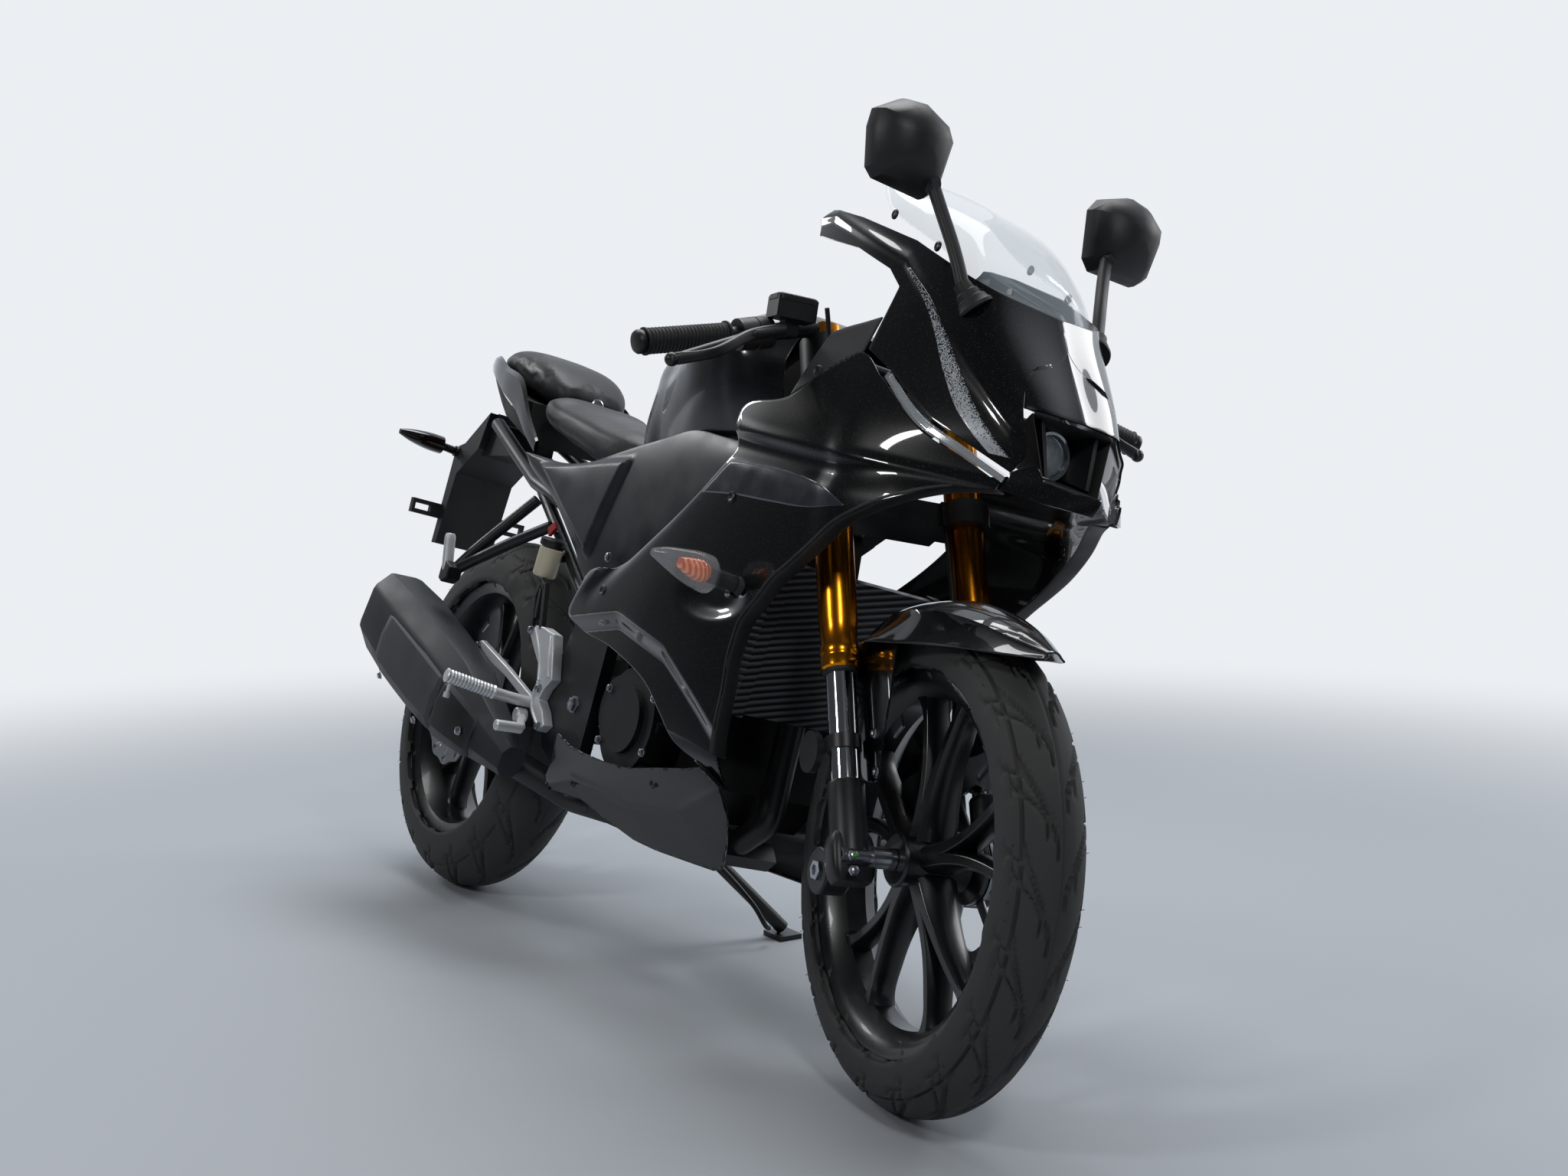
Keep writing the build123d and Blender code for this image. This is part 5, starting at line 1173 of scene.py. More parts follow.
    def reflectors(self) -> list[Patch]:
        """Round reflectors with a domed face."""
        made = []
        for side in (-1, 1):
            seat = STANCE.fork(-7, side * 118.5, 450)
            made.append(spun(((0, 17), (3, 17), (4.4, 15.8), (5.2, 9), (5.4, 2)), seat,
                             seat + (0, side * 1.0, 0), 40))
        return made

    def hose(self) -> list[Patch]:
        """Brake hose from the caliper up the left leg to the lower clamp, held at both ends."""
        points = [STANCE.fork(a, y, u) for a, y, u in (
            (-38, 84, 392), (-24, 72, 440), (14, 67, 500), (34, 67, 600), (36, 67, 700), (34, 66, 774))]
        return [tube(points, 3.2, 12, 60)]


@dataclass
class FrontFender:
    """Arched fender with a crease along each shoulder and a flap to each leg."""

    rows: tuple[tuple[float, ...], ...] = (
        # x, roof z, crease half width, crease z, edge half width, edge z
        (1128, 540, 44, 530, 68, 484), (1190, 577, 52, 564, 70, 516),
        (1222, 592, 55, 577, 76, 531), (1250, 602, 58, 586, 97, 544),
        (1310, 612, 56, 594, 84, 551), (1370, 612, 48, 594, 70, 554),
        (1430, 602, 38, 587, 58, 556), (1490, 585, 26, 574, 42, 556),
        (1540, 566, 8, 562, 14, 557),
    )

    def build(self, shop: Workshop) -> None:
        """Adds the shell, its flaps and bolts."""
        shop.piece("front_fender_shell", [self.roof(), *both([self.side()])], GLOSS_BLACK,
                   ("front_fender",), Body.STEERING, wall=2.6, bevel=0.6, sharp=24)
        shop.pair("front_fender_flaps", self.flap(), GLOSS_BLACK, body=Body.STEERING, bevel=0.6)
        shop.pair("front_fender_bolts", self.bolts(), ZINC, body=Body.STEERING)

    def lines(self, count: int = 90) -> Array:
        """Smooth lines along the fender for each column of the table."""
        t = np.array(self.rows)
        x = np.linspace(t[0, 0], t[-1, 0], count)
        return np.column_stack([x, through(t[:, 0], t[:, 1:], x)])

    def roof(self) -> Patch:
        """Crowned top between the creases."""
        x, roof, crease, crease_z = self.lines()[:, :4].T
        s = np.linspace(-1, 1, 21)[None]
        y = s * crease[:, None]
        z = crease_z[:, None] + (roof - crease_z)[:, None] * (1 - np.abs(s) ** 2.2)
        return sheet_of(grid_of(x[:, None], y, z))

    def side(self) -> Patch:
        """Wall below the crease, hollowed slightly on its way out."""
        x, _, crease, crease_z, edge, edge_z = self.lines().T
        s = np.linspace(0, 1, 12)[None]
        y = -(crease[:, None] + (edge - crease)[:, None] * (s ** 1.25))
        z = crease_z[:, None] + (edge_z - crease_z)[:, None] * s
        return sheet_of(grid_of(x[:, None], y, z))

    def flap(self) -> Patch:
        """Flap that reaches down the fork leg."""
        outline = ((1152, 503), (1190, 533), (1245, 560), (1292, 566), (1300, 520), (1298, 440),
                   (1296, 384), (1262, 382), (1240, 430), (1222, 470), (1190, 488))
        return plate(outline, -73, -70, 120)

    def bolts(self) -> list[Patch]:
        """Two fasteners through each flap."""
        return [hex_bolt(STANCE.fork(62, -73.2, u), (0, -1, 0), 5.0, 4.0) for u in (407, 456)]


# Bodywork

@dataclass
class Fairing:
    """Side and lower cowls, nose, inner panels and running lamps."""

    stations: tuple[float, ...] = (540.0, 700.0, 850.0, 980.0, 1080.0, 1170.0, 1250.0)
    levels: tuple[Any, ...] = (
        # height, half widths at the stations, corner x, corner half width, front x
        (200, (92, 90, 88, 80, 68, 48, 30), 1290, 20, 1300),
        (245, (135, 132, 128, 122, 108, 84, 60), 1300, 40, 1310),
        (310, (160, 168, 170, 169, 165, 150, 120), 1320, 80, 1340),
        (470, (188, 195, 197, 192, 180, 168, 150), 1350, 110, 1380),
        (640, (192, 199, 205, 204, 198, 188, 174), 1395, 105, 1450),
        (715, (184, 194, 204, 206, 202, 193, 180), 1432, 80, 1500),
        (745, (178, 190, 202, 206, 202, 192, 176), 1440, 60, 1512),
        (800, (168, 182, 196, 203, 200, 190, 168), 1415, 76, 1452),
        (860, (150, 165, 185, 196, 192, 178, 152), 1384, 82, 1408),
        (985, (110, 130, 150, 160, 158, 142, 118), 1306, 86, 1330),
        (1130, (70, 90, 110, 124, 116, 100, 80), 1262, 66, 1270),
    )
    cowl_pairs: tuple[tuple[float, ...], ...] = (
        # arch side x, z, outer side x, z
        (1086, 321, 1042, 341), (1066, 360, 951, 366), (1060, 400, 908, 396), (1056, 440, 854, 431),
        (1054, 465, 735, 468), (1056, 490, 617, 490), (1062, 512, 593, 507), (1068, 530, 615, 540),
        (1079, 545, 637, 567), (1100, 566, 727, 582), (1116, 584, 842, 640), (1132, 598, 945, 711),
        (1147, 608, 984, 750), (1165, 622, 978, 806), (1195, 645, 1082, 826), (1225, 667, 1182, 888),
        (1250, 682, 1226, 856), (1300, 709, 1302, 795), (1363, 733, 1363, 765), (1399, 737, 1399, 745),
    )

    plan: Array = field(init=False)
    heights: Array = field(init=False)
    knots: Array = field(init=False)

    def __post_init__(self) -> None:
        """Keeps the table as arrays: for each level, the plan points from rear to front."""
        rows = [[(x, half) for x, half in zip(self.stations, row[1])] + [(row[2], row[3]), (row[4], 0)]
                for row in self.levels]
        self.plan = np.array(rows, float)
        self.heights = np.array([row[0] for row in self.levels], float)
        self.knots = np.linspace(0, 1, self.plan.shape[1])

    def weights(self, u: Array) -> Array:
        """Share of each plan point at places along the plan line."""
        return through(self.knots, np.eye(len(self.knots)), u)

    def surface(self, u: Any, z: Any, out: Any = 0.0) -> Array:
        """Points of the right side, from the place along the plan line and the height.

        The plan line at a height is the smooth line through the table's points there, each of
        which is a smooth function of the height.
        """
        u, z, out = np.broadcast_arrays(*(np.asarray(v, float) for v in (u, z, out)))
        flat_u, flat_z = u.reshape(-1), z.reshape(-1)
        rows = through(self.heights, self.plan, flat_z)
        at, ahead, back = (np.einsum("nk,nkc->nc", self.weights(flat_u + step), rows)
                           for step in (0.0, 0.004, -0.004))
        run = unit(ahead - back)
        at = at + out.reshape(-1, 1) * np.stack([-run[:, 1], run[:, 0]], -1)
        return np.column_stack([at[:, 0], -at[:, 1], flat_z]).reshape(*u.shape, 3)

    def along(self, x: Any, z: Any) -> Array:
        """Place along the plan line of a point seen from the side."""
        x, z = np.broadcast_arrays(np.asarray(x, float), np.asarray(z, float))
        tries = np.linspace(0, 1, 241)
        rows = through(self.heights, self.plan[:, :, 0], z.reshape(-1))
        reach = rows @ self.weights(tries).T
        reach = np.maximum.accumulate(reach, axis=1)
        under = (reach < x.reshape(-1, 1)).sum(axis=1).clip(1, len(tries) - 1)
        row = np.arange(len(reach))
        low, high = reach[row, under - 1], reach[row, under]
        share = np.clip((x.reshape(-1) - low) / np.maximum(high - low, 1e-6), 0, 1)
        return (tries[under - 1] + share * tries[1]).reshape(x.shape)

    def panel(self, lower: Any, upper: Any, rows: int, columns: int,
              relief: Callable[[Array, Array], Array] | float = 0.0, smooth: bool = True) -> Patch:
        """Panel between two lines seen from the side.

        Args:
            lower: Points of one edge, in X and Z.
            upper: As many points of the other edge.
            rows: Points across the panel.
            columns: Points along it.
            relief: Step outwards, or the function that gives it at a place seen from the side.
            smooth: Whether the edges are smoothed through their points.

        Returns:
            The panel.
        """
        low, high = np.asarray(lower, float), np.asarray(upper, float)
        gap = np.linalg.norm(np.diff(low, axis=0), axis=1) + np.linalg.norm(np.diff(high, axis=0), axis=1)
        place = np.concatenate([[0], np.cumsum(gap)])
        at = np.linspace(0, place[-1], columns)
        if smooth:
            low, high = through(place, low, at), through(place, high, at)
        else:
            low = np.column_stack([np.interp(at, place, low[:, i]) for i in (0, 1)])
            high = np.column_stack([np.interp(at, place, high[:, i]) for i in (0, 1)])
        a, b = self.along(low[:, 0], low[:, 1]), self.along(high[:, 0], high[:, 1])
        s = np.linspace(0, 1, rows)[:, None]
        u = a[None] + (b - a)[None] * s
        z = low[None, :, 1] + (high - low)[None, :, 1] * s
        flat = self.surface(u, z)
        step = relief(flat[..., 0], flat[..., 2]) if callable(relief) else relief
        return sheet_of(self.surface(u, z, step))

    def shoulder(self, x: Array, z: Array) -> Array:
        """Relief of the side cowl, in millimetres outwards.

        A crease rises from the rear corner to the running lamp: the surface falls away below it
        as a hollow channel, whose lower lip comes back over 40 mm. The arch gets a flat lip.
        """
        crease = np.interp(x, (593, 700, 860, 978, 1100, 1226, 1400), (522, 592, 694, 784, 768, 752, 741))
        below = crease - z
        groove = -7.0 * np.exp(-((below - 22) / 17.0) ** 2) * np.clip((x - 640) / 120, 0, 1)
        groove *= np.clip((1290 - x) / 90, 0, 1)
        ridge = 2.6 * np.exp(-(below / 7.0) ** 2) * np.clip((x - 600) / 60, 0, 1)
        low_crease = np.interp(x, (593, 760, 900, 1000, 1060), (500, 520, 486, 430, 395))
        under = np.clip((low_crease - z) / 26.0, 0, 1)
        fold = -9.0 * under * under * (3 - 2 * under)
        pocket = -12.0 * np.exp(-(((x - 1000) / 62) ** 2 + ((z - 560) / 26) ** 2) ** 2)
        return groove + ridge + fold + pocket

    def build(self, shop: Workshop) -> None:
        """Adds the panels and their fittings."""
        pairs = np.array(self.cowl_pairs, float)
        cowl = self.panel(pairs[:, :2], pairs[:, 2:], 56, 200, self.shoulder)
        shop.pair("side_cowl_skins", cowl, GLOSS_BLACK, ("side_cowls",), wall=3.0, bevel=1.0, sharp=28)
        shop.pair("arch_lips", self.lip(), MOULDED, wall=2.5, bevel=0.6)
        shop.pair("grey_bands", self.band(), GREY_BAND, wall=0.5)
        self.add_lower(shop)
        self.add_nose(shop)
        self.add_bolts(shop)

    def lip(self) -> Patch:
        """Matte lip that follows the wheel arch and turns in behind it."""
        edge = np.array([row[:2] for row in self.cowl_pairs], float)[1:]
        place = chord(edge)
        line = through(place, edge, np.linspace(0, place[-1], 150))
        u = self.along(line[:, 0], line[:, 1])
        depth = np.array([0.6, 0.2, -2, -7, -14, -22])[:, None]
        inward = np.array([8, 3, -1, -3, -4, -4.5])[:, None]
        z = line[None, :, 1] + 0.35 * inward
        return sheet_of(self.surface(np.clip(u[None] - 0.0006 * inward, 0, 1), z, depth))

    def band(self) -> Patch:
        """Plain grey film that tapers forwards along the side cowl."""
        lower = ((932, 694), (1010, 693), (1100, 687), (1175, 684), (1238, 690))
        upper = ((990, 739), (1060, 736), (1140, 726), (1200, 710), (1240, 691))
        return self.panel(lower, upper, 12, 60, lambda x, z: self.shoulder(x, z) + 0.7)

    def add_lower(self, shop: Workshop) -> None:
        """Adds the lower cowls, whose upper edge dips round the clutch cover."""
        lower = ((517, 238), (560, 238.5), (600, 239), (635, 239), (700, 221), (758, 206), (819, 203),
                 (900, 204), (972, 205), (1000, 212), (1036, 244), (1074, 286), (1085, 321.5))
        upper = ((517.5, 239), (545, 262), (563, 276), (598, 327), (646, 313), (700, 309), (753, 307),
                 (841, 310), (919, 322), (1000, 333), (1042, 340.7), (1065, 331), (1085.4, 322))
        fold = self.panel(lower, upper, 28, 140, self.keel_fold, smooth=False)
        shop.pair("lower_cowl_skins", fold, LOWER_BLACK, ("lower_cowls",), wall=3.0, bevel=1.0,
                  sharp=28)

    def keel_fold(self, x: Array, z: Array) -> Array:
        """Relief of the lower cowl: a crease along its middle."""
        crease = np.interp(x, (517, 640, 800, 960, 1085), (240, 268, 262, 274, 320))
        return 2.5 * np.exp(-((z - crease) / 6.0) ** 2) - 3.0 * np.clip((crease - z) / 30, 0, 1)

    def add_nose(self, shop: Workshop) -> None:
        """Adds the nose in three stretches, with the silver stripe down each side."""
        lower = ((985, 1104), (962, 1092), (975, 1066), (1080, 1040), (1158, 1006), (1188, 980),
                 (1189, 930), (1190, 892), (1232, 868), (1270, 839), (1308, 811), (1350, 790),
                 (1406, 760))
        upper = ((1000, 1102), (1030, 1094), (1060, 1086), (1120, 1066), (1180, 1046), (1250, 1012),
                 (1316, 980), (1345, 968), (1362, 930), (1376, 900), (1388, 870), (1400, 838), (1420, 790))
        nose = self.panel(lower, upper, 40, 170, self.horn, smooth=False)
        shop.piece("nose_skins", [*both([nose]), self.bridge(), *both([self.chin()])], GLOSS_BLACK,
                   ("front_cowl",), wall=3.0, bevel=0.8, sharp=30)
        stripe, fade = self.stripe()
        shop.pair("nose_stripes", stripe, STRIPE, wall=0.3, marks={"fade": np.tile(fade, 2)},
                  weld=False)
        shop.pair("inner_panel_skins", self.inner(), MOULDED, ("inner_panels",), wall=3.0, bevel=0.8)
        strip = self.panel(((1230, 857), (1302, 796.5), (1350, 772), (1400, 747)),
                           ((1232, 865), (1306, 808), (1353, 783), (1402, 757)), 10, 80)
        shop.pair("running_lamp_lenses", strip, LENS_CLEAR, ("running_lamps",), wall=2.4, bevel=0.5)
        glow = self.panel(((1232, 858), (1302, 798), (1350, 773.5), (1398, 748)),
                          ((1234, 863), (1306, 806), (1353, 781), (1400, 755)), 6, 60, -5)
        shop.pair("running_lamp_guides", glow, SILVER, wall=1.0)

    def horn(self, x: Array, z: Array) -> Array:
        """Relief of the nose: a soft crease from the lamp up to the mirror's boot."""
        crease = np.interp(x, (1000, 1180, 1288, 1400), (1095, 1018, 920, 812))
        return 1.6 + 3.0 * np.exp(-((z - crease) / 9.0) ** 2)

    def bridge(self) -> Patch:
        """Front of the nose, between the two sides, from the lamp's hood up to the screen."""
        z = np.linspace(839, 957, 26)[:, None]
        table = ((839, 1400), (870, 1388), (900, 1376), (930, 1362), (957, 1349))
        x_side = np.interp(z, [r[0] for r in table], [r[1] for r in table])
        u_side = self.along(x_side, z)
        s = np.linspace(-1, 1, 41)[None]
        u = 1 - (1 - u_side) * np.abs(s)
        right = self.surface(u, z + 0 * s, 1.6)
        right[..., 1] *= np.where(s > 0, -1, 1)
        return sheet_of(right)

    def chin(self) -> Patch:
        """Point of the nose beside and under the lamp."""
        lower = ((1402, 738), (1425, 734), (1463, 728), (1490, 724))
        upper = ((1406, 760), (1428, 772), (1446, 752), (1496, 745))
        return self.panel(lower, upper, 14, 40, 1.6)

    def stripe(self) -> tuple[Patch, Array]:
        """Silver stripe from the screen down to the lamp, thin above and wide below."""
        rear = ((1188, 1005), (1232, 965), (1268, 920), (1300, 872), (1334, 826), (1382, 778))
        front = ((1193, 1006), (1241, 967), (1282, 923), (1319, 876), (1356, 829), (1404, 776))
        patch = self.panel(rear, front, 14, 90, lambda x, z: self.horn(x, z) + 0.5)
        z = patch.points[:, 2]
        across = np.repeat(np.linspace(0, 1, 14), 90)
        fade = np.clip(0.95 - (z - 780) / 330, 0, 1) * (0.35 + 0.65 * np.clip((1 - across) * 3, 0, 1))
        return patch, np.clip(fade, 0, 0.95)

    def inner(self) -> Patch:
        """Matte panel between the side cowl and the nose."""
        lower = ((1081.9, 826.2), (1115, 847), (1150, 868), (1181.9, 888.2))
        upper = ((1112, 915), (1135, 923), (1160, 930), (1184, 938))
        return self.panel(lower, upper, 12, 24)

    def add_bolts(self, shop: Workshop) -> None:
        """Adds the panel screws."""
        made = []
        for x, z in ((700, 545), (640, 262), (905, 300), (1010, 690), (1120, 860), (1045, 1070)):
            u = self.along(x, z)
            at = self.surface(u, z, self.shoulder(np.array(x), np.array(z)) if 390 < z < 830 else 0.0)
            out = self.surface(u, z, 1.0) - self.surface(u, z)
            made.append(spun(((0, 8), (1.4, 7.6), (2.4, 6), (1.6, 3), (0.8, 2.6)), at, at + out, 24))
        shop.pair("panel_screws", made, BRACKET_BLACK)


@dataclass
class Screen:
    """Clear bubble screen with its screws."""

    rows: tuple[tuple[float, ...], ...] = (
        # height, front x, side x, half width
        (955, 1336, 1310, 84), (1035, 1280, 1216, 108),
        (1100, 1210, 1090, 116), (1160, 1075, 1020, 92),
    )

    def build(self, shop: Workshop) -> None:
        """Adds the bubble and three screws on each side."""
        shop.piece("screen_bubble", self.bubble(), SCREEN_CLEAR, ("windscreen",), wall=2.6)
        made = []
        for x, y, z in ((1296, 91, 975), (1208, 109, 1040), (1108, 116, 1090)):
            made.append(spun(((0, 7), (1.5, 6.6), (3, 4.2), (2, 2)), (x, -y - 1, z), (x, -y - 2, z), 20))
        shop.pair("screen_screws", made, BRACKET_BLACK)

    def bubble(self) -> Patch:
        """Screen surface: each level is a bow through its front and side points."""
        table = np.array(self.rows)
        z = np.linspace(table[0, 0], table[-1, 0], 40)
        front, side, half = through(table[:, 0], table[:, 1:], z).T[:, :, None]
        s = np.linspace(-1, 1, 61)[None]
        x = side + (front - side) * (1 - np.abs(s) ** 2.4)
        y = half * np.sin(s * pi / 2) * (1 - 0.04 * np.abs(s))
        return sheet_of(grid_of(x, y, z[:, None]))


@dataclass
class LampUnit:
    """Projector lamp in its winged duct under the nose."""

    centre: Point = (1372.0, 0.0, 800.0)

    def build(self, shop: Workshop) -> None:
        """Adds the duct, its fins, the lens and the bezel."""
        shop.piece("lamp_duct_shell", self.duct(), DEEP_PLASTIC, ("headlamp",), wall=2.0, bevel=0.5)
        shop.pair("lamp_duct_fins", self.fin(), MOULDED, bevel=0.8)
        bezel = self.ring(((-26, 27), (-2, 30), (3, 29.5), (3, 26), (-6, 25)))
        shop.piece("lamp_bezel", bezel, SILVER)
        bowl = self.ring(((-22, 3), (-20, 14), (-12, 22), (-4, 25)))
        shop.piece("lamp_bowl", Patch(bowl.points, bowl.quads, []), SILVER, wall=0.8)
        a = np.linspace(0, pi / 2, 12)
        dome = [(-5 + 12 * np.sin(t), 25.4 * np.cos(t) + 0.2) for t in a]
        shop.piece("lamp_lens", self.ring(dome), LAMP_GLASS)

    def ring(self, profile: Any) -> Patch:
        """Surface of revolution about the lamp's axis, which points ahead."""
        x, y, z = self.centre
        return spun(profile, self.centre, (x + 1, y, z), 64)

    def duct(self) -> Patch:
        """Winged funnel: rounded rectangles that narrow inwards."""
        table = ((1402, 64, 836, 44, 758), (1392, 60, 833, 41, 763), (1372, 50, 829, 36, 770),
                 (1350, 39, 825, 30, 777), (1343, 32, 818, 26, 782), (1342, 2, 801, 2, 799))
        rows = []
        for x, top, z_top, low, z_low in table:
            lean = 20 * (x - 1342) / 60
            rows.append([(x, -top, z_top), (x, 0, z_top + 2), (x, top, z_top),
                         (x + lean / 2, (top + low) / 2, (z_top + z_low) / 2), (x + lean, low, z_low),
                         (x + lean, 0, z_low - 1), (x + lean, -low, z_low),
                         (x + lean / 2, -(top + low) / 2, (z_top + z_low) / 2)])
        return sheet_of(np.array(rows, float), wrap_columns=True)

    def fin(self) -> Patch:
        """Upright fin beside the lens."""
        return slab(((1400, -46, 832), (1414, -36, 766), (1360, -30, 780), (1352, -36, 824)), (0, 6, 0))


@dataclass
class Mirrors:
    """Pair of mirrors on short stalks."""

    centre: tuple[float, float] = (-182.0, 1142.0)
    rim: tuple[tuple[float, float], ...] = (
        (-60, 26), (-48, 44), (-6, 60), (24, 56), (58, 32), (60, 8), (50, -40), (38, -50),
        (-38, -52), (-52, -38),
    )

    def build(self, shop: Workshop) -> None:
        """Adds heads, glasses, stalks and boots."""
        shop.pair("mirror_heads", self.head(), MOULDED, ("mirrors",), bevel=1.0, sharp=30)
        shop.pair("mirror_glasses", self.glass(), MIRROR_GLASS)
        stalk = carried(rounded_box(17, 13, 5), line_through(
            [(1284, -110, 974), (1262, -122, 1024), (1236, -138, 1076), (1222, -148, 1106)], 24), (1, 0, 0))
        knuckle = spun(((-9, 6), (-7, 11), (7, 11), (9, 6)), (1222, -150, 1106), (1222, -149, 1106.5), 32)
        shop.pair("mirror_stalks", [stalk, knuckle], MOULDED, bevel=0.5)
        boot = spun(((-4, 24), (0, 24), (4, 21), (10, 19.5), (12, 16.5), (20, 15), (22, 12.5), (34, 11)),
                    (1294, -97, 960), (1283, -110, 978), 32)
        shop.pair("mirror_boots", boot, RUBBER)

    def head(self) -> Patch:
        """Faceted oval shell that closes towards the front."""
        rings = [self.ring(x, share, rise) for x, share, rise in (
            (1190, 0.94, 0), (1192, 1, 0), (1204, 0.99, 0), (1216, 0.92, 1), (1232, 0.70, 3),
            (1243, 0.42, 4), (1246, 0.14, 5))]
        return closed(np.array(rings))

    def ring(self, x: float, share: float, rise: float = 0.0) -> Array:
        """The head's outline at a place, scaled by a share and raised."""
        flat = np.array(self.rim) * share
        aside, height = self.centre
        return np.column_stack([np.full(len(flat), x), aside - flat[:, 0], height + rise + flat[:, 1]])

    def glass(self) -> Patch:
        """Glass set in the back of the head."""
        rings = [self.ring(x, 0.9) for x in (1189.6, 1190.4)]
        return closed(np.array(rings))


@dataclass
class Tank:
    """Tank cover with its filler ring and screws."""

    rows: tuple[tuple[float, ...], ...] = (
        # x, half width low, half width at the shoulder, low z, top z, half width at the top
        (478, 60, 66, 806, 912, 44), (500, 80, 83, 780, 932, 58),
        (600, 106, 118, 777, 956, 74), (680, 116, 146, 781, 972, 82),
        (740, 120, 161, 787, 981, 88), (810, 118, 162, 793, 986, 88),
        (868, 110, 150, 800, 984, 84), (905, 84, 108, 812, 968, 62),
    )
    filler_x: float = 760.0
    filler_r: float = 44.0

    def build(self, shop: Workshop) -> None:
        """Adds the cover and its small parts."""
        shop.piece("tank_cover_shell", self.cover(), SATIN_BLACK, ("tank_cover",), wall=3.0, bevel=0.6,
                   sharp=38)
        ring = spun(((-10, 46), (0, 47), (2.4, 45), (3.0, 42), (2.0, 39.6), (-8, 39.4)),
                    (self.filler_x, 0, 985), (self.filler_x, 0, 986), 72)
        shop.piece("filler_ring", ring, BRACKET_BLACK)
        bolts = []
        for a in np.linspace(0.5, tau + 0.5, 6, endpoint=False):
            x, y = self.filler_x + 43 * cos(a), 43 * sin(a)
            bolts.append(spun(((0, 3.6), (1.6, 3.4), (2.2, 2.2), (1, 1.4)), (x, y, 986.8),
                              (x, y, 987.8), 12))
        shop.piece("filler_ring_bolts", bolts, ZINC)

    def cover(self) -> Patch:
        """Cover surface, its sides folded out to a shoulder and back under.

        Each section is a run of smooth lines that meet at the shoulder and at the top's edge,
        so both stay as soft creases along the cover.
        """
        table = np.array(self.rows)
        x = np.concatenate([[478.0, 482, 488], np.linspace(496, 900, 66), [903, 905]])
        low, wide, z_low, z_top, top = through(table[:, 0], table[:, 1:], x).T
        shoulder = z_low + (z_top - z_low) * 0.6
        rows = []
        for at, a, b, c, base, mid, roof in zip(x, low, wide, top, z_low, shoulder, z_top):
            flank = ((a, base), ((a + b) / 2 + 5, (base + mid) / 2 - 4), (b, mid))
            upper = ((b, mid), ((b + c) / 2 + 8, (mid + roof) / 2 + 7), (c, roof))
            crown = ((c, roof), (c * 0.55, roof + 4), (0, roof + 5))
            half = run_of((flank, upper, crown), (10, 10, 8))
            line = np.vstack([half * (-1, 1), half[-2::-1]])
            rows.append(np.insert(line, 0, at, axis=1))
        shell = sheet_of(np.array(rows))
        middle = shell.points[shell.quads].mean(axis=1)
        inside = np.hypot(middle[:, 0] - self.filler_x, middle[:, 1]) < self.filler_r
        return Patch(shell.points, shell.quads[~(inside & (middle[:, 2] > 960))],
                     [list(range(len(rows[0])))])


@dataclass
class FrameCovers:
    """Matte covers between the tank and the side cowls."""

    pairs: tuple[tuple[float, ...], ...] = (
        # lower x, z, upper x, z
        (179, 762, 181, 765), (200, 742, 260, 755), (326, 683, 340, 747), (440, 610, 423, 748),
        (503, 567, 500, 761), (590, 569, 585, 776), (640, 590, 660, 788), (760, 640, 745, 800),
        (850, 685, 830, 790), (938, 731, 900, 780),
    )

    def build(self, shop: Workshop) -> None:
        """Adds the covers and their bolt."""
        shop.pair("frame_cover_skins", self.skin(), SATIN_PLASTIC, ("frame_covers",), wall=3.0,
                  bevel=0.8, sharp=30)
        bolt = hex_bolt((590, -146, 600), (0, -1, 0), 6.5, 5)
        shop.pair("frame_cover_bolts", bolt, ZINC)

    def skin(self) -> Patch:
        """Cover with a raised three sided field.

        The step down is 0 inside the field and full from 14 mm outside it, by the least of the
        distances to its three edges.
        """
        t = np.array(self.pairs, float)
        place = chord(t)
        line = through(place, t, np.linspace(0, place[-1], 130))
        s = np.linspace(0, 1, 50)[:, None]
        x = line[None, :, 0] + (line[:, 2] - line[:, 0])[None] * s
        z = line[None, :, 1] + (line[:, 3] - line[:, 1])[None] * s
        corners = np.array([(290, 735), (560, 745), (500, 610)], float)
        least = np.full(x.shape, 1e9)
        for a, b in zip(corners, np.roll(corners, -1, axis=0)):
            run = unit(b - a)
            least = np.minimum(least, (x - a[0]) * run[1] - (z - a[1]) * run[0])
        outside = np.clip(-least / 14.0, 0, 1)
        hollow = outside * outside * (3 - 2 * outside) * 9.0
        fold = np.interp(x, (179, 300, 520, 700, 938), (2, 4, 0, 2, 6))
        y = -(149.5 - fold - hollow - 5.0 * np.abs(2 * s - 1) ** 3)
        return sheet_of(np.stack([x, y, z], -1))


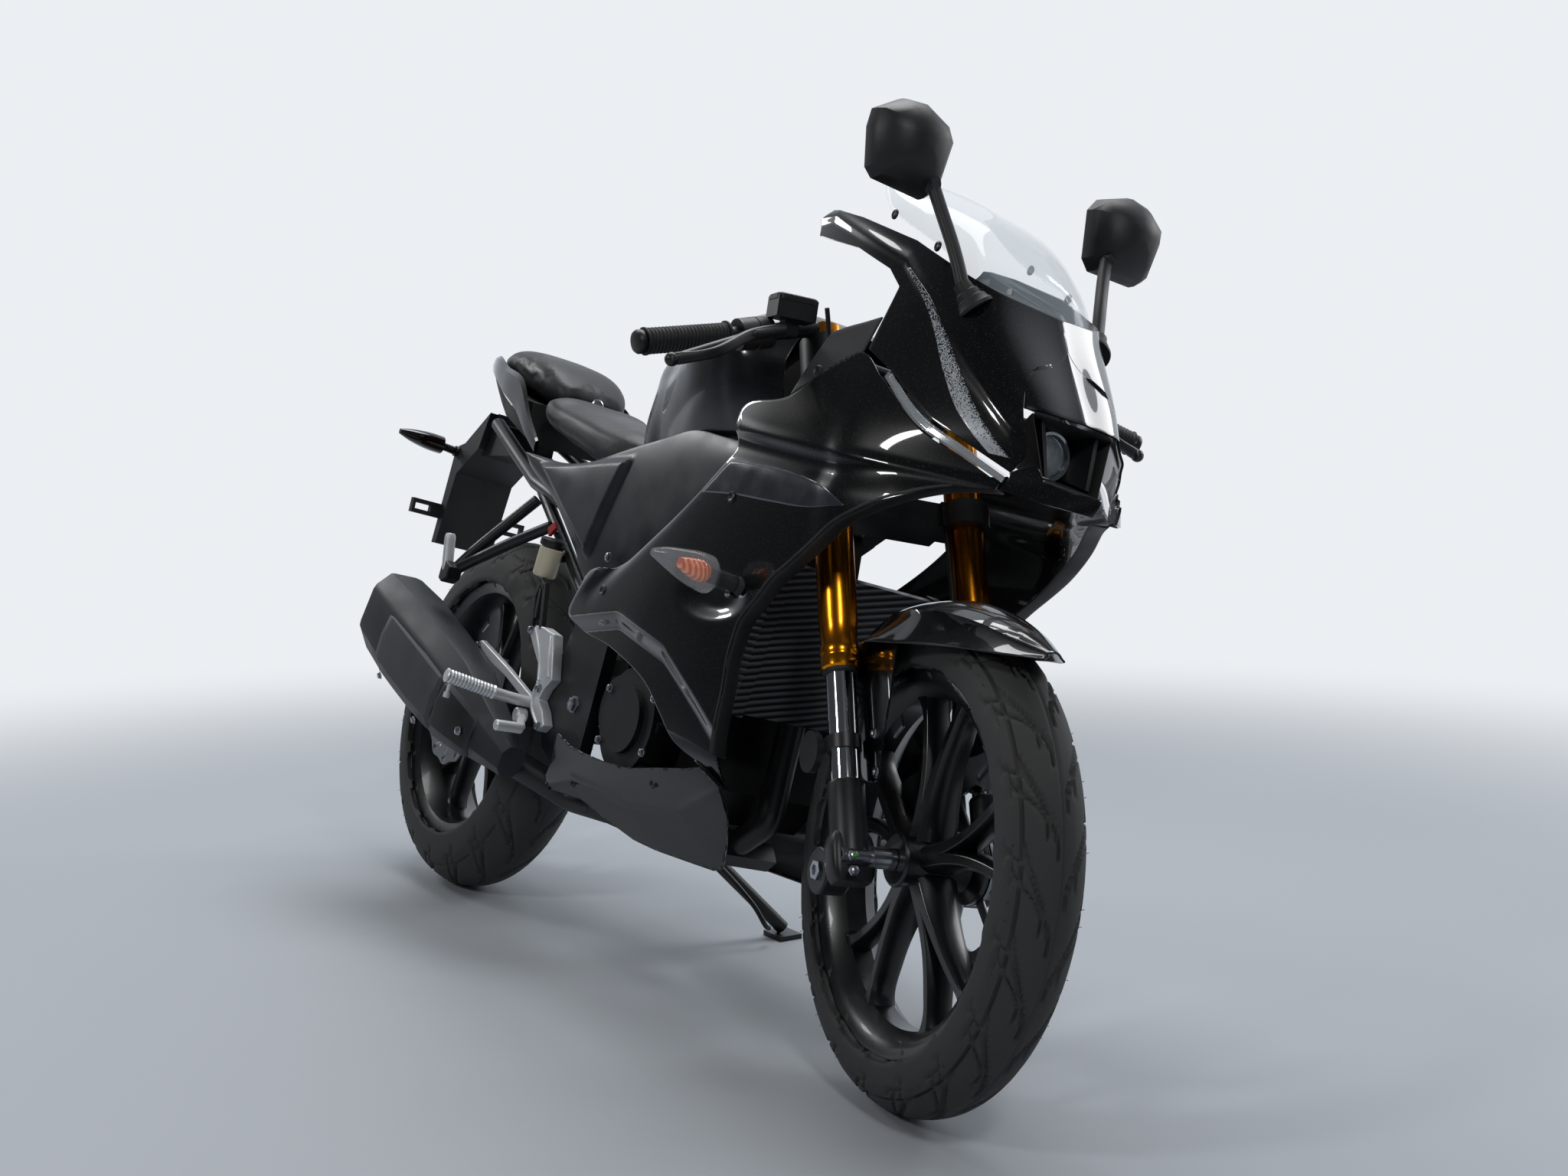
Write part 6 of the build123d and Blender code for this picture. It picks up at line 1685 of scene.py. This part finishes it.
@dataclass
class Cushion:
    """Foam seat under stretched vinyl."""

    name: str
    node_name: str
    rows: tuple[tuple[float, ...], ...]
    swell: float = 3.0
    square: float = 2 / 3.2

    def body(self, shrink: float) -> Patch:
        """Closed form of the seat from its table of sections.

        Each section is a superellipse: |y / half|^3.2 + |z / tall|^3.2 = 1.
        """
        table = np.array(self.rows)
        if table[0, 0] > table[-1, 0]:
            table = table[::-1]
        x = np.linspace(table[0, 0] + shrink, table[-1, 0] - shrink, 60)
        half, z_low, z_top = through(table[:, 0], table[:, 1:], x).T
        a = np.linspace(0, tau, 64, endpoint=False)
        y = (half - shrink)[:, None] * eased(np.cos(a), self.square)[None]
        tall = np.maximum((z_top - z_low) / 2 - shrink, 4)[:, None]
        z = ((z_low + z_top) / 2)[:, None] + tall * eased(np.sin(a), self.square)[None]
        ends = np.minimum(1, 0.86 + 0.14 * np.sqrt(np.minimum(x - x[0], x[-1] - x) / 14.0))[:, None]
        return closed(grid_of(x[:, None], y * ends, z))

    def build(self, shop: Workshop) -> None:
        """Adds the seat, blown up by cloth pressure."""
        start = self.body(self.swell * 0.6)
        seat = shop.piece(self.name, start, SEAT_VINYL, (self.node_name,), sharp=60)
        self.inflate(seat)

    def inflate(self, seat: bpy.types.Object) -> None:
        """Cloth under pressure for twenty frames, with a cap on how far a point may move."""
        remesh = seat.modifiers.new("voxels", "REMESH")
        remesh.mode, remesh.voxel_size = "VOXEL", 5.5 * MM
        self.apply(seat)
        before = self.points(seat)
        cloth = seat.modifiers.new("foam", "CLOTH")
        settings = cloth.settings
        settings.use_pressure, settings.uniform_pressure_force = True, 4.0
        settings.effector_weights.gravity = 0.0
        settings.quality = 5
        scene = bpy.context.scene
        for frame in range(1, 21):
            scene.frame_set(frame)
        self.apply(seat)
        after = self.points(seat)
        step = after - before
        size = np.linalg.norm(step, axis=1, keepdims=True)
        step *= np.minimum(1.0, self.swell * MM / np.maximum(size, 1e-9))
        seat.data.vertices.foreach_set("co", (before + step).astype(np.float32).ravel())
        seat.data.update()
        scene.frame_set(1)
        subdivide(seat, 1)

    def apply(self, seat: bpy.types.Object) -> None:
        """Fixes the modifiers into the mesh."""
        shown = seat.evaluated_get(bpy.context.evaluated_depsgraph_get())
        fixed = bpy.data.meshes.new_from_object(shown)
        fixed.polygons.foreach_set("use_smooth", np.ones(len(fixed.polygons), bool))
        fixed.materials.clear()
        fixed.materials.append(SEAT_VINYL.material())
        seat.modifiers.clear()
        seat.data = fixed

    def points(self, seat: bpy.types.Object) -> Array:
        """Mesh points as an array."""
        flat = np.empty(len(seat.data.vertices) * 3)
        seat.data.vertices.foreach_get("co", flat)
        return flat.reshape(-1, 3)


@dataclass
class Tail:
    """Tail body with floating wings, lamp and flashers."""

    def build(self, shop: Workshop) -> None:
        """Adds the pieces of the tail."""
        shop.piece("tail_body", self.core(), DEEP_PLASTIC, ("tail_cowl",), bevel=1.0)
        shop.pair("tail_wings", self.wing(), GLOSS_BLACK, sharp=28)
        shop.piece("seat_lock", self.lock(), ZINC)
        shop.piece("tail_lamp_lens", self.lamp(), SMOKE, ("tail_lamp",), bevel=1.0)
        stalk = spun(((0, 13), (4, 12.5), (8, 10.4), (12, 11.4), (16, 10.2), (46, 10.6)),
                     (1058, -190, 577), (1051, -230, 581), 32)
        shop.pair("front_flasher_stalks", stalk, RUBBER)
        lens = self.flasher(((1048, -226, 580.5, 14, 13), (1046, -232, 581, 24, 22),
                             (1041, -246, 584, 29, 24), (1031, -268, 588, 23, 19),
                             (1016, -288, 593, 13, 11), (1007, -299, 594.5, 5, 5)))
        shop.pair("front_flasher_lenses", lens, LENS_CLEAR, ("flashers",), sharp=25)
        core = self.flasher(((1046, -230, 581, 6, 6), (1043, -240, 583, 15, 13),
                             (1036, -256, 586, 15, 12), (1028, -268, 589, 8, 7)))
        shop.pair("front_flasher_cores", core, FLASHER_CORE)
        stem = spun(((0, 11), (6, 10.5), (8, 8), (42, 7.5)), (-316, -62, 782), (-316, -104, 786), 24)
        lamp = self.flasher(((-316, -98, 786, 22, 17), (-315, -120, 787, 21.6, 17),
                             (-313, -142, 788, 20, 15), (-310, -166, 789, 13, 11),
                             (-306, -188, 790, 5, 5)))
        shop.pair("rear_flasher_bodies", [stem, lamp], SMOKE, sharp=25)

    def core(self) -> list[Patch]:
        """Inner body under the pillion seat."""
        table = ((70, 96, 792, 866), (40, 100, 802, 871), (-30, 94, 826, 888), (-100, 88, 850, 905),
                 (-160, 74, 878, 922), (-215, 60, 905, 937))
        # each row: x, half width, low z, high z
        rows = [[(x, -h * 0.8, a), (x, -h, (a + b) / 2 + 6), (x, -h, b), (x, h, b),
                 (x, h, (a + b) / 2 + 6), (x, h * 0.8, a)] for x, h, a, b in table]
        body = closed(np.array(rows, float))
        bridge = closed(np.array([[(-216, y, 940), (-246, y * 0.8, 944), (-246, y * 0.8, 957),
                                   (-216, y, 956)] for y in np.linspace(-58, 58, 13)]))
        return [body, bridge]

    def wing(self) -> Patch:
        """Floating side wing, from beside the seat to the tip.

        The section is a slim leaf with a sharp outer crease.
        """
        table = (
            # x, middle y, low z, high z, half thickness
            (172, 117, 766, 790, 4), (110, 114, 798, 836, 5), (40, 108, 838, 898, 6),
            (-70, 98, 884, 934, 6.5), (-180, 76, 928, 966, 6.5), (-232, 56, 942, 960, 5.5),
            (-250, 46, 948, 956, 3),
        )
        x = np.linspace(172, -250, 80)
        rows = np.array(table, float)[::-1]
        y, low, high, thick = through(rows[:, 0], rows[:, 1:], x[::-1])[::-1].T
        leaf = np.array([(0, 0), (-0.7, 0.12), (-1, 0.5), (-0.8, 0.86), (0, 1), (0.6, 0.8), (0.6, 0.2)])
        grid = grid_of(x[:, None], -y[:, None] + leaf[None, :, 0] * thick[:, None] * 1.2,
                       low[:, None] + (high - low)[:, None] * leaf[None, :, 1])
        return closed(grid)

    def lock(self) -> Patch:
        """Round key lock at the front of the pillion seat."""
        return spun(((0, 12), (3, 11.6), (4, 9.5), (2.4, 9), (2.4, 3), (3.2, 2.4)), (122, 0, 884),
                    (126, 0, 884), 40)

    def lamp(self) -> Patch:
        """Slim lamp across the tail."""
        rows = [[(x, -h * 0.8, a), (x, -h, b), (x, h, b), (x, h * 0.8, a)]
                for x, h, a, b in ((-215.2, 52, 906, 930), (-228, 50, 908, 934), (-238, 47, 911, 937),
                                   (-240, 44, 914, 936))]
        return closed(np.array(rows, float))

    def flasher(self, rings: Sequence[Sequence[float]]) -> Patch:
        """Pointed lamp body, from rings of place, half width and half height."""
        table = np.array(rings, float)[::-1]
        y = np.linspace(table[-1, 1], table[0, 1], 16)
        x, z, wide, tall = through(table[:, 1], table[:, [0, 2, 3, 4]], y).T[..., None]
        a = np.linspace(0, tau, 24, endpoint=False)
        grid = grid_of(x + wide * eased(np.cos(a), 0.8), y[:, None], z + tall * eased(np.sin(a), 0.9))
        return closed(grid)


# Silencer and foot gear

@dataclass
class Silencer:
    """Slanted hexagonal silencer with its shields and outlet."""

    low: Point = (470.0, -170.0, 262.0)
    top: Point = (-90.0, -205.0, 452.0)

    def at(self, a: Any, b: Any, along: Any) -> Array:
        """Point of the can: a is aside to the left, b is up, along is from its front end."""
        origin, run = np.array(self.low), np.subtract(self.top, self.low)
        run = unit(run)
        side = unit(np.array([0, 1.0, 0]) - run * run[1])
        up = np.cross(run, side)
        a, b, along = np.broadcast_arrays(*(np.asarray(v, float) for v in (a, b, along)))
        return origin + a[..., None] * side + b[..., None] * up + along[..., None] * run

    def build(self, shop: Workshop) -> None:
        """Adds can, shields, end ring and bolts."""
        length = float(np.linalg.norm(np.subtract(self.top, self.low)))
        table = ((0, 21, 25), (40, 28, 33), (90, 36, 44), (150, 43, 58), (210, 50, 72), (340, 54, 77),
                 (length - 120, 56, 80), (length - 22, 52.5, 75), (length - 8, 51, 72), (length - 1, 45, 63))
        shape = np.array([(-0.42, 1.0), (0.42, 1.0), (0.56, 0.94), (0.98, 0.5), (1.0, 0.36),
                          (0.96, -0.5), (0.9, -0.64), (0.52, -0.98), (0.4, -1), (-0.4, -1),
                          (-0.52, -0.98), (-0.9, -0.64), (-0.96, -0.5), (-1, 0.36), (-0.98, 0.5),
                          (-0.56, 0.94)])
        can = closed(self.sections(shape, table))
        shop.piece("silencer_can", can, CAN_GREY, ("muffler",), bevel=0.8, sharp=24)
        end = self.sections(shape, ((length - 1.0, 45, 63), (length + 0.5, 43, 60),
                                    (length + 0.5, 27, 27), (length - 10, 26, 26)))
        shop.piece("silencer_end_cap", sheet_of(end, wrap_columns=True), CAN_GREY)
        ring = spun(((-40, 21.5), (-40, 19.5), (2, 19.5), (2.6, 21), (1.6, 24.5), (-6, 25)),
                    self.at(0, 0, length), self.at(0, 0, length + 1), 64)
        shop.piece("outlet_ring", ring, DISC_STEEL)
        shield = np.array([(-46, 64), (-58, 44), (-61, 2), (-56, -34), (-34, -58)], float)
        for name, finish, wall, steps in (
            ("silencer_shield", SHIELD_GREY, 2.2,
             ((205, 0.74), (222, 0.93), (300, 0.985), (380, 1), (452, 1), (470, 0.97))),
            ("silencer_front_shield", MOULDED, 2.0,
             ((84, 0.60), (96, 0.68), (150, 0.82), (196, 0.92), (202, 0.9))),
        ):
            cover = self.sections(shield, [(along, grow, grow) for along, grow in steps])
            shop.piece(name, sheet_of(cover), finish, wall=wall, bevel=0.8, sharp=24)
        bolts = []
        for a, b, along, lift, radius in ((-54, 60, 250, 0.4, 5.2), (-54, 62, 425, 0.4, 5.2),
                                          (-46, 8, 110, 0.0, 6.0)):
            seat = self.at(a, b, along)
            bolts.append(hex_bolt(seat, self.at(a - 1, b + lift, along) - seat, radius, 5))
        shop.piece("silencer_bolts", bolts, ZINC)

    def sections(self, outline: Array, table: Sequence[Sequence[float]]) -> Array:
        """An outline at places along the can, scaled aside and up."""
        return np.array([self.at(outline[:, 0] * aside, outline[:, 1] * up, along)
                         for along, aside, up in table])


@dataclass
class FootGear:
    """Cast hangers with pegs, heel guards, pedals and the fluid cup."""

    def build(self, shop: Workshop) -> None:
        """Adds the pieces beside the rider's feet."""
        outline = np.array([(500, 400), (484, 440), (470, 470), (432, 478), (400, 478), (388, 462),
                            (414, 440), (440, 420), (452, 395), (440, 372), (448, 350), (470, 332),
                            (490, 318), (508, 330), (492, 350), (470, 366), (480, 384)], float)
        casting = plate(outline, -150, -132.2)
        shop.pair("hanger_castings", [casting, *self.ribs(), self.peg_boss()], CAST_ALLOY,
                  ("peg_hangers",), bevel=1.6, sharp=30)
        arm = plate(((440, 352), (448, 366), (330, 403), (210, 436), (190, 430), (196, 418), (330, 388)),
                    -150, -140.2)
        shop.pair("hanger_arms", arm, CAST_ALLOY, bevel=1.6)
        shop.pair("heel_guards", self.guard(), MOULDED, bevel=1.0)
        shop.pair("rider_pegs", self.peg(), CAST_ALLOY, sharp=25)
        bolts = [hex_bolt((x, -150, z), (0, -1, 0), 6.0, 6.5)
                 for x, z in ((467, 383), (493, 326), (392, 469), (204, 426))]
        shop.pair("hanger_bolts", bolts, ZINC)
        self.add_pedals(shop)
        self.add_cup(shop)
        self.add_pillion(shop)

    def ribs(self) -> list[Patch]:
        """Raised ribs that stiffen the casting."""
        made = []
        for line in (((404, 474), (446, 424), (458, 394)), ((458, 394), (452, 360), (496, 322)),
                     ((466, 466), (476, 430), (490, 402))):
            path = line_through([(x, -150.5, z) for x, z in line], 14)
            made.append(carried(rounded_box(5, 5, 2), path, (0, -1, 0)))
        return made

    def peg_boss(self) -> Patch:
        """Boss and arm that carry the peg."""
        return tube([(440, -140, 358), (440, -180, 359), (440, -214, 362)], 9.0, 24, 10)

    def guard(self) -> list[Patch]:
        """Heel guard with two slots between its bars."""
        frame = (((424, 470), (400, 548), (392, 545), (413, 474)), ((402, 540), (378, 556), (376, 548),
                 (396, 534)), ((366, 520), (380, 556), (386, 550), (374, 520)),
                 ((366, 520), (380, 466), (388, 470), (375, 522)),
                 ((394, 490), (388, 540), (382, 536), (386, 488)))
        return [plate(part, -150, -140.5) for part in frame]

    def peg(self) -> list[Patch]:
        """Peg with a knurled grip and the feeler bolt at its tip."""
        length, turns = 84.0, 30
        at = np.linspace(0, length, 90)
        knurl = 9.6 + 1.2 * np.abs(np.sin(at * pi * turns / length / 2))
        knurl[:3], knurl[-3:] = (9, 11, 11.4), (11.4, 10.6, 9)
        body = spun(np.column_stack([at, knurl]), (440, -211, 362), (436, -298, 374), 40)
        feeler = spun(((0, 3), (18, 3), (19, 5), (26, 5), (27, 4)), (437, -284, 366),
                      (436.6, -286, 342), 16)
        return [body, feeler]

    def add_pedals(self, shop: Workshop) -> None:
        """Adds the brake pedal and the gear pedal."""
        brake = carried(rounded_box(13, 9, 3), line_through(
            [(440, -160, 335), (475, -172, 332), (512, -190, 326), (530, -196, 322)], 20), (0, 0, 1))
        pad = spun(((0, 6), (2, 8.4), (44, 8.4), (46, 6)), (531, -194, 320), (532, -240, 318), 24)
        hub = spun(((0, 10), (2, 12), (16, 12), (18, 10)), (440, -150.4, 335), (440, -168, 335), 32)
        shop.piece("brake_pedal", [brake, pad, hub], CAST_ALLOY, ("foot_controls",), bevel=0.8)
        gear = carried(rounded_box(12, 8, 3), line_through(
            [(440, 160, 335), (500, 168, 343), (560, 176, 350)], 16), (0, 0, 1))
        rubber = spun(((0, 6), (2, 8.6), (48, 8.6), (50, 6)), (560, 174, 350), (560, 224, 352), 24)
        pivot = spun(((0, 10), (2, 12), (16, 12), (18, 10)), (440, 150.4, 335), (440, 168, 335), 32)
        shop.piece("gear_pedal", [gear, rubber, pivot], CAST_ALLOY, bevel=0.8)

    def add_cup(self, shop: Workshop) -> None:
        """Adds the rear brake's fluid cup, its cap and hose."""
        cup = spun(((0, 10), (2, 17), (5, 19), (48, 19.4), (50, 18)), (358, -136, 556),
                   (366, -136, 608), 40)
        shop.piece("fluid_cup", cup, NATURAL_PLASTIC, ("brake_reservoir",))
        cap = spun(((0, 20), (2, 21.4), (11, 21.4), (13, 19.5), (13.6, 12)), (366, -136, 607),
                   (368, -136, 620), 40)
        lug = tube([(366, -104, 594), (366, -136, 588)], 6, 16, 4)
        shop.piece("fluid_cup_cap", [cap, lug], BRACKET_BLACK)
        hose = tube([(358, -136, 556), (356, -136, 532), (368, -138, 500), (404, -141, 462)], 4.6, 14, 30)
        shop.piece("fluid_hose", hose, RUBBER)

    def add_pillion(self, shop: Workshop) -> None:
        """Adds the passenger's brackets and pegs."""
        front = tube([(292, -112, 644), (220, -142, 606), (140, -172, 561), (107, -186, 541)], 9.6, 24, 40)
        rear = tube([(204, -107, 688), (170, -134, 640), (128, -168, 578), (107, -186, 541)], 9.6, 24, 40)
        shop.pair("pillion_bracket_tubes", [front, rear], BRACKET_BLACK, ("pillion_brackets",))
        clevis = plate(((90, 524), (104, 518), (124, 526), (128, 546), (112, 556), (92, 550)), -204, -178)
        shop.pair("pillion_clevises", clevis, BRACKET_BLACK, bevel=2.0)
        peg = carried(rounded_box(20, 15, 5), line_through(
            [(104, -196, 536), (100, -199, 568), (96, -202, 602)], 16), (1, 0, 0),
            np.array([0.7, 0.8] + [0.9] * 12 + [0.86, 0.7]))
        shop.pair("pillion_pegs", peg, CAST_ALLOY, bevel=0.8)


# Cockpit and machinery

@dataclass
class Cockpit:
    """Clip-on bars with grips, levers, switches and the front master cylinder."""

    root: Point = (1014.0, -120.0, 950.0)
    tip: Point = (1057.0, -374.0, 878.0)

    def at(self, along: float) -> Array:
        """Point of the right bar's axis at a length from its root."""
        return np.array(self.root) + unit(np.subtract(self.tip, self.root)) * along

    def build(self, shop: Workshop) -> None:
        """Adds grips, bar ends, levers and switches."""
        length = float(np.linalg.norm(np.subtract(self.tip, self.root)))
        at = np.linspace(0, 122, 160)
        rib = 16.2 + 0.9 * np.cos(at * tau / 5.2)
        rib[:4], rib[-4:] = 19.2, 18.0
        grip = spun(np.column_stack([at, rib]), self.at(length - 130), self.at(length - 8), 40)
        shop.pair("rubber_grips", grip, GRIP_RUBBER, ("grips",), Body.STEERING, sharp=50)
        end = spun(((0, 10), (1, 14.5), (3, 15.5), (9, 15.5), (12, 13.5), (13, 9)), self.at(length - 8),
                   self.at(length), 36)
        shop.pair("bar_end_weights", end, BRACKET_BLACK, body=Body.STEERING)
        bends = ((78, -112, 965), (76, -96, 900), (62, -70, 830), (44, -62, 806))
        hose = tube([(1082, -136, 968), *(STANCE.fork(*bend) for bend in bends)], 3.2, 12, 50)
        shop.piece("master_cylinder_hose", hose, RUBBER, body=Body.STEERING)
        self.add_fluid_box(shop, length)
        self.add_switches(shop, length)

    def add_fluid_box(self, shop: Workshop, length: float) -> None:
        """Adds the lid of the fluid box with its two screws."""
        x, y, z = self.at(length - 214) + (27, 0, 0)
        outline = rounded_box(40, 58, 8, 6)
        rings = [np.column_stack([x + outline[:, 0] * s, y + outline[:, 1] * s, np.full(len(outline), h)])
                 for s, h in ((0.96, z + 34), (1.0, z + 35), (1.0, z + 41.5), (0.93, z + 43))]
        lid = closed(np.array(rings))
        shop.piece("fluid_box_lid", lid, MOULDED, body=Body.STEERING, bevel=0.8)
        screws = [spun(((0, 3.4), (1.0, 3.2), (1.2, 1.4), (0.4, 1.0)), (x, y + side * 22, z + 42.8),
                       (x, y + side * 22, z + 43.8), 16) for side in (-1, 1)]
        shop.piece("fluid_box_screws", screws, ZINC, body=Body.STEERING)

    def add_switches(self, shop: Workshop, length: float) -> None:
        """Adds the switch collars, whose halves meet at a seam, and the lever blades."""
        wide = 74
        profile = ((0, 17), (2, 21.4), (24, 22), (24.6, 20.6), (25.4, 20.6), (26, 22), (48, 21), (50, 16))
        collar = spun(profile, self.at(length - 122 - wide), self.at(length - 122), 40)
        shop.pair("switch_collars", collar, MOULDED, body=Body.STEERING)
        root = self.at(length - 200) + (38, 0, 0)
        knee = self.at(length - 152) + (48, 0, -4)
        blade = carried(rounded_box(9, 15, 3.5), line_through(
            [root, knee, (1116, -300, 872), (1112, -345, 857)], 30), (0, 0, 1),
            np.concatenate([np.linspace(1.1, 0.9, 24), [0.9, 0.92, 0.98, 1.05, 1.05, 0.8]]))
        shop.pair("lever_blades", blade, BRACKET_BLACK, body=Body.STEERING)


@dataclass
class Machinery:
    """Parts that show through the gaps: stand loop, bolts and small fittings."""

    def build(self, shop: Workshop) -> None:
        """Adds the small machined parts."""
        loop = tube([(624, 148, 172), (632, 182, 148), (646, 214, 120), (652, 236, 96), (640, 250, 92)],
                    4, 14, 40)
        shop.piece("stand_feeler_loop", loop, BRACKET_BLACK, body=Body.STAND)
        bolts = [hex_bolt((x, -150, z), (0, -1, 0), 5.0, 6) for x, z in (
            (765, 448), (832, 410), (832, 334), (765, 296), (698, 334), (698, 410))]
        bolts.append(hex_bolt((560, -132, 372), (0, -1, 0), 11, 8))
        shop.piece("engine_cover_bolts", bolts, ZINC)
        axle = [spun(((0, 10), (1, 15), (7, 15), (8, 13.6)), (0, -126, 314), (0, -134, 314), 6)]
        shop.piece("rear_axle_head", axle, ZINC)
        tilt = turn_about((0, 1, 0), -38, (1192, 0, 985))
        rings = [np.insert(rounded_box(wide, tall, corner, 6), 0, x, axis=1)
                 for x, wide, tall, corner in ((1176.4, 112, 64, 9), (1175.2, 110, 62, 8))]
        glass = closed(np.array(rings) + (0, 0, 985))
        shop.piece("meter_glass", moved(glass, tilt), SCREEN_GLASS)
        clip = plate(((300, 640), (322, 652), (330, 640), (310, 626)), -122, -116)
        shop.piece("red_joint_clip", clip, RED_PLASTIC, bevel=1.0)


# Shown as packed, with broken edges
PACKED_FINISHES: dict[str, Finish] = {
    "frame": FRAME_STEEL, "engine": ENGINE_CAST, "exhaust_pipe": BRACKET_BLACK, "radiator": CORE_FINS,
    "swingarm": FRAME_STEEL, "shock_absorber": FRAME_STEEL, "rear_axle": ZINC, "front_axle": ZINC,
    "drive_chain": CHAIN_STEEL, "chain_guard": DEEP_PLASTIC, "fuel_tank": DEEP_PLASTIC,
    "plate_holder": MOULDED, "instruments": MOULDED,
    "rear_caliper": CAST_ALLOY, "front_caliper": BRACKET_BLACK, "triple_clamps": BRACKET_BLACK,
    "handlebars": BRACKET_BLACK, "hand_controls": BRACKET_BLACK, "reflectors": BRACKET_BLACK,
    "rear_sprocket": CHAIN_STEEL, "side_stand": BRACKET_BLACK, "fuel_cap": CAST_ALLOY,
}


def dress_packed(shop: Workshop) -> None:
    """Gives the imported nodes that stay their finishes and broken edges."""
    shop.dress(PACKED_FINISHES)
    for name in PACKED_FINISHES:
        break_edges(shop.frame["nodes"][name], 1.2, 32).harden_normals = True


RIDER_SEAT = Cushion("rider_cushion", "rider_seat", (
    (474, 58, 762, 800), (430, 84, 747, 816), (350, 100, 757, 834),
    (271, 105, 779, 852), (195, 104, 801, 868), (131, 103, 826, 881),
    (119, 98, 834, 876),
))
PILLION_SEAT = Cushion("pillion_cushion", "pillion_seat", (
    (112, 64, 868, 908), (72, 80, 870, 936), (-40, 84, 892.4, 972),
    (-130, 76, 915.4, 984), (-204, 56, 936.4, 985),
))


def main() -> None:
    """Builds the scene."""
    logging.basicConfig(level=logging.INFO, format="%(message)s")
    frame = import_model()
    shop = Workshop(frame)
    Studio().build()
    RoadWheel("front", Body.FRONT_WHEEL, 1325.0, 296.0, 100.0, 40.0, 62.0, 141.0, 96.0,
              DISC_STEEL).build(shop)
    RoadWheel("rear", Body.REAR_WHEEL, 0.0, 314.0, 140.0, 58.0, -76.0, 110.0, 70.0,
              DISC_STEEL).build(shop)
    for part in (FrontFork(), FrontFender(), Fairing(), Screen(), LampUnit(), Mirrors(), Tank(),
                 FrameCovers(), RIDER_SEAT, PILLION_SEAT, Tail(), Silencer(), FootGear(), Cockpit(),
                 Machinery()):
        part.build(shop)
    dress_packed(shop)
    LOG.info("pieces made: %d", len(shop.made))


if __name__ == "__main__":
    main()
